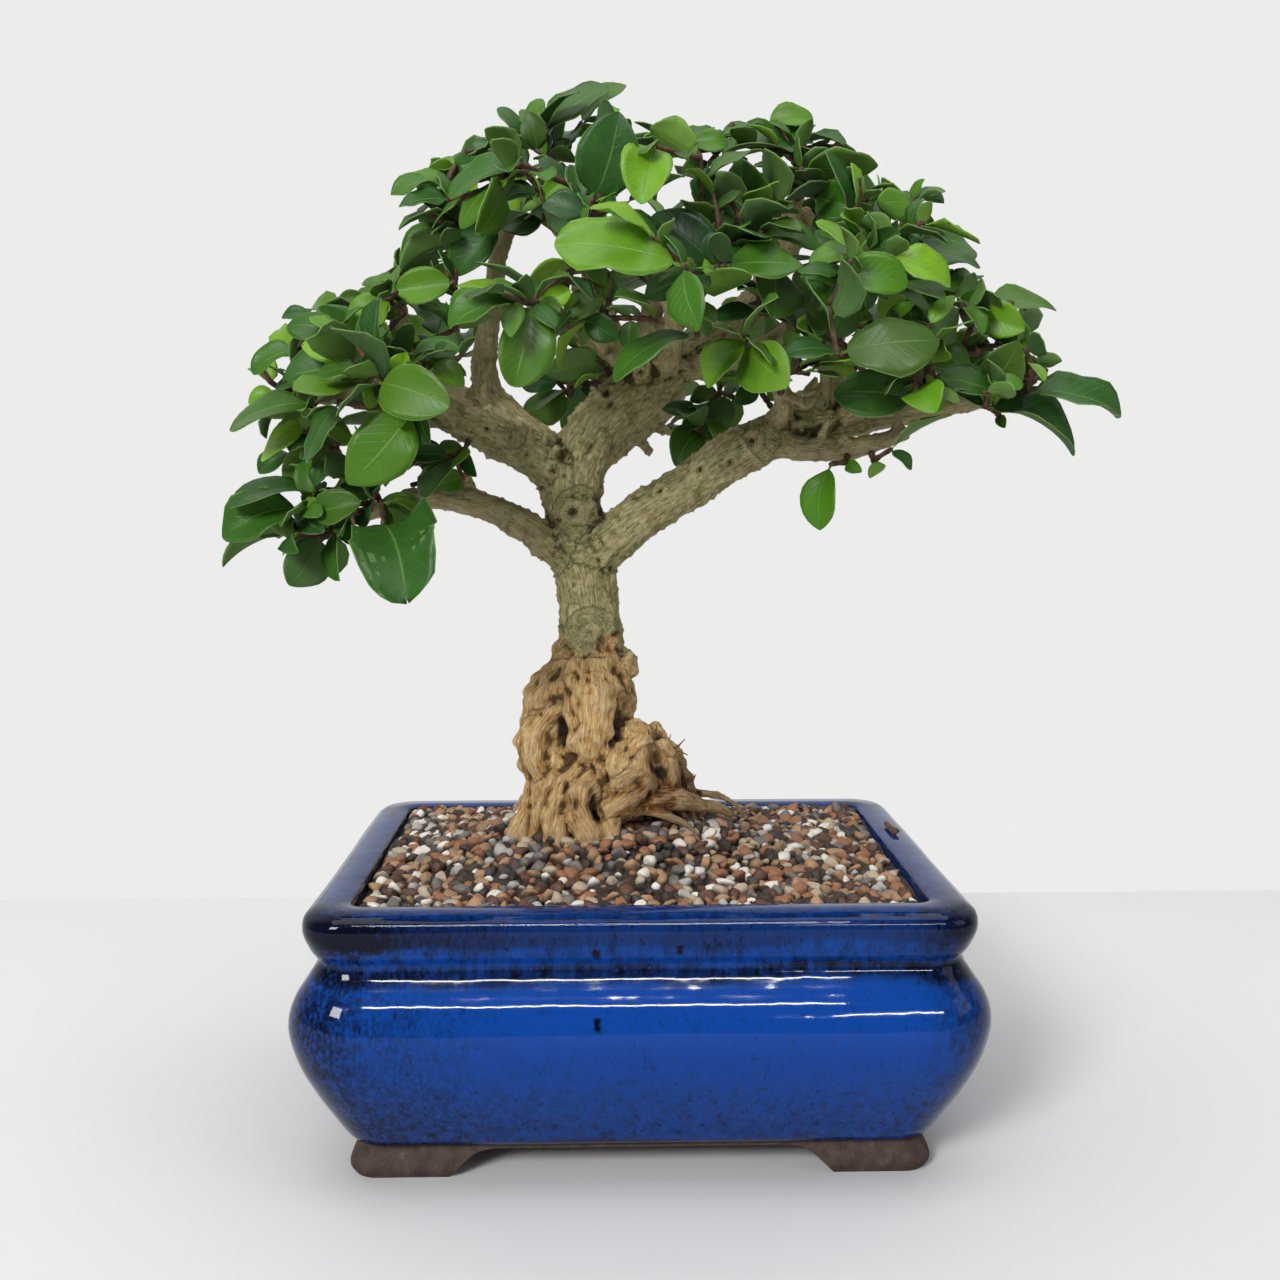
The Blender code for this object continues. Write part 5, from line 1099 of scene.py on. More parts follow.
def hides_shown(tree, middle, reach):
    """True if faces about a middle hide one of the leaves that the photograph shows."""
    sight = middle - EYE
    wide = math.cos(reach / sight.length)
    for index in np.nonzero(shown_ways @ np.array(sight.normalized()) > wide)[0]:
        way = shown_points[index] - EYE
        if tree.ray_cast(EYE, way, way.length - 0.5)[0]:
            return True
    return False


def small_leaf(base, twig_ahead, draw):
    """A small leaf at a point of a twig, turned at random round it."""
    outward_way = (base - CANOPY_CENTRE).normalized()
    first = twig_ahead.orthogonal().normalized()
    angle = draw.uniform(0, 2 * math.pi)
    sideways = math.cos(angle) * first + math.sin(angle) * twig_ahead.cross(first)
    spread = math.radians(draw.uniform(*SMALL_SPREAD))
    ahead = twig_ahead * math.cos(spread) + sideways * math.sin(spread)
    ahead = (ahead + outward_way * SMALL_REACH + Vector((0, 0, draw.uniform(*SMALL_HANG)))).normalized()
    face_up, face_out, face_any = SMALL_FACE
    facing = Vector((0, 0, face_up)) + outward_way * face_out + any_way(draw) * face_any
    length = draw.uniform(*SMALL_LENGTHS)
    width = length * draw.uniform(*SMALL_WIDTH)
    leaf = leaf_between(base, base + ahead * length, facing, width, draw.uniform(*SMALL_ARCH))
    leaf["tone"] = draw.uniform(*(SMALL_YOUNG_TONE if draw.random() < SMALL_YOUNG else OLD_TONE))
    return leaf


def grow_extra_twigs():
    """Side shoots within the leafy masses, each added to its spray where it meets nothing."""
    draw = random.Random(SMALL_SEED + 1)
    count = 0
    for number, (paths, leaves) in enumerate(canopy):
        for _ in range(EXTRA_TWIGS if paths else 0):
            for _ in range(EXTRA_TRIES):
                path = draw.choice(paths)
                start = path[draw.randint(1, len(path) - 1)]
                outward_way = (start - CANOPY_CENTRE).normalized()
                way = any_way(draw) + outward_way * EXTRA_OUT + Vector((0, 0, EXTRA_UP))
                end = start + way.normalized() * draw.uniform(*EXTRA_REACH)
                shoot = bowed(start, end, any_way(draw) * EXTRA_BOW, 1)
                if not in_crown([end]) or not free_of_all(number, shoot, 1, thicket):
                    continue
                body = BVHTree.FromPolygons(*twig_mesh(shoot, 1, EXTRA_ROOM))
                if any(body.overlap(leaf["tree"]) for leaf in leaves) or hides_shown(body, end, HIDING_REACH):
                    continue
                add_twig(number, shoot, paths, thicket)
                count += 1
                break
    return count


def grow_small_leaves():
    """The added leaves of each spray."""
    draw = random.Random(SMALL_SEED)
    added = []
    for number, (paths, leaves) in enumerate(canopy):
        small = []
        for path in paths:
            for share in SMALL_PLACES:
                base, ahead = on_path(path, share)
                for _ in range(SMALL_TRIES):
                    leaf = small_leaf(base + any_way(draw) * LOOSE_BASE, ahead, draw)
                    if not in_crown([leaf_point(leaf, s, u, 0.0) for s, u in OUTER_PLACES]):
                        continue
                    if thicket.crossed(number, *leaf_mesh(leaf, LEAF_THICKNESS + LEAF_CLEARANCE)):
                        continue
                    thin = BVHTree.FromPolygons(*off_base(*leaf_mesh(leaf, LEAF_THICKNESS)))
                    if any(thin.overlap(other["tree"]) for other in leaves + small):
                        continue
                    middle = leaf_point(leaf, 0.5, 0.0, 0.0)
                    if hides_shown(thin, middle, leaf["length"] * HIDING_SHARE):
                        continue
                    leaf["tree"] = thin
                    thicket.add(number, *leaf_mesh(leaf, LEAF_THICKNESS))
                    small.append(leaf)
                    break
        added.append(small)
    return added


print(grow_extra_twigs(), "more shoots")
small_leaves = grow_small_leaves()
print(sum(len(small) for small in small_leaves), "small leaves between")

# %% [markdown]
# ## The fine leaf
# A privet leaf is a firm, glossy blade on a short stalk. It is folded a little along its midrib, hollowed
# between rib and edge, and its edge waves. A grid of points along and across carries all of this, with a
# second layer under it for the thickness, and remembers for the finish which side is which and how young
# the leaf is.

# %% The fine leaf
BLADE_THICKNESS = 0.3
STALK = 0.09
LEAF_ALONG = 15
LEAF_ACROSS = 9
SMALL_ALONG = 9
SMALL_ACROSS = 7
FINE_SEED = 5


def blade_share(s, nature):
    """Half width at a share s of the length: a stalk, then a full blade, blunt or with a short point."""
    if s < STALK:
        return 0.05
    t = (s - STALK) / (1 - STALK)
    full = math.sin(math.pi * t ** nature["widest"]) ** nature["full"] if 0 < t < 1 else 0.0
    return max(full * (1 - nature["point"] * t ** 5), 0.03)


# Where the stalks of the most telling leaves are in the photograph, and how they differ from the rest
OWN_SHAPES = (
    ((383, 524), {"heart": 1.5, "full": 0.36, "widest": 0.8, "point": 0.0, "wave": 0.16, "waves": 2.4,
                  "notch": 0.05}),
    ((533, 303), {"heart": 1.6, "full": 0.5, "fold": 0.3, "point": 0.1}),
)
# The least width in mm of such a leaf, and how near in pixels its stalk has to be
OWN_WIDTH = 14
OWN_NEAR = 14


def leaf_character(leaf, draw):
    """How one leaf differs from the next."""
    small = leaf["length"] < SMALL_LEAF
    own = {}
    u, v = on_picture(leaf["base"])
    for (own_u, own_v), shape in OWN_SHAPES:
        if leaf["width"] > OWN_WIDTH and math.hypot(u - own_u, v - own_v) < OWN_NEAR:
            own = shape
    return {
        "fold": draw.uniform(0.02, 0.24),
        "cup": draw.uniform(-0.1, 0.34),
        "wave": draw.uniform(0.02, 0.1),
        "waves": draw.uniform(0.8, 2.2),
        "phase": draw.uniform(0, 2 * math.pi),
        "widest": draw.uniform(0.76, 1.12),
        "full": draw.uniform(0.5, 0.74),
        "point": draw.uniform(0.0, 0.3),
        "heart": draw.uniform(0.0, 1.0) ** 2 * (0.4 if small else 1.1),
        "notch": max(0.0, draw.uniform(-0.09, 0.06)),
        "curl": draw.uniform(-0.35, 0.55),
        "uneven": draw.uniform(-0.14, 0.14),
        "lean": draw.uniform(-0.05, 0.05),
        "twist": draw.uniform(-0.3, 0.3),
        "pick": draw.random(),
        **own,
    }


def fine_point(leaf, nature, s, u, lift):
    """A point of the finished leaf: s along, u across from -1 to 1, lift off its middle surface, in mm."""
    half = leaf["width"] / 2
    share = blade_share(s, nature) * (1 + nature["uneven"] * (1 if u > 0 else -1))
    edge = abs(u)
    open_part = min(1.0, max(0.0, (s - STALK) / 0.2))
    rise = nature["fold"] * edge + nature["cup"] * edge ** 2
    ripple = nature["wave"] * math.sin(nature["waves"] * 2 * math.pi * s + nature["phase"] + (u > 0) * 1.7)
    rise = (rise + ripple * edge ** 2 * 2) * open_part * share * half
    turn = leaf["arch"] * s
    along_it = math.sin(turn) / leaf["arch"]
    drop = (1 - math.cos(turn)) / leaf["arch"] + nature["curl"] * 0.12 * (s ** 3 - s)
    up = leaf["normal"] * math.cos(turn) + leaf["ahead"] * math.sin(turn)
    forward = leaf["ahead"] * math.cos(turn) - leaf["normal"] * math.sin(turn)
    side = leaf["ahead"].cross(leaf["normal"])
    twist = nature["twist"] * (s - 0.3)
    across = side * math.cos(twist) + up * math.sin(twist)
    above = up * math.cos(twist) - side * math.sin(twist)
    middle = leaf["base"] + leaf["length"] * (leaf["ahead"] * along_it - leaf["normal"] * drop)
    lobe = -nature["heart"] * 0.16 * leaf["length"] * edge ** 1.6 * max(0.0, 1 - (s - STALK) / 0.4) ** 2
    notch = nature["notch"] * leaf["length"] * (1 - edge) ** 2 * max(0.0, (s - 0.8) / 0.2) ** 2
    lobe = lobe * open_part - notch
    sway = nature["lean"] * leaf["length"] * math.sin(math.pi * s)
    return middle + across * (u * half * share + sway) + above * (lift + rise) + forward * lobe


def held_in_box(points, place):
    """The same points, with the leaf's tip drawn back by as much as it would leave the box of the solids."""
    back = Vector((0, 0, 0))
    for k in range(3):
        low, high = ((cad_box[end][k] - POT_CENTRE[k]) / MM for end in (0, 1))
        back[k] = max(0.0, low - min(p[k] for p in points)) - max(0.0, max(p[k] for p in points) - high)
    return [point + back * (s * (2 - s)) for point, (s, _, _) in zip(points, place)]


def fine_leaf(leaf, draw, along=LEAF_ALONG, across=LEAF_ACROSS):
    """Points, faces and marks of one finished leaf."""
    nature = leaf_character(leaf, draw)
    stations = [0.0, STALK * 0.8]
    stations += [STALK + (1 - STALK) * (1 - math.cos(math.pi * k / (along - 3))) / 2 for k in range(along - 2)]
    columns = [2 * i / (across - 1) - 1 for i in range(across)]
    points, side, place = [], [], []
    for lift, under in ((BLADE_THICKNESS / 2, 0.0), (-BLADE_THICKNESS / 2, 1.0)):
        for s in stations:
            for u in columns:
                points.append(fine_point(leaf, nature, s, u, lift))
                side.append(under)
                place.append((s, u, 0.0))
    points = held_in_box(points, place)
    faces = []
    rows, wide = len(stations), len(columns)
    low = rows * wide
    for j in range(rows - 1):
        for i in range(wide - 1):
            a = j * wide + i
            faces.append((a, a + 1, a + wide + 1, a + wide))
            faces.append((low + a + wide, low + a + wide + 1, low + a + 1, low + a))
    rim = list(range(wide)) + [j * wide + wide - 1 for j in range(1, rows)]
    rim += [(rows - 1) * wide + i for i in range(wide - 2, -1, -1)]
    rim += [j * wide for j in range(rows - 2, 0, -1)]
    for a, b in zip(rim, rim[1:] + rim[:1]):
        faces.append((b, a, a + low, b + low))
    marks = {"under": side, "place": place, "tone": [leaf["tone"]] * len(points),
             "pick": [nature["pick"]] * len(points), "twig": [0.0] * len(points)}
    return points, faces, marks


# %% [markdown]
# ## Twigs
# The shoots are thin, reddish brown and a little knotty where leaves stood. Each is a tube along the path
# that its spray grew by, with more sides and steps than the solid has.

# %% Fine twigs
TWIG_SIDES = 8
TWIG_THINNER = 0.86


def fine_twig(path, order, draw):
    """Points, faces and marks of a knotty tube."""
    radii = twig_radii(len(path) - 1, order)
    full = lengthened(path)
    route = [(*p, r * TWIG_THINNER) for p, r in zip(full, radii)]
    smooth = spline(route, 5)
    centres = [p.to_3d() for p in smooth]
    widths = [p[3] * (1 + 0.16 * math.sin(k * 2.1) + draw.uniform(-0.08, 0.12)) for k, p in enumerate(smooth)]
    points, faces = tube(centres, widths, TWIG_SIDES)
    count = len(points)
    marks = {"under": [0.0] * count, "place": [(0.0, 0.0, 0.0)] * count, "tone": [0.0] * count,
             "pick": [draw.random()] * count, "twig": [1.0] * count}
    return points, faces, marks


def build_fine_spray(number, paths, leaves, draw):
    """One object for a spray's twigs and leaves, with its marks."""
    points, faces = [], []
    marks = {name: [] for name in ("under", "place", "tone", "pick", "twig")}
    shapes = [fine_twig(path, min(1, k), draw) for k, path in enumerate(paths)]
    shapes += [fine_leaf(leaf, draw) for leaf in leaves]
    shapes += [fine_leaf(leaf, draw, SMALL_ALONG, SMALL_ACROSS) for leaf in small_leaves[number]]
    for shape_points, shape_faces, shape_marks in shapes:
        start = len(points)
        points += shape_points
        faces += [tuple(start + i for i in face) for face in shape_faces]
        for name in marks:
            marks[name] += shape_marks[name]
    name = f"leafy_spray_{number + 1:02d}"
    spray = new_object(name, in_model(points), faces)
    for mark_name, values in marks.items():
        mark(spray.data, mark_name, values, "FLOAT_VECTOR" if mark_name == "place" else "FLOAT")
    spray.data.shade_smooth()
    return spray


fine_draw = random.Random(FINE_SEED)
sprays = [build_fine_spray(number, *grown, fine_draw) for number, grown in enumerate(canopy)]
print(sum(len(s.data.polygons) for s in sprays), "faces in the canopy")

# %% [markdown]
# ## Leaf finish
# Old leaves are deep green and waxy, young ones lime. The midrib is a fine pale line, side ribs show as
# slight grooves, the very edge is pale, and the underside is greyer, lighter and dull.

# %% Leaf finish
board = Board("privet leaf", Roughness=0.35, Specular_IOR_Level=0.18)
along, across, _ = board.split(board.attribute("place", "Vector"))
tone = board.attribute("tone")
pick = board.attribute("pick")
under = board.attribute("under")
twig = board.attribute("twig")
spot = board.place()

youth = tone + (pick - 0.5) * 0.3
top_green = board.ramp(youth, (0.0, (0.015, 0.06, 0.012)), (0.3, (0.025, 0.09, 0.008)),
                       (0.6, (0.06, 0.18, 0.006)), (0.95, (0.17, 0.36, 0.01)))
below_green = board.ramp(youth, (0.0, (0.07, 0.14, 0.05)), (0.5, (0.11, 0.21, 0.045)),
                         (0.95, (0.19, 0.37, 0.03)))
edge_line = board.between(across.math("ABSOLUTE"), 0.95, 0.99)
sheen_cloud = board.noise(spot, 90.0, 2.0)
rib = 1 - board.between(across.math("ABSOLUTE"), 0.012, 0.05)
rib = rib * board.between(along, 0.0, 0.12) * (1 - board.between(along, 0.75, 0.98))
vein_place = along * 9.0 - across.math("ABSOLUTE") * 2.6
vein = vein_place.math("FRACT")
vein = 1 - board.between((vein - 0.5).math("ABSOLUTE"), 0.0, 0.1)
cloud = board.noise(spot, 240.0, 3.0)
blade = board.mix(under, top_green, below_green)
olive = (pick * 7.3).math("FRACT")
blade = board.tinted(blade, (board.between(olive, 0.55, 1.0) * 0.45, (0.075, 0.13, 0.01)),
                     ((1 - board.between(olive, 0.0, 0.4)) * 0.4, (0.012, 0.05, 0.016)),
                     (board.between(cloud, 0.4, 0.75) * 0.25, (0.05, 0.13, 0.012)),
                     (vein * 0.1, (0.1, 0.22, 0.04)), (rib * 0.4, (0.16, 0.3, 0.06)),
                     (edge_line * 0.45, (0.22, 0.36, 0.09)))
bark_cloud = board.noise(spot, 500.0, 3.0)
twig_colour = board.ramp(bark_cloud, (0.3, (0.03, 0.012, 0.008)), (0.7, (0.13, 0.075, 0.045)))
colour = board.mix(twig, blade, twig_colour)
roughness = board.between(under + twig, 0.0, 1.0) * 0.3 + 0.3 + sheen_cloud * 0.2
relief = rib * -0.6 - vein * 0.25 + cloud * 0.5
LEAF = board.wear(Base_Color=colour, Roughness=roughness,
                  Normal=board.bump(relief, 0.00025, 0.7))

for number, spray in enumerate(sprays):
    finish_piece(spray, "leaf", LEAF, f"spray_{number + 1:02d}")
print("leaf finish on", len(sprays), "sprays")

# %% [markdown]
# ## The wood's skin
# The limbs overlap in a bundle of tubes. A voxel remesh grows them together, smoothing rounds the forks,
# and each point is then moved along its normal by a fibrous noise that runs the way its limb runs. Some
# roots are drawn thinner than in the solid, and stubs of old cuts stand on the branches, as pruning leaves
# them.

# %% The wood's skin
WOOD_VOXEL = 0.885 * MM
FINE_SIDES = 16
FINE_SPAN = 6
STUB_SEED = 8
STUBS = 90
STUB_LENGTHS = (3.5, 9.0)
STUB_RADII = (1.9, 1.3)
THIN_ROOTS = {
    "lying root": ((-12, -12, 100.5, 5.2), (-2.5, -14, 99.5, 5.0), (7, -12, 99.5, 4.2), (15, -10, 99, 3.2),
        (21, -8, 97.5, 2.4), (27, -6, 95.5, 1.7), (31, -4, 92.5, 1.1)),
    "low root": ((-3.5, -14, 98.5, 2.2), (3, -16, 97, 1.7), (9.5, -16.5, 95.5, 1.5), (15.5, -17, 93, 1.2),
        (19, -17, 89.5, 0.9)),
    "thin root": ((15, 4, 98, 2.4), (22, 5, 98, 1.5), (28, 6, 96.8, 1.2), (33.5, 6, 93.5, 1.0),
        (36, 6, 89, 0.9)),
    "front root four": ((-10, -14, 98, 3.6), (-8.5, -19, 94.5, 2.9), (-8, -21.5, 90, 2.4),
        (-7.6, -22.5, 85, 2.0)),
    "strap": ((1, -7, 114, 3.4), (4, -11.5, 110, 3.6), (2, -15, 105, 3.4), (-5, -18, 101, 3.0),
        (-11, -19.5, 97, 2.4)),
    "strap two": ((8, -3, 112, 3.2), (11, -6, 106, 3.0), (10.5, -9, 101, 2.4), (6, -12.5, 98, 1.8)),
    "left ridge": ((-27, -9, 129, 3.2), (-32, -10.5, 121, 3.0), (-33, -12, 113, 2.8),
        (-29.5, -13.5, 106, 2.6), (-24.5, -16.5, 100, 2.2)),
}


def fine_limb(route):
    smooth = spline(route, FINE_SPAN)
    return tube([p.to_3d() for p in smooth], [p[3] for p in smooth], FINE_SIDES)


def fine_routes():
    """The wood's routes as they are dressed."""
    roots = {**ROOTS, **THIN_ROOTS}
    return [*roots.values(), TRUNK, *BRANCHES.values(), *KNOTS]


def stub_routes():
    """Short stubs on the branches, where they meet no leaf and no twig."""
    draw = random.Random(STUB_SEED)
    stubs = []
    branches = list(BRANCHES.values())
    for _ in range(STUBS):
        smooth = spline(draw.choice(branches), 4)
        place = draw.randint(2, len(smooth) - 2)
        start = smooth[place].to_3d()
        ahead = (smooth[place + 1] - smooth[place]).to_3d().normalized()
        side = any_way(draw)
        side = (side - ahead * side.dot(ahead)).normalized()
        way = (side + ahead * draw.uniform(-0.2, 0.9) + Vector((0, 0, 0.25))).normalized()
        length = draw.uniform(*STUB_LENGTHS)
        end = start + side * smooth[place][3] * 0.8 + way * length
        if thicket.crossed("wood", *twig_mesh([start, end], 1, 1.0)):
            continue
        middle = start.lerp(end, 0.6) + any_way(draw) * 0.7
        wide = draw.uniform(0.75, 1.15)
        stubs.append([(*start, STUB_RADII[0] * wide), (*middle, STUB_RADII[0] * 0.85 * wide),
                      (*end, STUB_RADII[1] * wide)])
    return stubs


stubs = stub_routes()
points, faces = merged(fine_limb(route) for route in fine_routes() + stubs)
wood = new_object("fine_wood", in_model(points), faces)
skin = wood.modifiers.new("Skin", "REMESH")
skin.mode = "VOXEL"
skin.voxel_size = WOOD_VOXEL
soften = wood.modifiers.new("Soften", "SMOOTH")
soften.factor = 0.5
soften.iterations = 4
settled(wood)
print("wood:", len(wood.data.vertices), "points,", len(stubs), "stubs")

# %% The way the fibres run
FIBRE_REACH = 5


def limb_samples():
    """Centre, axes, run and radius at close steps along every limb, in mm."""
    samples = []
    for route in fine_routes():
        smooth = spline(route, 4)
        centres = [p.to_3d() for p in smooth]
        run = random.Random(len(samples)).uniform(0, 400)
        for k, (centre, ahead, first, second) in enumerate(ring_frames(centres)):
            if k:
                run += (centre - centres[k - 1]).length
            samples.append((centre, ahead, first, second, run, smooth[k][3]))
    return samples


samples = limb_samples()
tree = kdtree.KDTree(len(samples))
for index, sample in enumerate(samples):
    tree.insert(sample[0], index)
tree.balance()

wood_normals = normals_of(wood.data)
in_mm = in_pot_mm(corners_of(wood.data))
grain = np.zeros((len(in_mm), 3))
girth = np.zeros(len(in_mm))
for index, corner in enumerate(in_mm):
    point = Vector(corner)
    best = min(tree.find_n(point, FIBRE_REACH), key=lambda found: found[2] - samples[found[1]][5])
    centre, ahead, first, second, run, radius = samples[best[1]]
    offset = point - centre
    grain[index] = (offset.dot(first), offset.dot(second), run + offset.dot(ahead))
    girth[index] = radius
print("fibres laid over", len(grain), "points")

# %% Roots and bark in relief
def noise_at(points, scale, shift=(0, 0, 0)):
    """Noise at each of a number of points in mm, scale in bumps a mm."""
    return np.array([noise.noise(Vector(p) * scale + Vector(shift)) for p in points])


height = in_mm[:, 2]
ragged = noise_at(in_mm, 0.11)
rooty = 1 - smooth_step(144, 151, height + ragged * 10)


def fibre_noise(across_scale, along_scale, seed):
    """Noise drawn out along the limbs."""
    around = grain[:, :2] / np.maximum(np.linalg.norm(grain[:, :2], axis=1, keepdims=True), 0.01)
    values = np.zeros(len(grain))
    for index in range(len(grain)):
        reach = girth[index] * across_scale
        x, y = around[index] * reach
        values[index] = noise.noise(Vector((x + seed, y, grain[index, 2] * along_scale)))
    return values


wide_fibre = fibre_noise(0.5, 0.05, 3.0)
fine_fibre = fibre_noise(1.0, 0.1, 17.0)
lump = noise_at(in_mm, 0.16)
knob = noise_at(in_mm, 0.33, (7, 3, 1))
pore = noise_at(in_mm, 0.66)
plate = np.array([noise.voronoi(Vector(p) * 0.21)[0][0] for p in in_mm])
ridge = 1 - np.abs(wide_fibre) * 2.4
upper_root = smooth_step(106, 126, height)
root_relief = ridge * (0.6 - 0.35 * upper_root) + fine_fibre * 0.3 + lump * 2.0 + knob * 1.1 + pore * 0.06
root_relief = root_relief - plate * 0.3 + 0.1
bark_relief = fine_fibre * 0.3 + lump * 0.8 + knob * 0.5 + np.maximum(pore - 0.1, 0.0) * 1.5
thick_enough = smooth_step(0.8, 7.0, girth)
relief = rooty * root_relief * (0.25 + 0.75 * thick_enough)
relief = relief + (1 - rooty) * bark_relief * (0.35 + 0.65 * thick_enough)

# %% [markdown]
# ## Scars, hollows and knots
# What makes this foot its own are a dark hollow left of the middle root, a slit right of it, ringed knots
# where branches were cut, and warts. Each is set where a line of sight through the photograph meets the
# wood. The dark in the hollows and in the knots' pits is painted shade.

# %% Scars, hollows and knots
# Place in the photograph in pixels, reach in mm, depth in mm (less than nothing stands out), and darkness,
# which is painted shade where the place is sunk
HOLLOWS = (
    (561, 724, 2.2, 2.4, 1.0), (560, 734, 2.4, 2.6, 1.0), (563, 743, 1.8, 1.4, 0.9),
    (620, 702, 1.8, 2.0, 0.9), (620, 712, 2.1, 3.0, 1.0), (619, 723, 2.2, 3.2, 1.0),
    (617, 734, 2.0, 2.6, 1.0), (612, 743, 1.5, 1.2, 0.8), (656, 766, 2.8, 2.6, 1.0),
    (664, 774, 2.6, 2.6, 1.0), (640, 652, 1.6, 0.4, 0.9), (642, 664, 1.5, 0.4, 1.0),
    (638, 676, 1.6, 0.4, 1.0), (630, 646, 1.4, 0.3, 0.8), (700, 792, 2.0, 0.8, 0.8),
    (607, 778, 1.6, 0.8, 0.9), (566, 785, 2.0, 1.8, 0.8), (575, 805, 1.8, 1.6, 0.8),
    (640, 783, 2.4, 1.0, 0.6), (527, 728, 3.0, -1.4, 0.3), (530, 745, 2.4, -0.9, 0.4),
    (545, 700, 3.0, -1.0, 0.1), (560, 655, 3.0, -1.4, 0.2), (559, 667, 1.0, 0.5, 0.5),
    (600, 692, 4.5, -1.6, 0.0), (590, 730, 4.0, -0.9, 0.0), (631, 690, 3.0, -0.9, 0.1),
    (640, 750, 3.5, -1.3, 0.0), (622, 765, 4.0, -1.2, 0.0), (592, 800, 2.0, 1.4, 0.9),
    (650, 795, 1.5, 0.9, 0.7), (603, 668, 0.8, 0.3, 0.5), (577, 676, 0.8, 0.3, 0.5),
    (541, 715, 1.0, 0.5, 0.6), (548, 757, 1.1, 0.6, 0.6), (600, 640, 2.6, 0.6, 0.7),
    (585, 636, 1.5, 0.4, 0.6)
)
# Place in the photograph, ring's radius and height in mm
RINGS = (
    (634, 664, 3.0, 0.5), (573, 512, 2.8, 1.3), (591, 632, 2.4, 0.5), (553, 470, 2.2, 0.9),
    (606, 393, 2.4, 1.0), (660, 491, 2.0, 0.8), (752, 441, 2.6, 1.2), (700, 470, 2.2, 0.8),
    (487, 428, 1.8, 0.8), (600, 560, 1.8, 0.6), (640, 372, 1.9, 0.8), (527, 455, 1.6, 0.7),
    (730, 462, 1.6, 0.7), (575, 585, 1.4, 0.5)
)
shell = BVHTree.FromPolygons([Vector(p) for p in in_mm], [tuple(f.vertices) for f in wood.data.polygons])
# How dark each point of the wood is painted: mostly painted shade in the hollows and in the knots' pits
scar = np.zeros(len(in_mm))


def met_by_sight(u, v):
    """Where the line of sight through a pixel of the photograph meets the wood."""
    return shell.ray_cast(EYE, seen(u, v, 0.0) - EYE)[0]


def bell(away, reach):
    """1 at no distance, falling softly to nothing."""
    return np.exp(-((away / reach) ** 2))


def ragged_distance(centre):
    """Each point's distance in mm, longer one way than the other and uneven, as a crevice is."""
    gap = (in_mm - np.array(centre)) * (1.15, 1.0, 0.62)
    return np.linalg.norm(gap, axis=1) * (1 + 0.5 * ragged)


for u, v, reach, depth, dark in HOLLOWS:
    centre = met_by_sight(u, v)
    if centre:
        share = bell(ragged_distance(centre), reach * 0.9)
        relief = relief - depth * share
        scar = np.maximum(scar, dark * share)
# A knot is a raised ring round a pit; the pit and the foot of the ring get painted shade
for u, v, radius, rise in RINGS:
    centre = met_by_sight(u, v)
    if centre:
        away = np.linalg.norm(in_mm - np.array(centre), axis=1)
        rim = bell(away - radius, radius * 0.4)
        pit = bell(away, radius * 0.55)
        relief = relief + rise * (rim - pit * 0.9)
        scar = np.maximum(scar, 0.6 * pit + 0.45 * bell(away - radius * 1.5, radius * 0.3))
shaped = in_mm + wood_normals * relief[:, None]
move_corners(wood.data, shaped * MM + np.array(POT_CENTRE))
print("relief from", round(float(relief.min()), 2), "to", round(float(relief.max()), 2), "mm")


# %% Where the creases are
def neighbour_mean(mesh, values, rounds):
    """Each point's value averaged with its neighbours', a number of times."""
    pairs = np.zeros(len(mesh.edges) * 2, np.int64)
    mesh.edges.foreach_get("vertices", pairs)
    a, b = pairs[0::2], pairs[1::2]
    count = np.bincount(pairs, minlength=len(values)).astype(float)[:, None]
    for _ in range(rounds):
        total = np.zeros_like(values)
        np.add.at(total, a, values[b])
        np.add.at(total, b, values[a])
        values = total / np.maximum(count, 1)
    return values


final = corners_of(wood.data)
final_normals = normals_of(wood.data)
# How deep each point lies in a crease (more than nothing) or stands on a ridge (less than nothing); the finish
# paints shade into the creases and a highlight onto the ridges
narrow = ((neighbour_mean(wood.data, final, 4) - final) * final_normals).sum(axis=1) / MM
broad = ((neighbour_mean(wood.data, final, 30) - final) * final_normals).sum(axis=1) / MM
crease = np.clip(narrow * 1.9 + broad * 0.75, -1, 1)
mark(wood.data, "crease", crease)
mark(wood.data, "rooty", rooty)
mark(wood.data, "scar", scar)
mark(wood.data, "girth", girth)
mark(wood.data, "grain", grain, "FLOAT_VECTOR")
wood.data.shade_smooth()
print("creases marked")

# %% [markdown]
# ## Bark and roots
# The bark is grey-green with pale lenticels and brown scars; below a ragged line the roots once stood in
# soil and are the tan of bare, fibrous wood. Painted shade darkens their creases and hollows, and a painted
# highlight lightens their ridges. The fibres follow the grain marked above.

# %% Bark and roots
board = Board("bark and roots", Roughness=0.8, Specular_IOR_Level=0.15)
spot = board.place()
run = board.attribute("grain", "Vector")
crease_mark = board.attribute("crease")
root_mark = board.attribute("rooty")
shade_and_scar_mark = board.attribute("scar")
girth_mark = board.attribute("girth")
side_way, _, up_height = board.split(spot)
streak = board.noise(run, 1.6, 4.0, 0.65, stretch=(1.0, 1.0, 0.13))
hair = board.noise(run, 4.2, 3.0, 0.6, stretch=(1.0, 1.0, 0.08))
crack = board.noise(run, 1.9, 3.0, 0.7, stretch=(1.0, 1.0, 0.3))
patch = board.noise(spot, 60.0, 4.0, 0.6)
blotch = board.noise(spot, 210.0, 3.0, 0.6)
speck = board.noise(spot, 620.0, 2.0, 0.6)
root_colour = board.ramp(streak, (0.3, (0.2, 0.085, 0.022)), (0.42, (0.41, 0.225, 0.07)),
                         (0.54, (0.58, 0.37, 0.15)), (0.7, (0.78, 0.59, 0.33)))
low = 1 - board.between(up_height + (patch - 0.5) * 0.01, 0.105, 0.114)
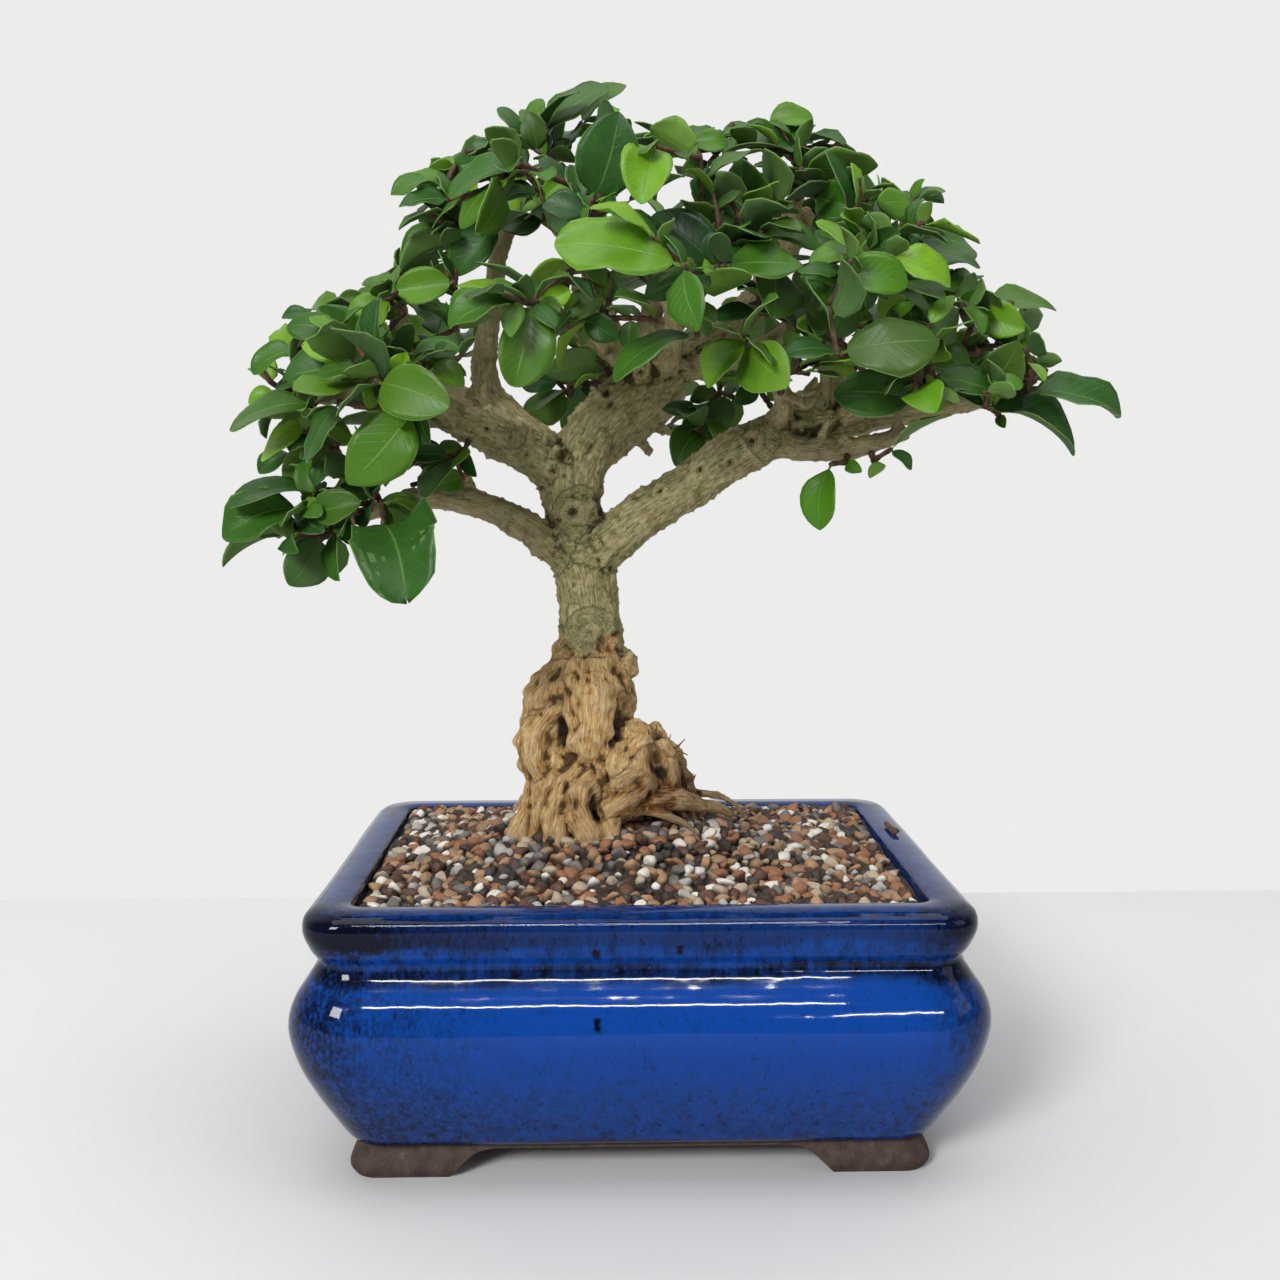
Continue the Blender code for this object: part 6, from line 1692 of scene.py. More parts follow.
low = low * (0.3 + 0.7 * board.between(side_way, -0.02, -0.009))
amber = board.ramp(streak, (0.38, (0.04, 0.014, 0.004)), (0.52, (0.19, 0.08, 0.016)),
                   (0.66, (0.36, 0.19, 0.05)), (0.82, (0.6, 0.39, 0.15)))
root_colour = board.tinted(root_colour, (low * 0.95, amber),
                           (board.between(patch, 0.5, 0.72) * 0.4, (0.42, 0.22, 0.075)),
                           (board.between(blotch, 0.62, 0.74) * 0.15, (0.2, 0.09, 0.035)),
                           (board.between(speck, 0.6, 0.72) * 0.45, (0.13, 0.06, 0.025)))
bark_colour = board.ramp(streak, (0.27, (0.09, 0.075, 0.028)), (0.42, (0.25, 0.225, 0.09)),
                         (0.58, (0.4, 0.375, 0.18)), (0.76, (0.58, 0.56, 0.35)))
slim = 1 - board.between(girth_mark, 2.5, 6.5)
bark_colour = board.tinted(bark_colour, (board.between(patch, 0.42, 0.7) * 0.4, (0.2, 0.22, 0.085)),
                           (board.between(crack, 0.56, 0.68) * 0.5, (0.085, 0.055, 0.025)),
                           (board.between(speck, 0.6, 0.7) * 0.5, (0.1, 0.06, 0.03)),
                           (board.between(blotch, 0.58, 0.7) * 0.6, (0.15, 0.08, 0.035)),
                           (slim * board.between(patch, 0.35, 0.6) * 0.5, (0.2, 0.12, 0.06)))
# Over the bark and root colours: painted shade in the creases and a painted highlight on the ridges
wood_colour = board.tinted(bark_colour, (root_mark, root_colour),
                           (board.between(crease_mark, 0.18, 1.0) * 0.85, (0.04, 0.017, 0.006)),
                           (board.between(0 - crease_mark, 0.15, 0.9) * 0.25, (0.72, 0.58, 0.36)),
                           # Painted shade in the hollows and in the knots' pits
                           (board.between(shade_and_scar_mark, 0.3, 0.8) * 0.92, (0.02, 0.01, 0.005)))
fibre_height = streak * 0.7 + hair * 0.45 + speck * 0.25 - board.between(crack, 0.55, 0.68) * 0.35
fibre_height = fibre_height + board.between(blotch, 0.58, 0.7) * 0.2
WOOD = board.wear(Base_Color=wood_colour, Normal=board.bump(fibre_height, 0.0009, 1.0))
finish_piece(wood, "wood", WOOD, "wood")

# %% [markdown]
# ## Loose bits
# Fine dead hairs stand out of the knob and the lying roots, and a dark bit of twig lies on the right rim.
# They are thin bent tubes of their own, set where the photograph shows them, because the skin's grid is too
# coarse for them.

# %% Loose bits
# Where each hair starts on the wood and ends in the photograph, in pixels, and its width in mm
HAIRS = (
    (654, 741, 657, 724, 0.4), (651, 742, 648, 729, 0.35), (671, 749, 685, 739, 0.4),
    (672, 752, 688, 755, 0.4), (666, 744, 671, 734, 0.3), (690, 789, 696, 774, 0.35),
    (686, 790, 688, 777, 0.3), (635, 704, 639, 697, 0.35), (633, 686, 639, 683, 0.3),
    (741, 792, 753, 783, 0.35)
)
HAIR_SEED = 9
# The bit of twig and its side shoot: points in pixels of the photograph, and their height over the rim in mm
BIT_WAYS = (
    ((886, 823, 1.3), (891, 829, 1.1), (898, 831, 1.2)),
    ((891, 828, 1.2), (894, 833, 0.7))
)
BIT_RADII = (0.8, 1.1, 0.7)
TWIG = speckled("dead twig", 0.8, (900.0, 3.0), (0.3, (0.05, 0.024, 0.01)), (0.7, (0.2, 0.11, 0.05)),
                Specular_IOR_Level=0.2)
hair_draw = random.Random(HAIR_SEED)
hair_tubes = []
for u, v, end_u, end_v, wide in HAIRS:
    root_spot = met_by_sight(u, v)
    if root_spot is None:
        continue
    away = (EYE - root_spot).length
    tip = EYE + (seen(end_u, end_v, 0.0) - EYE).normalized() * (away - 1.0)
    bend = Vector((0, 0, hair_draw.uniform(-1.0, 1.0)))
    way = [root_spot - (tip - root_spot) * 0.15, root_spot, root_spot.lerp(tip, 0.5) + bend, tip]
    hair_tubes.append(tube(way, [wide, wide, wide * 0.8, wide * 0.4], 5))
hair_points, hair_faces = merged(hair_tubes)
hairs = new_object("root_hairs", in_model(hair_points), hair_faces)
hairs.data.shade_smooth()
finish_piece(hairs, "wood", TWIG)
RIM_TOP = (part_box("pot")[1][2] - POT_CENTRE.z) / MM


def on_rim(u, v, rise):
    """Where the line of sight through a pixel of the photograph meets the height of the rim, in mm."""
    way = (seen(u, v, 0.0) - EYE).normalized()
    return EYE + way * ((RIM_TOP + rise - EYE.z) / way.z)


bit_points, bit_faces = merged(tube([on_rim(*p) for p in way], BIT_RADII[:len(way)], 7) for way in BIT_WAYS)
fallen_bit = new_object("fallen_twig", in_model(bit_points), bit_faces)
fallen_bit.data.shade_smooth()
finish_piece(fallen_bit, "wood", TWIG)
print(len(hair_tubes), "of", len(HAIRS), "hairs met the wood, and a bit of twig")

# %% [markdown]
# ## The pot
# The pot was pressed in a mould, so its outline is a rounded rectangle that swells and draws in on its way
# up. A stack of such outlines through a smooth profile gives the body; the arches between the feet are cut
# out of it, and a slow unevenness keeps the glaze from mirroring like glass.

# %% The pot's shape
# Pot, in mm: how far its depth falls short of its width, on each side of the middle
POT_NARROWER = 24.0
FOOT_HEIGHT = 9.0
FLOOR_TOP = 16.0
# Outline of the pot's outside from the foot up to the crest of the rim: half width, corner radius, height
POT_OUTSIDE = (
    (84.2, 7.0, 0.0),
    (85.6, 8.0, 3.2),
    (83.2, 9.0, 9.0),
    (86.6, 12.0, 11.6),
    (91.0, 14.0, 19.2),
    (95.1, 16.0, 27.0),
    (98.7, 18.0, 35.4),
    (100.9, 19.5, 44.0),
    (100.7, 18.5, 50.0),
    (98.6, 16.0, 55.6),
    (95.4, 13.5, 60.4),
    (92.7, 12.0, 65.4),
    (94.4, 12.0, 69.6),
    (95.9, 12.0, 74.6),
    (95.4, 12.0, 78.8),
    (92.6, 11.0, 81.0),
)
# The same from the crest down the inside wall to the floor
POT_INSIDE = (
    (85.6, 6.5, 81.2),
    (83.2, 5.0, 79.4),
    (83.4, 6.0, 68.0),
    (91.0, 14.0, 52.0),
    (90.5, 14.0, 28.0),
    (81.0, 10.0, FLOOR_TOP),
)
FOOT_RING_WIDTH = 13.0
FOOT_RING_RADIUS = 4.0
# The arch between two feet, from its flat crown down to the floor: distance before its end, height
FOOT_ARCH = ((14.0, 8.2), (9.0, 7.2), (4.0, 3.6), (0.0, -1.0))
FRONT_ARCH_HALF = 57.0
SIDE_ARCH_HALF = 36.0
DRAIN_HOLE_RADIUS = 9.0
DRAIN_HOLE_OFFSET = 40.0
CORNER_STEPS = 14
SIDE_STEPS = 18
PROFILE_STEPS = 5


def fine_outline(half_width, radius, height):
    """A rounded rectangle in mm with points along its sides too, anticlockwise seen from above."""
    half_depth = half_width - POT_NARROWER
    corners = ((1, -1), (1, 1), (-1, 1), (-1, -1))
    outline = []
    for quarter, (side_x, side_y) in enumerate(corners):
        centre = Vector((side_x * (half_width - radius), side_y * (half_depth - radius)))
        for step in range(CORNER_STEPS + 1):
            angle = math.radians(-90 + 90 * (quarter + step / CORNER_STEPS))
            outline.append(centre + radius * Vector((math.cos(angle), math.sin(angle))))
        next_x, next_y = corners[(quarter + 1) % 4]
        start = outline[-1]
        angle = math.radians(90 * quarter)
        end = Vector((next_x * (half_width - radius), next_y * (half_depth - radius)))
        end += radius * Vector((math.cos(angle), math.sin(angle)))
        outline += [start.lerp(end, step / SIDE_STEPS) for step in range(1, SIDE_STEPS)]
    return [Vector((p.x, p.y, height)) for p in outline]


def smooth_profile(stations):
    """The stations of half width, radius and height with more of them between, on a smooth curve."""
    return [tuple(p[:3]) for p in spline([(*station, 0.0) for station in stations], PROFILE_STEPS)]


def fine_loft(name, rings):
    size = len(rings[0])
    loft_faces = []
    for level in range(len(rings) - 1):
        for i in range(size):
            j = (i + 1) % size
            low, high = level * size, (level + 1) * size
            loft_faces.append((low + i, low + j, high + j, high + i))
    loft_faces.append(tuple(reversed(range(size))))
    loft_faces.append(tuple(range((len(rings) - 1) * size, len(rings) * size)))
    return new_object(name, in_model(p for ring in rings for p in ring), loft_faces)


ring_width = POT_OUTSIDE[0][0] - FOOT_RING_WIDTH
underside = [fine_outline(ring_width, FOOT_RING_RADIUS, z) for z in (FOOT_HEIGHT, 0.0)]
foot_rings = [fine_outline(*station) for station in smooth_profile(POT_OUTSIDE[:3])]
outside_rings = [fine_outline(*station) for station in smooth_profile(POT_OUTSIDE[2:])]
inside_rings = [fine_outline(*station) for station in smooth_profile(POT_INSIDE)]
pot = fine_loft("glazed_pot", underside + foot_rings[:-1] + outside_rings + inside_rings)
print("pot:", len(pot.data.polygons), "faces")


# %% The arches between the feet
def arch_curve(half):
    """The arch's outline: a smooth curve from the crown down to both feet."""
    route = [(half - back, height, 0.0, 0.0) for back, height in FOOT_ARCH]
    right = [(p[0], p[1]) for p in spline(route, 6)]
    left = [(-across, height) for across, height in reversed(right)]
    return right[::-1] + left[::-1]


def cut(obj, cutter):
    tool = obj.modifiers.new("Cut", "BOOLEAN")
    tool.operation = "DIFFERENCE"
    tool.solver = "MANIFOLD"
    tool.object = cutter
    settled(obj)
    mesh = cutter.data
    bpy.data.objects.remove(cutter)
    bpy.data.meshes.remove(mesh)


def arch_cutter(half, axis):
    outline = arch_curve(half)
    reach = 2 * POT_OUTSIDE[1][0]
    cutter_points = []
    for along in (-reach, reach):
        for across, height in outline:
            cutter_points.append((along, across, height) if axis == "x" else (across, along, height))
    size = len(outline)
    cutter_faces = [tuple(range(size)), tuple(reversed(range(size, 2 * size)))]
    cutter_faces += [(i, size + i, size + (i + 1) % size, (i + 1) % size) for i in range(size)]
    cutter = new_object("cutter", in_model(cutter_points), cutter_faces)
    bm = bmesh.new()
    bm.from_mesh(cutter.data)
    bmesh.ops.recalc_face_normals(bm, faces=bm.faces)
    bm.to_mesh(cutter.data)
    bm.free()
    return cutter


def drill(side):
    bm = bmesh.new()
    middle = placed((side * DRAIN_HOLE_OFFSET, 0, FLOOR_TOP))
    radius = DRAIN_HOLE_RADIUS * MM
    bmesh.ops.create_cone(bm, cap_ends=True, segments=40, radius1=radius, radius2=radius,
                          depth=4 * FLOOR_TOP * MM, matrix=Matrix.Translation(middle))
    mesh = bpy.data.meshes.new("drill")
    bm.to_mesh(mesh)
    bm.free()
    return in_scene("drill", mesh)


cut(pot, arch_cutter(FRONT_ARCH_HALF, "y"))
cut(pot, arch_cutter(SIDE_ARCH_HALF, "x"))
for side in (-1, 1):
    cut(pot, drill(side))
pot.data.shade_smooth()
pot.data.set_sharp_from_angle(angle=math.radians(42))
print("pot after the cuts:", len(pot.data.polygons), "faces")

# %% An uneven glaze
pot_corners = corners_of(pot.data)
pot_normals = normals_of(pot.data)
pot_mm = in_pot_mm(pot_corners)
sag = np.array([noise.noise(Vector(p) * 0.022) * 0.35 + noise.noise(Vector(p) * 0.07) * 0.1 for p in pot_mm])
sag *= smooth_step(8.0, 20.0, pot_mm[:, 2]) * (1 - smooth_step(78.0, 81.0, pot_mm[:, 2]) * 0.5)
move_corners(pot.data, pot_corners + pot_normals * (sag * MM)[:, None])

# %% [markdown]
# ## The glaze
# The glaze is a cobalt blue that runs thin and nearly black over the rim, the corners and the foot line, with
# mottled specks where it pooled and fine streaks on the rim. Painted shade darkens the pot's left end further.
# The feet are bare brown clay.

# %% The glaze
# Heights in metres where the glaze changes: where each change starts and where it is full
RIM_TOP_RISE = (0.0795, 0.0812)
LIP_RISE = (0.0715, 0.0745)
RIM_BAND_RISE = (0.0615, 0.064)
GROOVE_RISE = (0.06, 0.0635)
GROOVE_FALL = (0.0655, 0.068)
LOW_BAND_FALL = (0.012, 0.047)
FOOT_LINE_FALL = (0.0092, 0.0125)
BODY_FALL = (0.056, 0.062)
BARE_FOOT_FALL = (0.0091, 0.0095)
# Dark drips on the front: how far right of the middle, and their lower and upper end, in metres
DRIPS = ((-0.0127, 0.0695, 0.0712), (-0.0127, 0.0512, 0.0532), (0.0102, 0.071, 0.0722))

board = Board("cobalt glaze", Roughness=0.07, Specular_IOR_Level=0.17)
spot = board.place()
x, y, z = board.split(spot)
x_mid = x - POT_CENTRE.x
y_mid = y - POT_CENTRE.y
slow = board.noise(spot, 22.0, 3.0, 0.55)
mottle = board.noise(spot, 330.0, 4.0, 0.62, stretch=(1.0, 1.0, 0.75))
fine_mottle = board.noise(spot, 900.0, 2.0, 0.6, stretch=(1.0, 1.0, 0.5))
streaks = board.noise(spot, 260.0, 3.0, 0.6, stretch=(1.0, 1.0, 0.12))
near_end = x_mid.math("ABSOLUTE") + (slow - 0.5) * 0.04 + (mottle - 0.5) * 0.01
near_side = y_mid.math("ABSOLUTE") + (slow - 0.5) * 0.02
corner = board.between(near_end, 0.07, 0.112) * board.between(near_side, 0.04, 0.066)
# The left end of the pot, where the glaze is painted darker and more mottled: painted shade
shaded_left_end = board.between(0 - x_mid + (slow - 0.5) * 0.05 + (mottle - 0.5) * 0.012, 0.02, 0.112)
height_share = z + (slow - 0.5) * 0.008
rim_top = board.between(z, *RIM_TOP_RISE)
lip = board.between(height_share, *LIP_RISE) * (1 - rim_top)
rim_band = board.between(height_share, *RIM_BAND_RISE) * (1 - rim_top) * (1 - lip)
groove = board.between(height_share, *GROOVE_RISE) * (1 - board.between(height_share, *GROOVE_FALL))
low_band = 1 - board.between(height_share, *LOW_BAND_FALL)
foot_line = 1 - board.between(height_share, *FOOT_LINE_FALL)
body = 1 - board.between(height_share, *BODY_FALL)
# How dark the glaze is painted: thin glaze on the rim, lip, corners, groove and foot line, darker towards the
# bottom, painted shade over the left end, and mottles, streaks, specks and drips
thin = rim_top * 0.4 + lip * (0.5 + shaded_left_end * 0.5) + corner * 0.7 + groove * 0.5
thin = thin + low_band * 0.3 + foot_line * 0.6 + shaded_left_end * body * 0.36
thin = thin + (mottle - 0.5) * 1.2 * (rim_band * 0.6 + rim_top * 0.9 + low_band * 0.9 + corner * 0.4 + 0.18)
thin = thin + (fine_mottle - 0.5) * (low_band * 0.6 + corner * 1.3 + shaded_left_end * 1.3 + 0.3)
thin = thin + (streaks - 0.5) * (rim_band * 1.3 + 0.3) + rim_band * 0.2
dark_speck = board.noise(spot, 620.0, 3.0, 0.6, stretch=(1.0, 1.0, 0.4))
thin = thin + board.between(dark_speck, 0.58, 0.68) * 0.28
drip_wave = (mottle - 0.5) * 0.003
for drip_x, drip_low, drip_high in DRIPS:
    on_drip = 1 - board.between((x_mid - drip_x + drip_wave).math("ABSOLUTE"), 0.0002, 0.0016)
    on_drip = on_drip * board.between(z, drip_low - 0.002, drip_low)
    on_drip = on_drip * (1 - board.between(z, drip_high, drip_high + 0.001))
    thin = thin + on_drip * board.between(0 - y_mid, 0.03, 0.04)
glaze_colour = board.ramp(thin, (0.0, (0.003, 0.045, 0.27)), (0.25, (0.003, 0.036, 0.19)),
                          (0.6, (0.003, 0.015, 0.075)), (0.95, (0.001, 0.002, 0.01)))
pale_speck = board.between(fine_mottle, 0.6, 0.72)
pale_speck = pale_speck * (0.2 + low_band * 0.5 + rim_band * 0.5 + rim_top * 0.6)
glaze_colour = board.mix(pale_speck * 0.5, glaze_colour, (0.012, 0.09, 0.32))
clay_noise = board.noise(spot, 240.0, 4.0, 0.65)
clay_colour = board.ramp(clay_noise, (0.3, (0.035, 0.021, 0.017)), (0.6, (0.075, 0.05, 0.043)),
                         (0.8, (0.15, 0.115, 0.1)))
edge_noise = board.noise(spot, 90.0, 2.0)
bare = 1 - board.between(z + (edge_noise - 0.5) * 0.0012, *BARE_FOOT_FALL)
pot_colour = board.mix(bare, glaze_colour, clay_colour)
pot_roughness = bare * 0.72 + 0.06
ripple = board.noise(spot, 70.0, 2.0, 0.5)
pot_bump = board.bump(clay_noise * bare + ripple * 0.7, 0.0006, 0.5)
GLAZE = board.wear(Base_Color=pot_colour, Roughness=pot_roughness, Normal=pot_bump)
finish_piece(pot, "pot", GLAZE, "pot")

# %% [markdown]
# ## Grit
# The top dressing is several sorts of small stones: terracotta, tan, brown, grey and pale. A few stone
# shapes are scattered over a grid that has the mound's height. Geometry Nodes do it: points spread with a
# least distance, a stone on each, turned and sized at random.

# %% The bed under the grit
GRIT_EDGE = 78.2
GRIT_RISE = 1.6
GRIT_MOUND = 13.0
GRIT_MOUND_MIDDLE = (-8.0, 2.0)
GRIT_MOUND_REACH = (53.4, 41.0)
MOUTH = 82.4
BED_STEP = 2.0
STONE_ROOM = 1.9


def bed_height(x, y):
    """Height in mm of the grit's surface."""
    across = (x - GRIT_MOUND_MIDDLE[0]) / GRIT_MOUND_REACH[0]
    back = (y - GRIT_MOUND_MIDDLE[1]) / GRIT_MOUND_REACH[1]
    mound = math.exp(-(across ** 2 + back ** 2) ** 2)
    slope = GRIT_RISE * y / (POT_INSIDE[0][0] - POT_NARROWER)
    return GRIT_EDGE + slope + GRIT_MOUND * mound


def build_bed(name, sink, room):
    """A grid over the pot's mouth, sunk by a depth, kept a little off the wall."""
    half_x = MOUTH - room
    half_y = MOUTH - POT_NARROWER - room
    columns, rows = int(2 * half_x / BED_STEP), int(2 * half_y / BED_STEP)
    bed_points, bed_faces = [], []
    for j in range(rows + 1):
        for i in range(columns + 1):
            x = half_x * (2 * i / columns - 1)
            y = half_y * (2 * j / rows - 1)
            bed_points.append((x, y, bed_height(x, y) - sink))
    for j in range(rows):
        for i in range(columns):
            a = j * (columns + 1) + i
            bed_faces.append((a, a + 1, a + columns + 2, a + columns + 1))
    return new_object(name, in_model(bed_points), bed_faces)


# %% Stone shapes
# Seed, length and height as shares of the width, and how many flat chips
STONE_FORMS = (
    (1, 1.25, 0.75, 0), (2, 1.05, 0.85, 9), (3, 1.45, 0.7, 8), (4, 1.1, 0.7, 2), (5, 1.0, 0.95, 10),
    (6, 1.35, 0.85, 5)
)
# A stone with so many chips or more keeps its edges sharp
ANGULAR_CHIPS = 5


def stone_shape(name, seed, long, flat, chips):
    """A pebble of 80 faces with some flat chips, one metre across before it is scaled."""
    draw = random.Random(seed)
    bm = bmesh.new()
    bmesh.ops.create_icosphere(bm, subdivisions=2, radius=0.5)
    shift = Vector((draw.uniform(0, 50), draw.uniform(0, 50), draw.uniform(0, 50)))
    for vert in bm.verts:
        rough = 1 + 0.34 * noise.noise(vert.co * 2.1 + shift) + 0.12 * noise.noise(vert.co * 5 + shift)
        vert.co = vert.co * rough
    for _ in range(chips):
        way, depth = any_way(draw).normalized(), draw.uniform(0.3, 0.4)
        for vert in bm.verts:
            vert.co -= way * max(0.0, vert.co.dot(way) - depth)
    for vert in bm.verts:
        vert.co = Vector((vert.co.x * long, vert.co.y, vert.co.z * flat))
    mesh = bpy.data.meshes.new(name)
    bm.to_mesh(mesh)
    bm.free()
    if chips < ANGULAR_CHIPS:
        mesh.shade_smooth()
    return bpy.data.objects.new(name, mesh)


stones = bpy.data.collections.new("stones")
bpy.context.scene.collection.children.link(stones)
for form in STONE_FORMS:
    stones.objects.link(stone_shape(f"stone_{form[0]}", *form))


# %% Scattering with Geometry Nodes
def scatter_tree():
    """Points on a bed, a stone on each, made real, with a number drawn for each stone's colour."""
    tree = bpy.data.node_groups.new("scatter stones", "GeometryNodeTree")
    face = tree.interface
    face.new_socket("Geometry", in_out="INPUT", socket_type="NodeSocketGeometry")
    for name, kind, value in (
        ("Stones", "NodeSocketCollection", None), ("Spacing", "NodeSocketFloat", 0.003),
        ("Density", "NodeSocketFloat", 90000.0), ("Least size", "NodeSocketFloat", 0.0025),
        ("Greatest size", "NodeSocketFloat", 0.0055), ("Seed", "NodeSocketInt", 1),
        ("Finish", "NodeSocketMaterial", None),
    ):
        socket = face.new_socket(name, in_out="INPUT", socket_type=kind)
        if value is not None:
            socket.default_value = value
    face.new_socket("Geometry", in_out="OUTPUT", socket_type="NodeSocketGeometry")
    nodes, links = tree.nodes, tree.links

    def add(kind, **settings):
        made = nodes.new(kind)
        for name, value in settings.items():
            setattr(made, name, value)
        return made

    group_in, group_out = add("NodeGroupInput"), add("NodeGroupOutput")
    spread = add("GeometryNodeDistributePointsOnFaces", distribute_method="POISSON")
    shapes = add("GeometryNodeCollectionInfo")
    shapes.inputs["Separate Children"].default_value = True
    shapes.inputs["Reset Children"].default_value = True
    which = add("FunctionNodeRandomValue", data_type="INT")
    which.inputs["Max"].default_value = len(STONE_FORMS) - 1
    turn = add("FunctionNodeRandomValue", data_type="FLOAT_VECTOR")
    turn.inputs["Min"].default_value = (-1.2, -1.2, 0.0)
    turn.inputs["Max"].default_value = (1.2, 1.2, 6.283)
    size = add("FunctionNodeRandomValue", data_type="FLOAT")
    pick = add("FunctionNodeRandomValue", data_type="FLOAT")
    on_points = add("GeometryNodeInstanceOnPoints")
    on_points.inputs["Pick Instance"].default_value = True
    store = add("GeometryNodeStoreNamedAttribute", data_type="FLOAT", domain="INSTANCE")
    store.inputs["Name"].default_value = "pick"
    real = add("GeometryNodeRealizeInstances")
    finish = add("GeometryNodeSetMaterial")
    for source, output, target, place in (
        (group_in, "Geometry", spread, "Mesh"), (group_in, "Spacing", spread, "Distance Min"),
        (group_in, "Density", spread, "Density Max"), (group_in, "Seed", spread, "Seed"),
        (group_in, "Stones", shapes, "Collection"), (spread, "Points", on_points, "Points"),
        (shapes, "Instances", on_points, "Instance"), (group_in, "Least size", size, "Min"),
        (group_in, "Greatest size", size, "Max"), (group_in, "Seed", size, "Seed"),
        (group_in, "Seed", turn, "Seed"), (on_points, "Instances", store, "Geometry"),
        (store, "Geometry", real, "Geometry"), (real, "Geometry", finish, "Geometry"),
        (group_in, "Finish", finish, "Material"),
        (finish, "Geometry", group_out, "Geometry"),
    ):
        links.new(source.outputs[output], target.inputs[place])

    def live(node):
        return [s for s in node.outputs if s.enabled][0]

    links.new(live(which), on_points.inputs["Instance Index"])
    links.new(live(turn), on_points.inputs["Rotation"])
    links.new(live(size), on_points.inputs["Scale"])
    links.new(live(pick), [s for s in store.inputs if s.name == "Value" and s.enabled][0])
    return tree


STONE_TREE = scatter_tree()


def scatter(bed, finish, **values):
    """Turns a bed into the stones that lie on it."""
    scattering = bed.modifiers.new("Scatter", "NODES")
    scattering.node_group = STONE_TREE
    values = {"Stones": stones, "Finish": finish, **{k.replace("_", " "): v for k, v in values.items()}}
    for item in STONE_TREE.interface.items_tree:
        if item.in_out == "INPUT" and item.name in values:
            scattering[item.identifier] = values[item.name]
    bed.update_tag()
    bpy.context.view_layer.update()
    return settled(bed)


# %% Stone finish
board = Board("mixed grit", Roughness=0.62, Specular_IOR_Level=0.3)
pick = board.attribute("pick")
spot = board.place()
stone_colour = board.node("ShaderNodeValToRGB", {"stops": (
    (0.0, (0.3, 0.125, 0.055)), (0.13, (0.42, 0.24, 0.125)), (0.25, (0.1, 0.038, 0.02)),
    (0.37, (0.33, 0.2, 0.105)), (0.47, (0.46, 0.37, 0.26)), (0.54, (0.03, 0.017, 0.011)),
    (0.68, (0.16, 0.145, 0.13)), (0.77, (0.42, 0.4, 0.37)), (0.85, (0.05, 0.042, 0.037)),
    (0.91, (0.75, 0.71, 0.64)))}, (pick,))
stone_colour.socket.node.color_ramp.interpolation = "CONSTANT"
grainy = board.noise(spot, 900.0, 4.0, 0.7)
blotch = board.noise(spot, 300.0, 2.0, 0.5)
# Painted shade: where a stone's surface faces down or sideways, away from the light, it is darkened
painted_shade_below = 1 - board.between(board.attribute("facing"), -0.1, 0.75)
stone_colour = board.tinted(stone_colour,
                            (board.between(grainy, 0.45, 0.75) * 0.25, (0.3, 0.22, 0.15)),
                            (board.between(blotch, 0.55, 0.8) * 0.4, (0.08, 0.04, 0.025)),
                            (painted_shade_below * 0.8, (0.012, 0.007, 0.005)))
STONE = board.wear(Base_Color=stone_colour, Normal=board.bump(grainy, 0.0004, 0.5))

# %% Laying the grit
grit = scatter(build_bed("loose_grit", -0.3, STONE_ROOM), STONE, Spacing=0.0026, Density=420000.0, Seed=4,
               Least_size=0.0026, Greatest_size=0.006)
# How far each point of the stones faces up, for the painted shade on their sides and undersides
mark(grit.data, "facing", normals_of(grit.data)[:, 2])
finish_piece(grit, "grit", STONE)
for shape in list(stones.objects):
    bpy.data.objects.remove(shape)
bpy.data.collections.remove(stones)
print("stones:", len(grit.data.polygons), "faces")

# %% [markdown]
# ## What stays as built
# The bed of the grit, the soil and the drain meshes keep their solids; they only need a finish.

# %% Dark fillings
# The grit's bed is painted nearly black: painted shade in the gaps between the loose stones
SHADED_BED = speckled("grit bed in painted shade", 0.9, (420.0, 4.0, 0.7), (0.35, (0.008, 0.004, 0.002)),
               (0.75, (0.05, 0.025, 0.014)))
SOIL = speckled("potting soil", 0.95, (500.0, 4.0, 0.7), (0.3, (0.012, 0.008, 0.005)),
                (0.75, (0.07, 0.045, 0.03)))
MESH = speckled("drain mesh", 0.55, (300.0, 2.0), (0.3, (0.015, 0.015, 0.015)), (0.8, (0.035, 0.035, 0.035)))
for node, look, body_slot in (("grit", SHADED_BED, "grit"), ("soil", SOIL, "soil"),
                              ("drain_mesh_left", MESH, "drain_mesh"),
                              ("drain_mesh_right", MESH, "drain_mesh")):
    piece = frame["nodes"][node]
    piece.data.materials.clear()
    piece.data.materials.append(look)

# %% [markdown]
# ## The studio
# The photograph has a white table in a pale room, daylight from the left, and long strips of light overhead
# that draw thin lines on the glaze. Here the strips give only that shine. The room is the world, brighter
# behind the table than before it.

# %% Table
TABLE_HALF = 1.3
TABLE_FRONT = -1.1
TABLE_BACK = 0.2

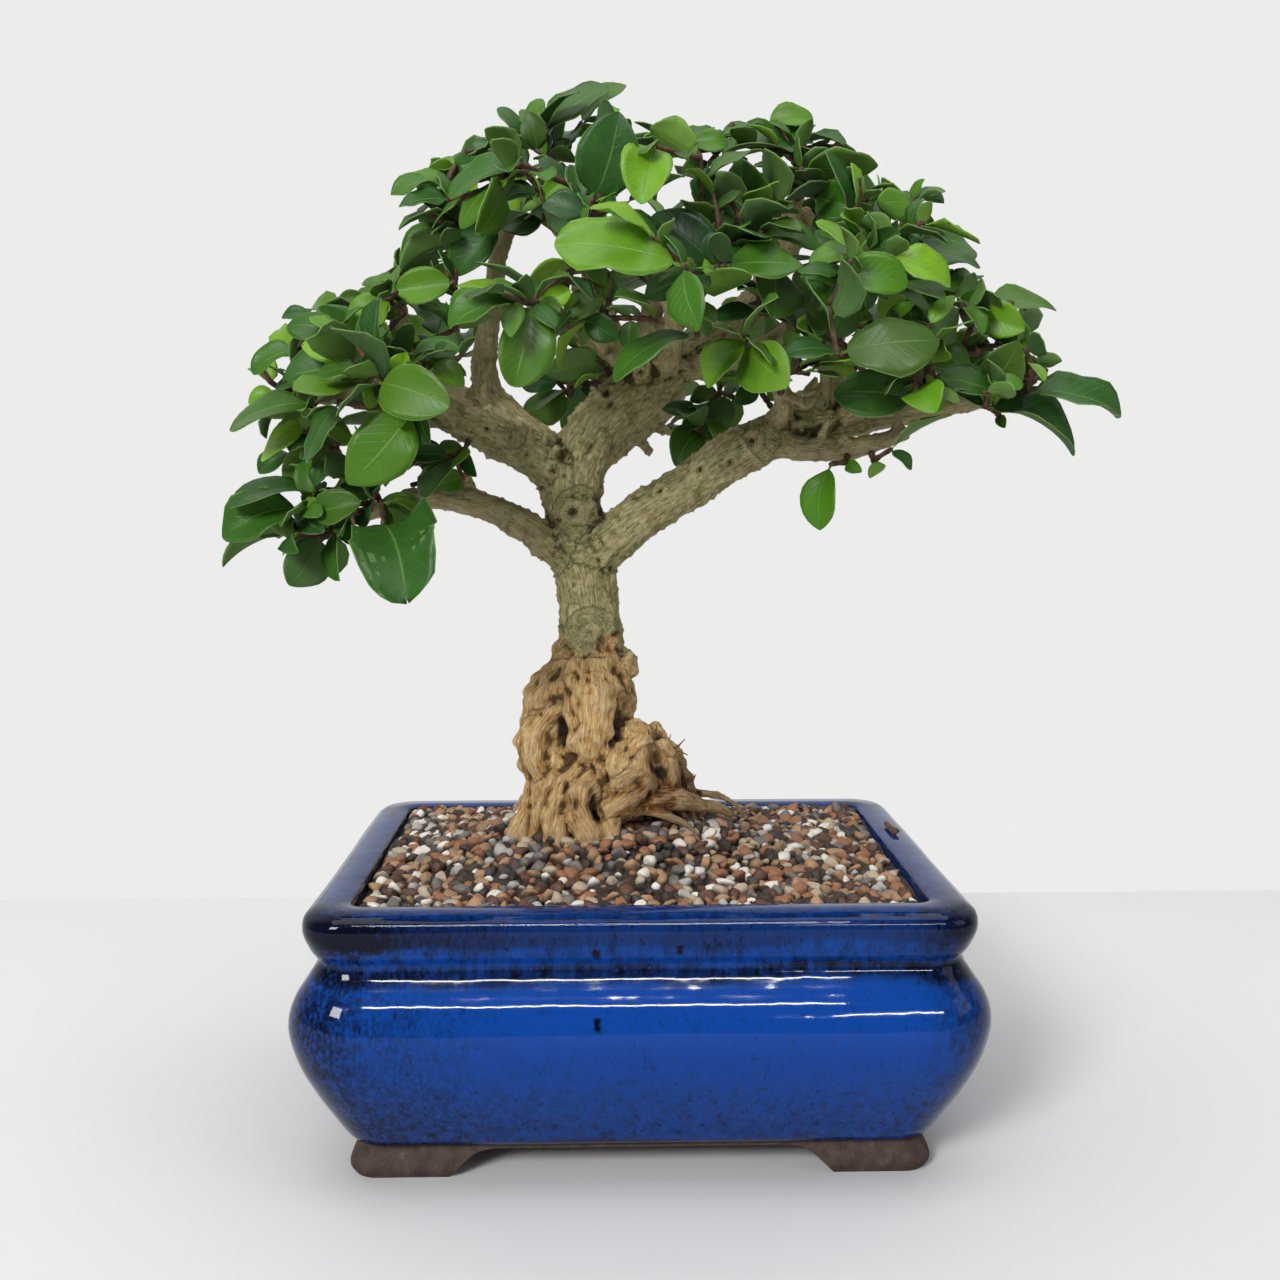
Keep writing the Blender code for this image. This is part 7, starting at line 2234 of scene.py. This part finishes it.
table_points = [(x, y, 0.0) for y in (TABLE_FRONT, TABLE_BACK) for x in (-TABLE_HALF, TABLE_HALF)]
floor = new_object("white_table", table_points, [(0, 1, 3, 2)])
board = Board("white table", Roughness=0.75, Base_Color=(0.64, 0.64, 0.635, 1.0), Specular_IOR_Level=0.2)
floor.data.materials.append(board.material)
floor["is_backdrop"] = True


# %% Lights
def area_light(name, place, aim, width, height, power, only_shine=False):
    """A rectangle of light turned to a point; one that gives only shine doesn't light dull things."""
    data = bpy.data.lights.new(name, "AREA")
    data.shape = "RECTANGLE"
    data.size = width
    data.size_y = height
    data.energy = power
    light = in_scene(name, data)
    light.location = place
    light.visible_diffuse = not only_shine
    way = Vector(aim) - Vector(place)
    light.rotation_euler = way.to_track_quat("-Z", "Y").to_euler()
    return light


area_light("window", (-0.95, -1.6, 1.15), (0, 0, 0.15), 0.55, 0.6, 38.0)
area_light("fill", (1.7, -0.9, 0.9), (0, 0, 0.15), 1.0, 1.0, 4.5)
area_light("ceiling", (0.0, -0.1, 1.9), (0, 0, 0.1), 1.8, 1.2, 20.0)
area_light("strip_high", (-0.045, -1.12, 1.41), (-0.02, 0, 0.05), 0.74, 0.07, 15.0, only_shine=True)
area_light("strip_low", (-0.03, -1.38, 1.26), (-0.02, 0, 0.05), 0.74, 0.06, 13.0, only_shine=True)
area_light("strip_right", (0.45, -1.5, 0.74), (0.1, 0, 0.05), 0.36, 0.035, 4.0, only_shine=True)

world = bpy.data.worlds.new("pale room")
world.use_nodes = True
room = world.node_tree
way_out = room.nodes.new("ShaderNodeTexCoord")
apart_ways = room.nodes.new("ShaderNodeSeparateXYZ")
backwards = room.nodes.new("ShaderNodeMapRange")
backwards.interpolation_type = "SMOOTHSTEP"
for socket, value in (("From Min", -0.1), ("From Max", 0.55), ("To Min", 0.19), ("To Max", 0.84)):
    backwards.inputs[socket].default_value = value
room.links.new(way_out.outputs["Generated"], apart_ways.inputs[0])
room.links.new(apart_ways.outputs["Y"], backwards.inputs["Value"])
room.links.new(backwards.outputs["Result"], room.nodes["Background"].inputs["Strength"])
room.nodes["Background"].inputs["Color"].default_value = (1.0, 1.0, 0.995, 1.0)
bpy.context.scene.world = world

# %% [markdown]
# ## Size
# The dressed bonsai should end about where its solids end, so both boxes are written down side by side.

# %% Size
dressed_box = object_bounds()
for name, (low, high) in (("solids", cad_box), ("dressed", dressed_box)):
    print(name, [round(v * 1000, 1) for v in low], [round(v * 1000, 1) for v in high])
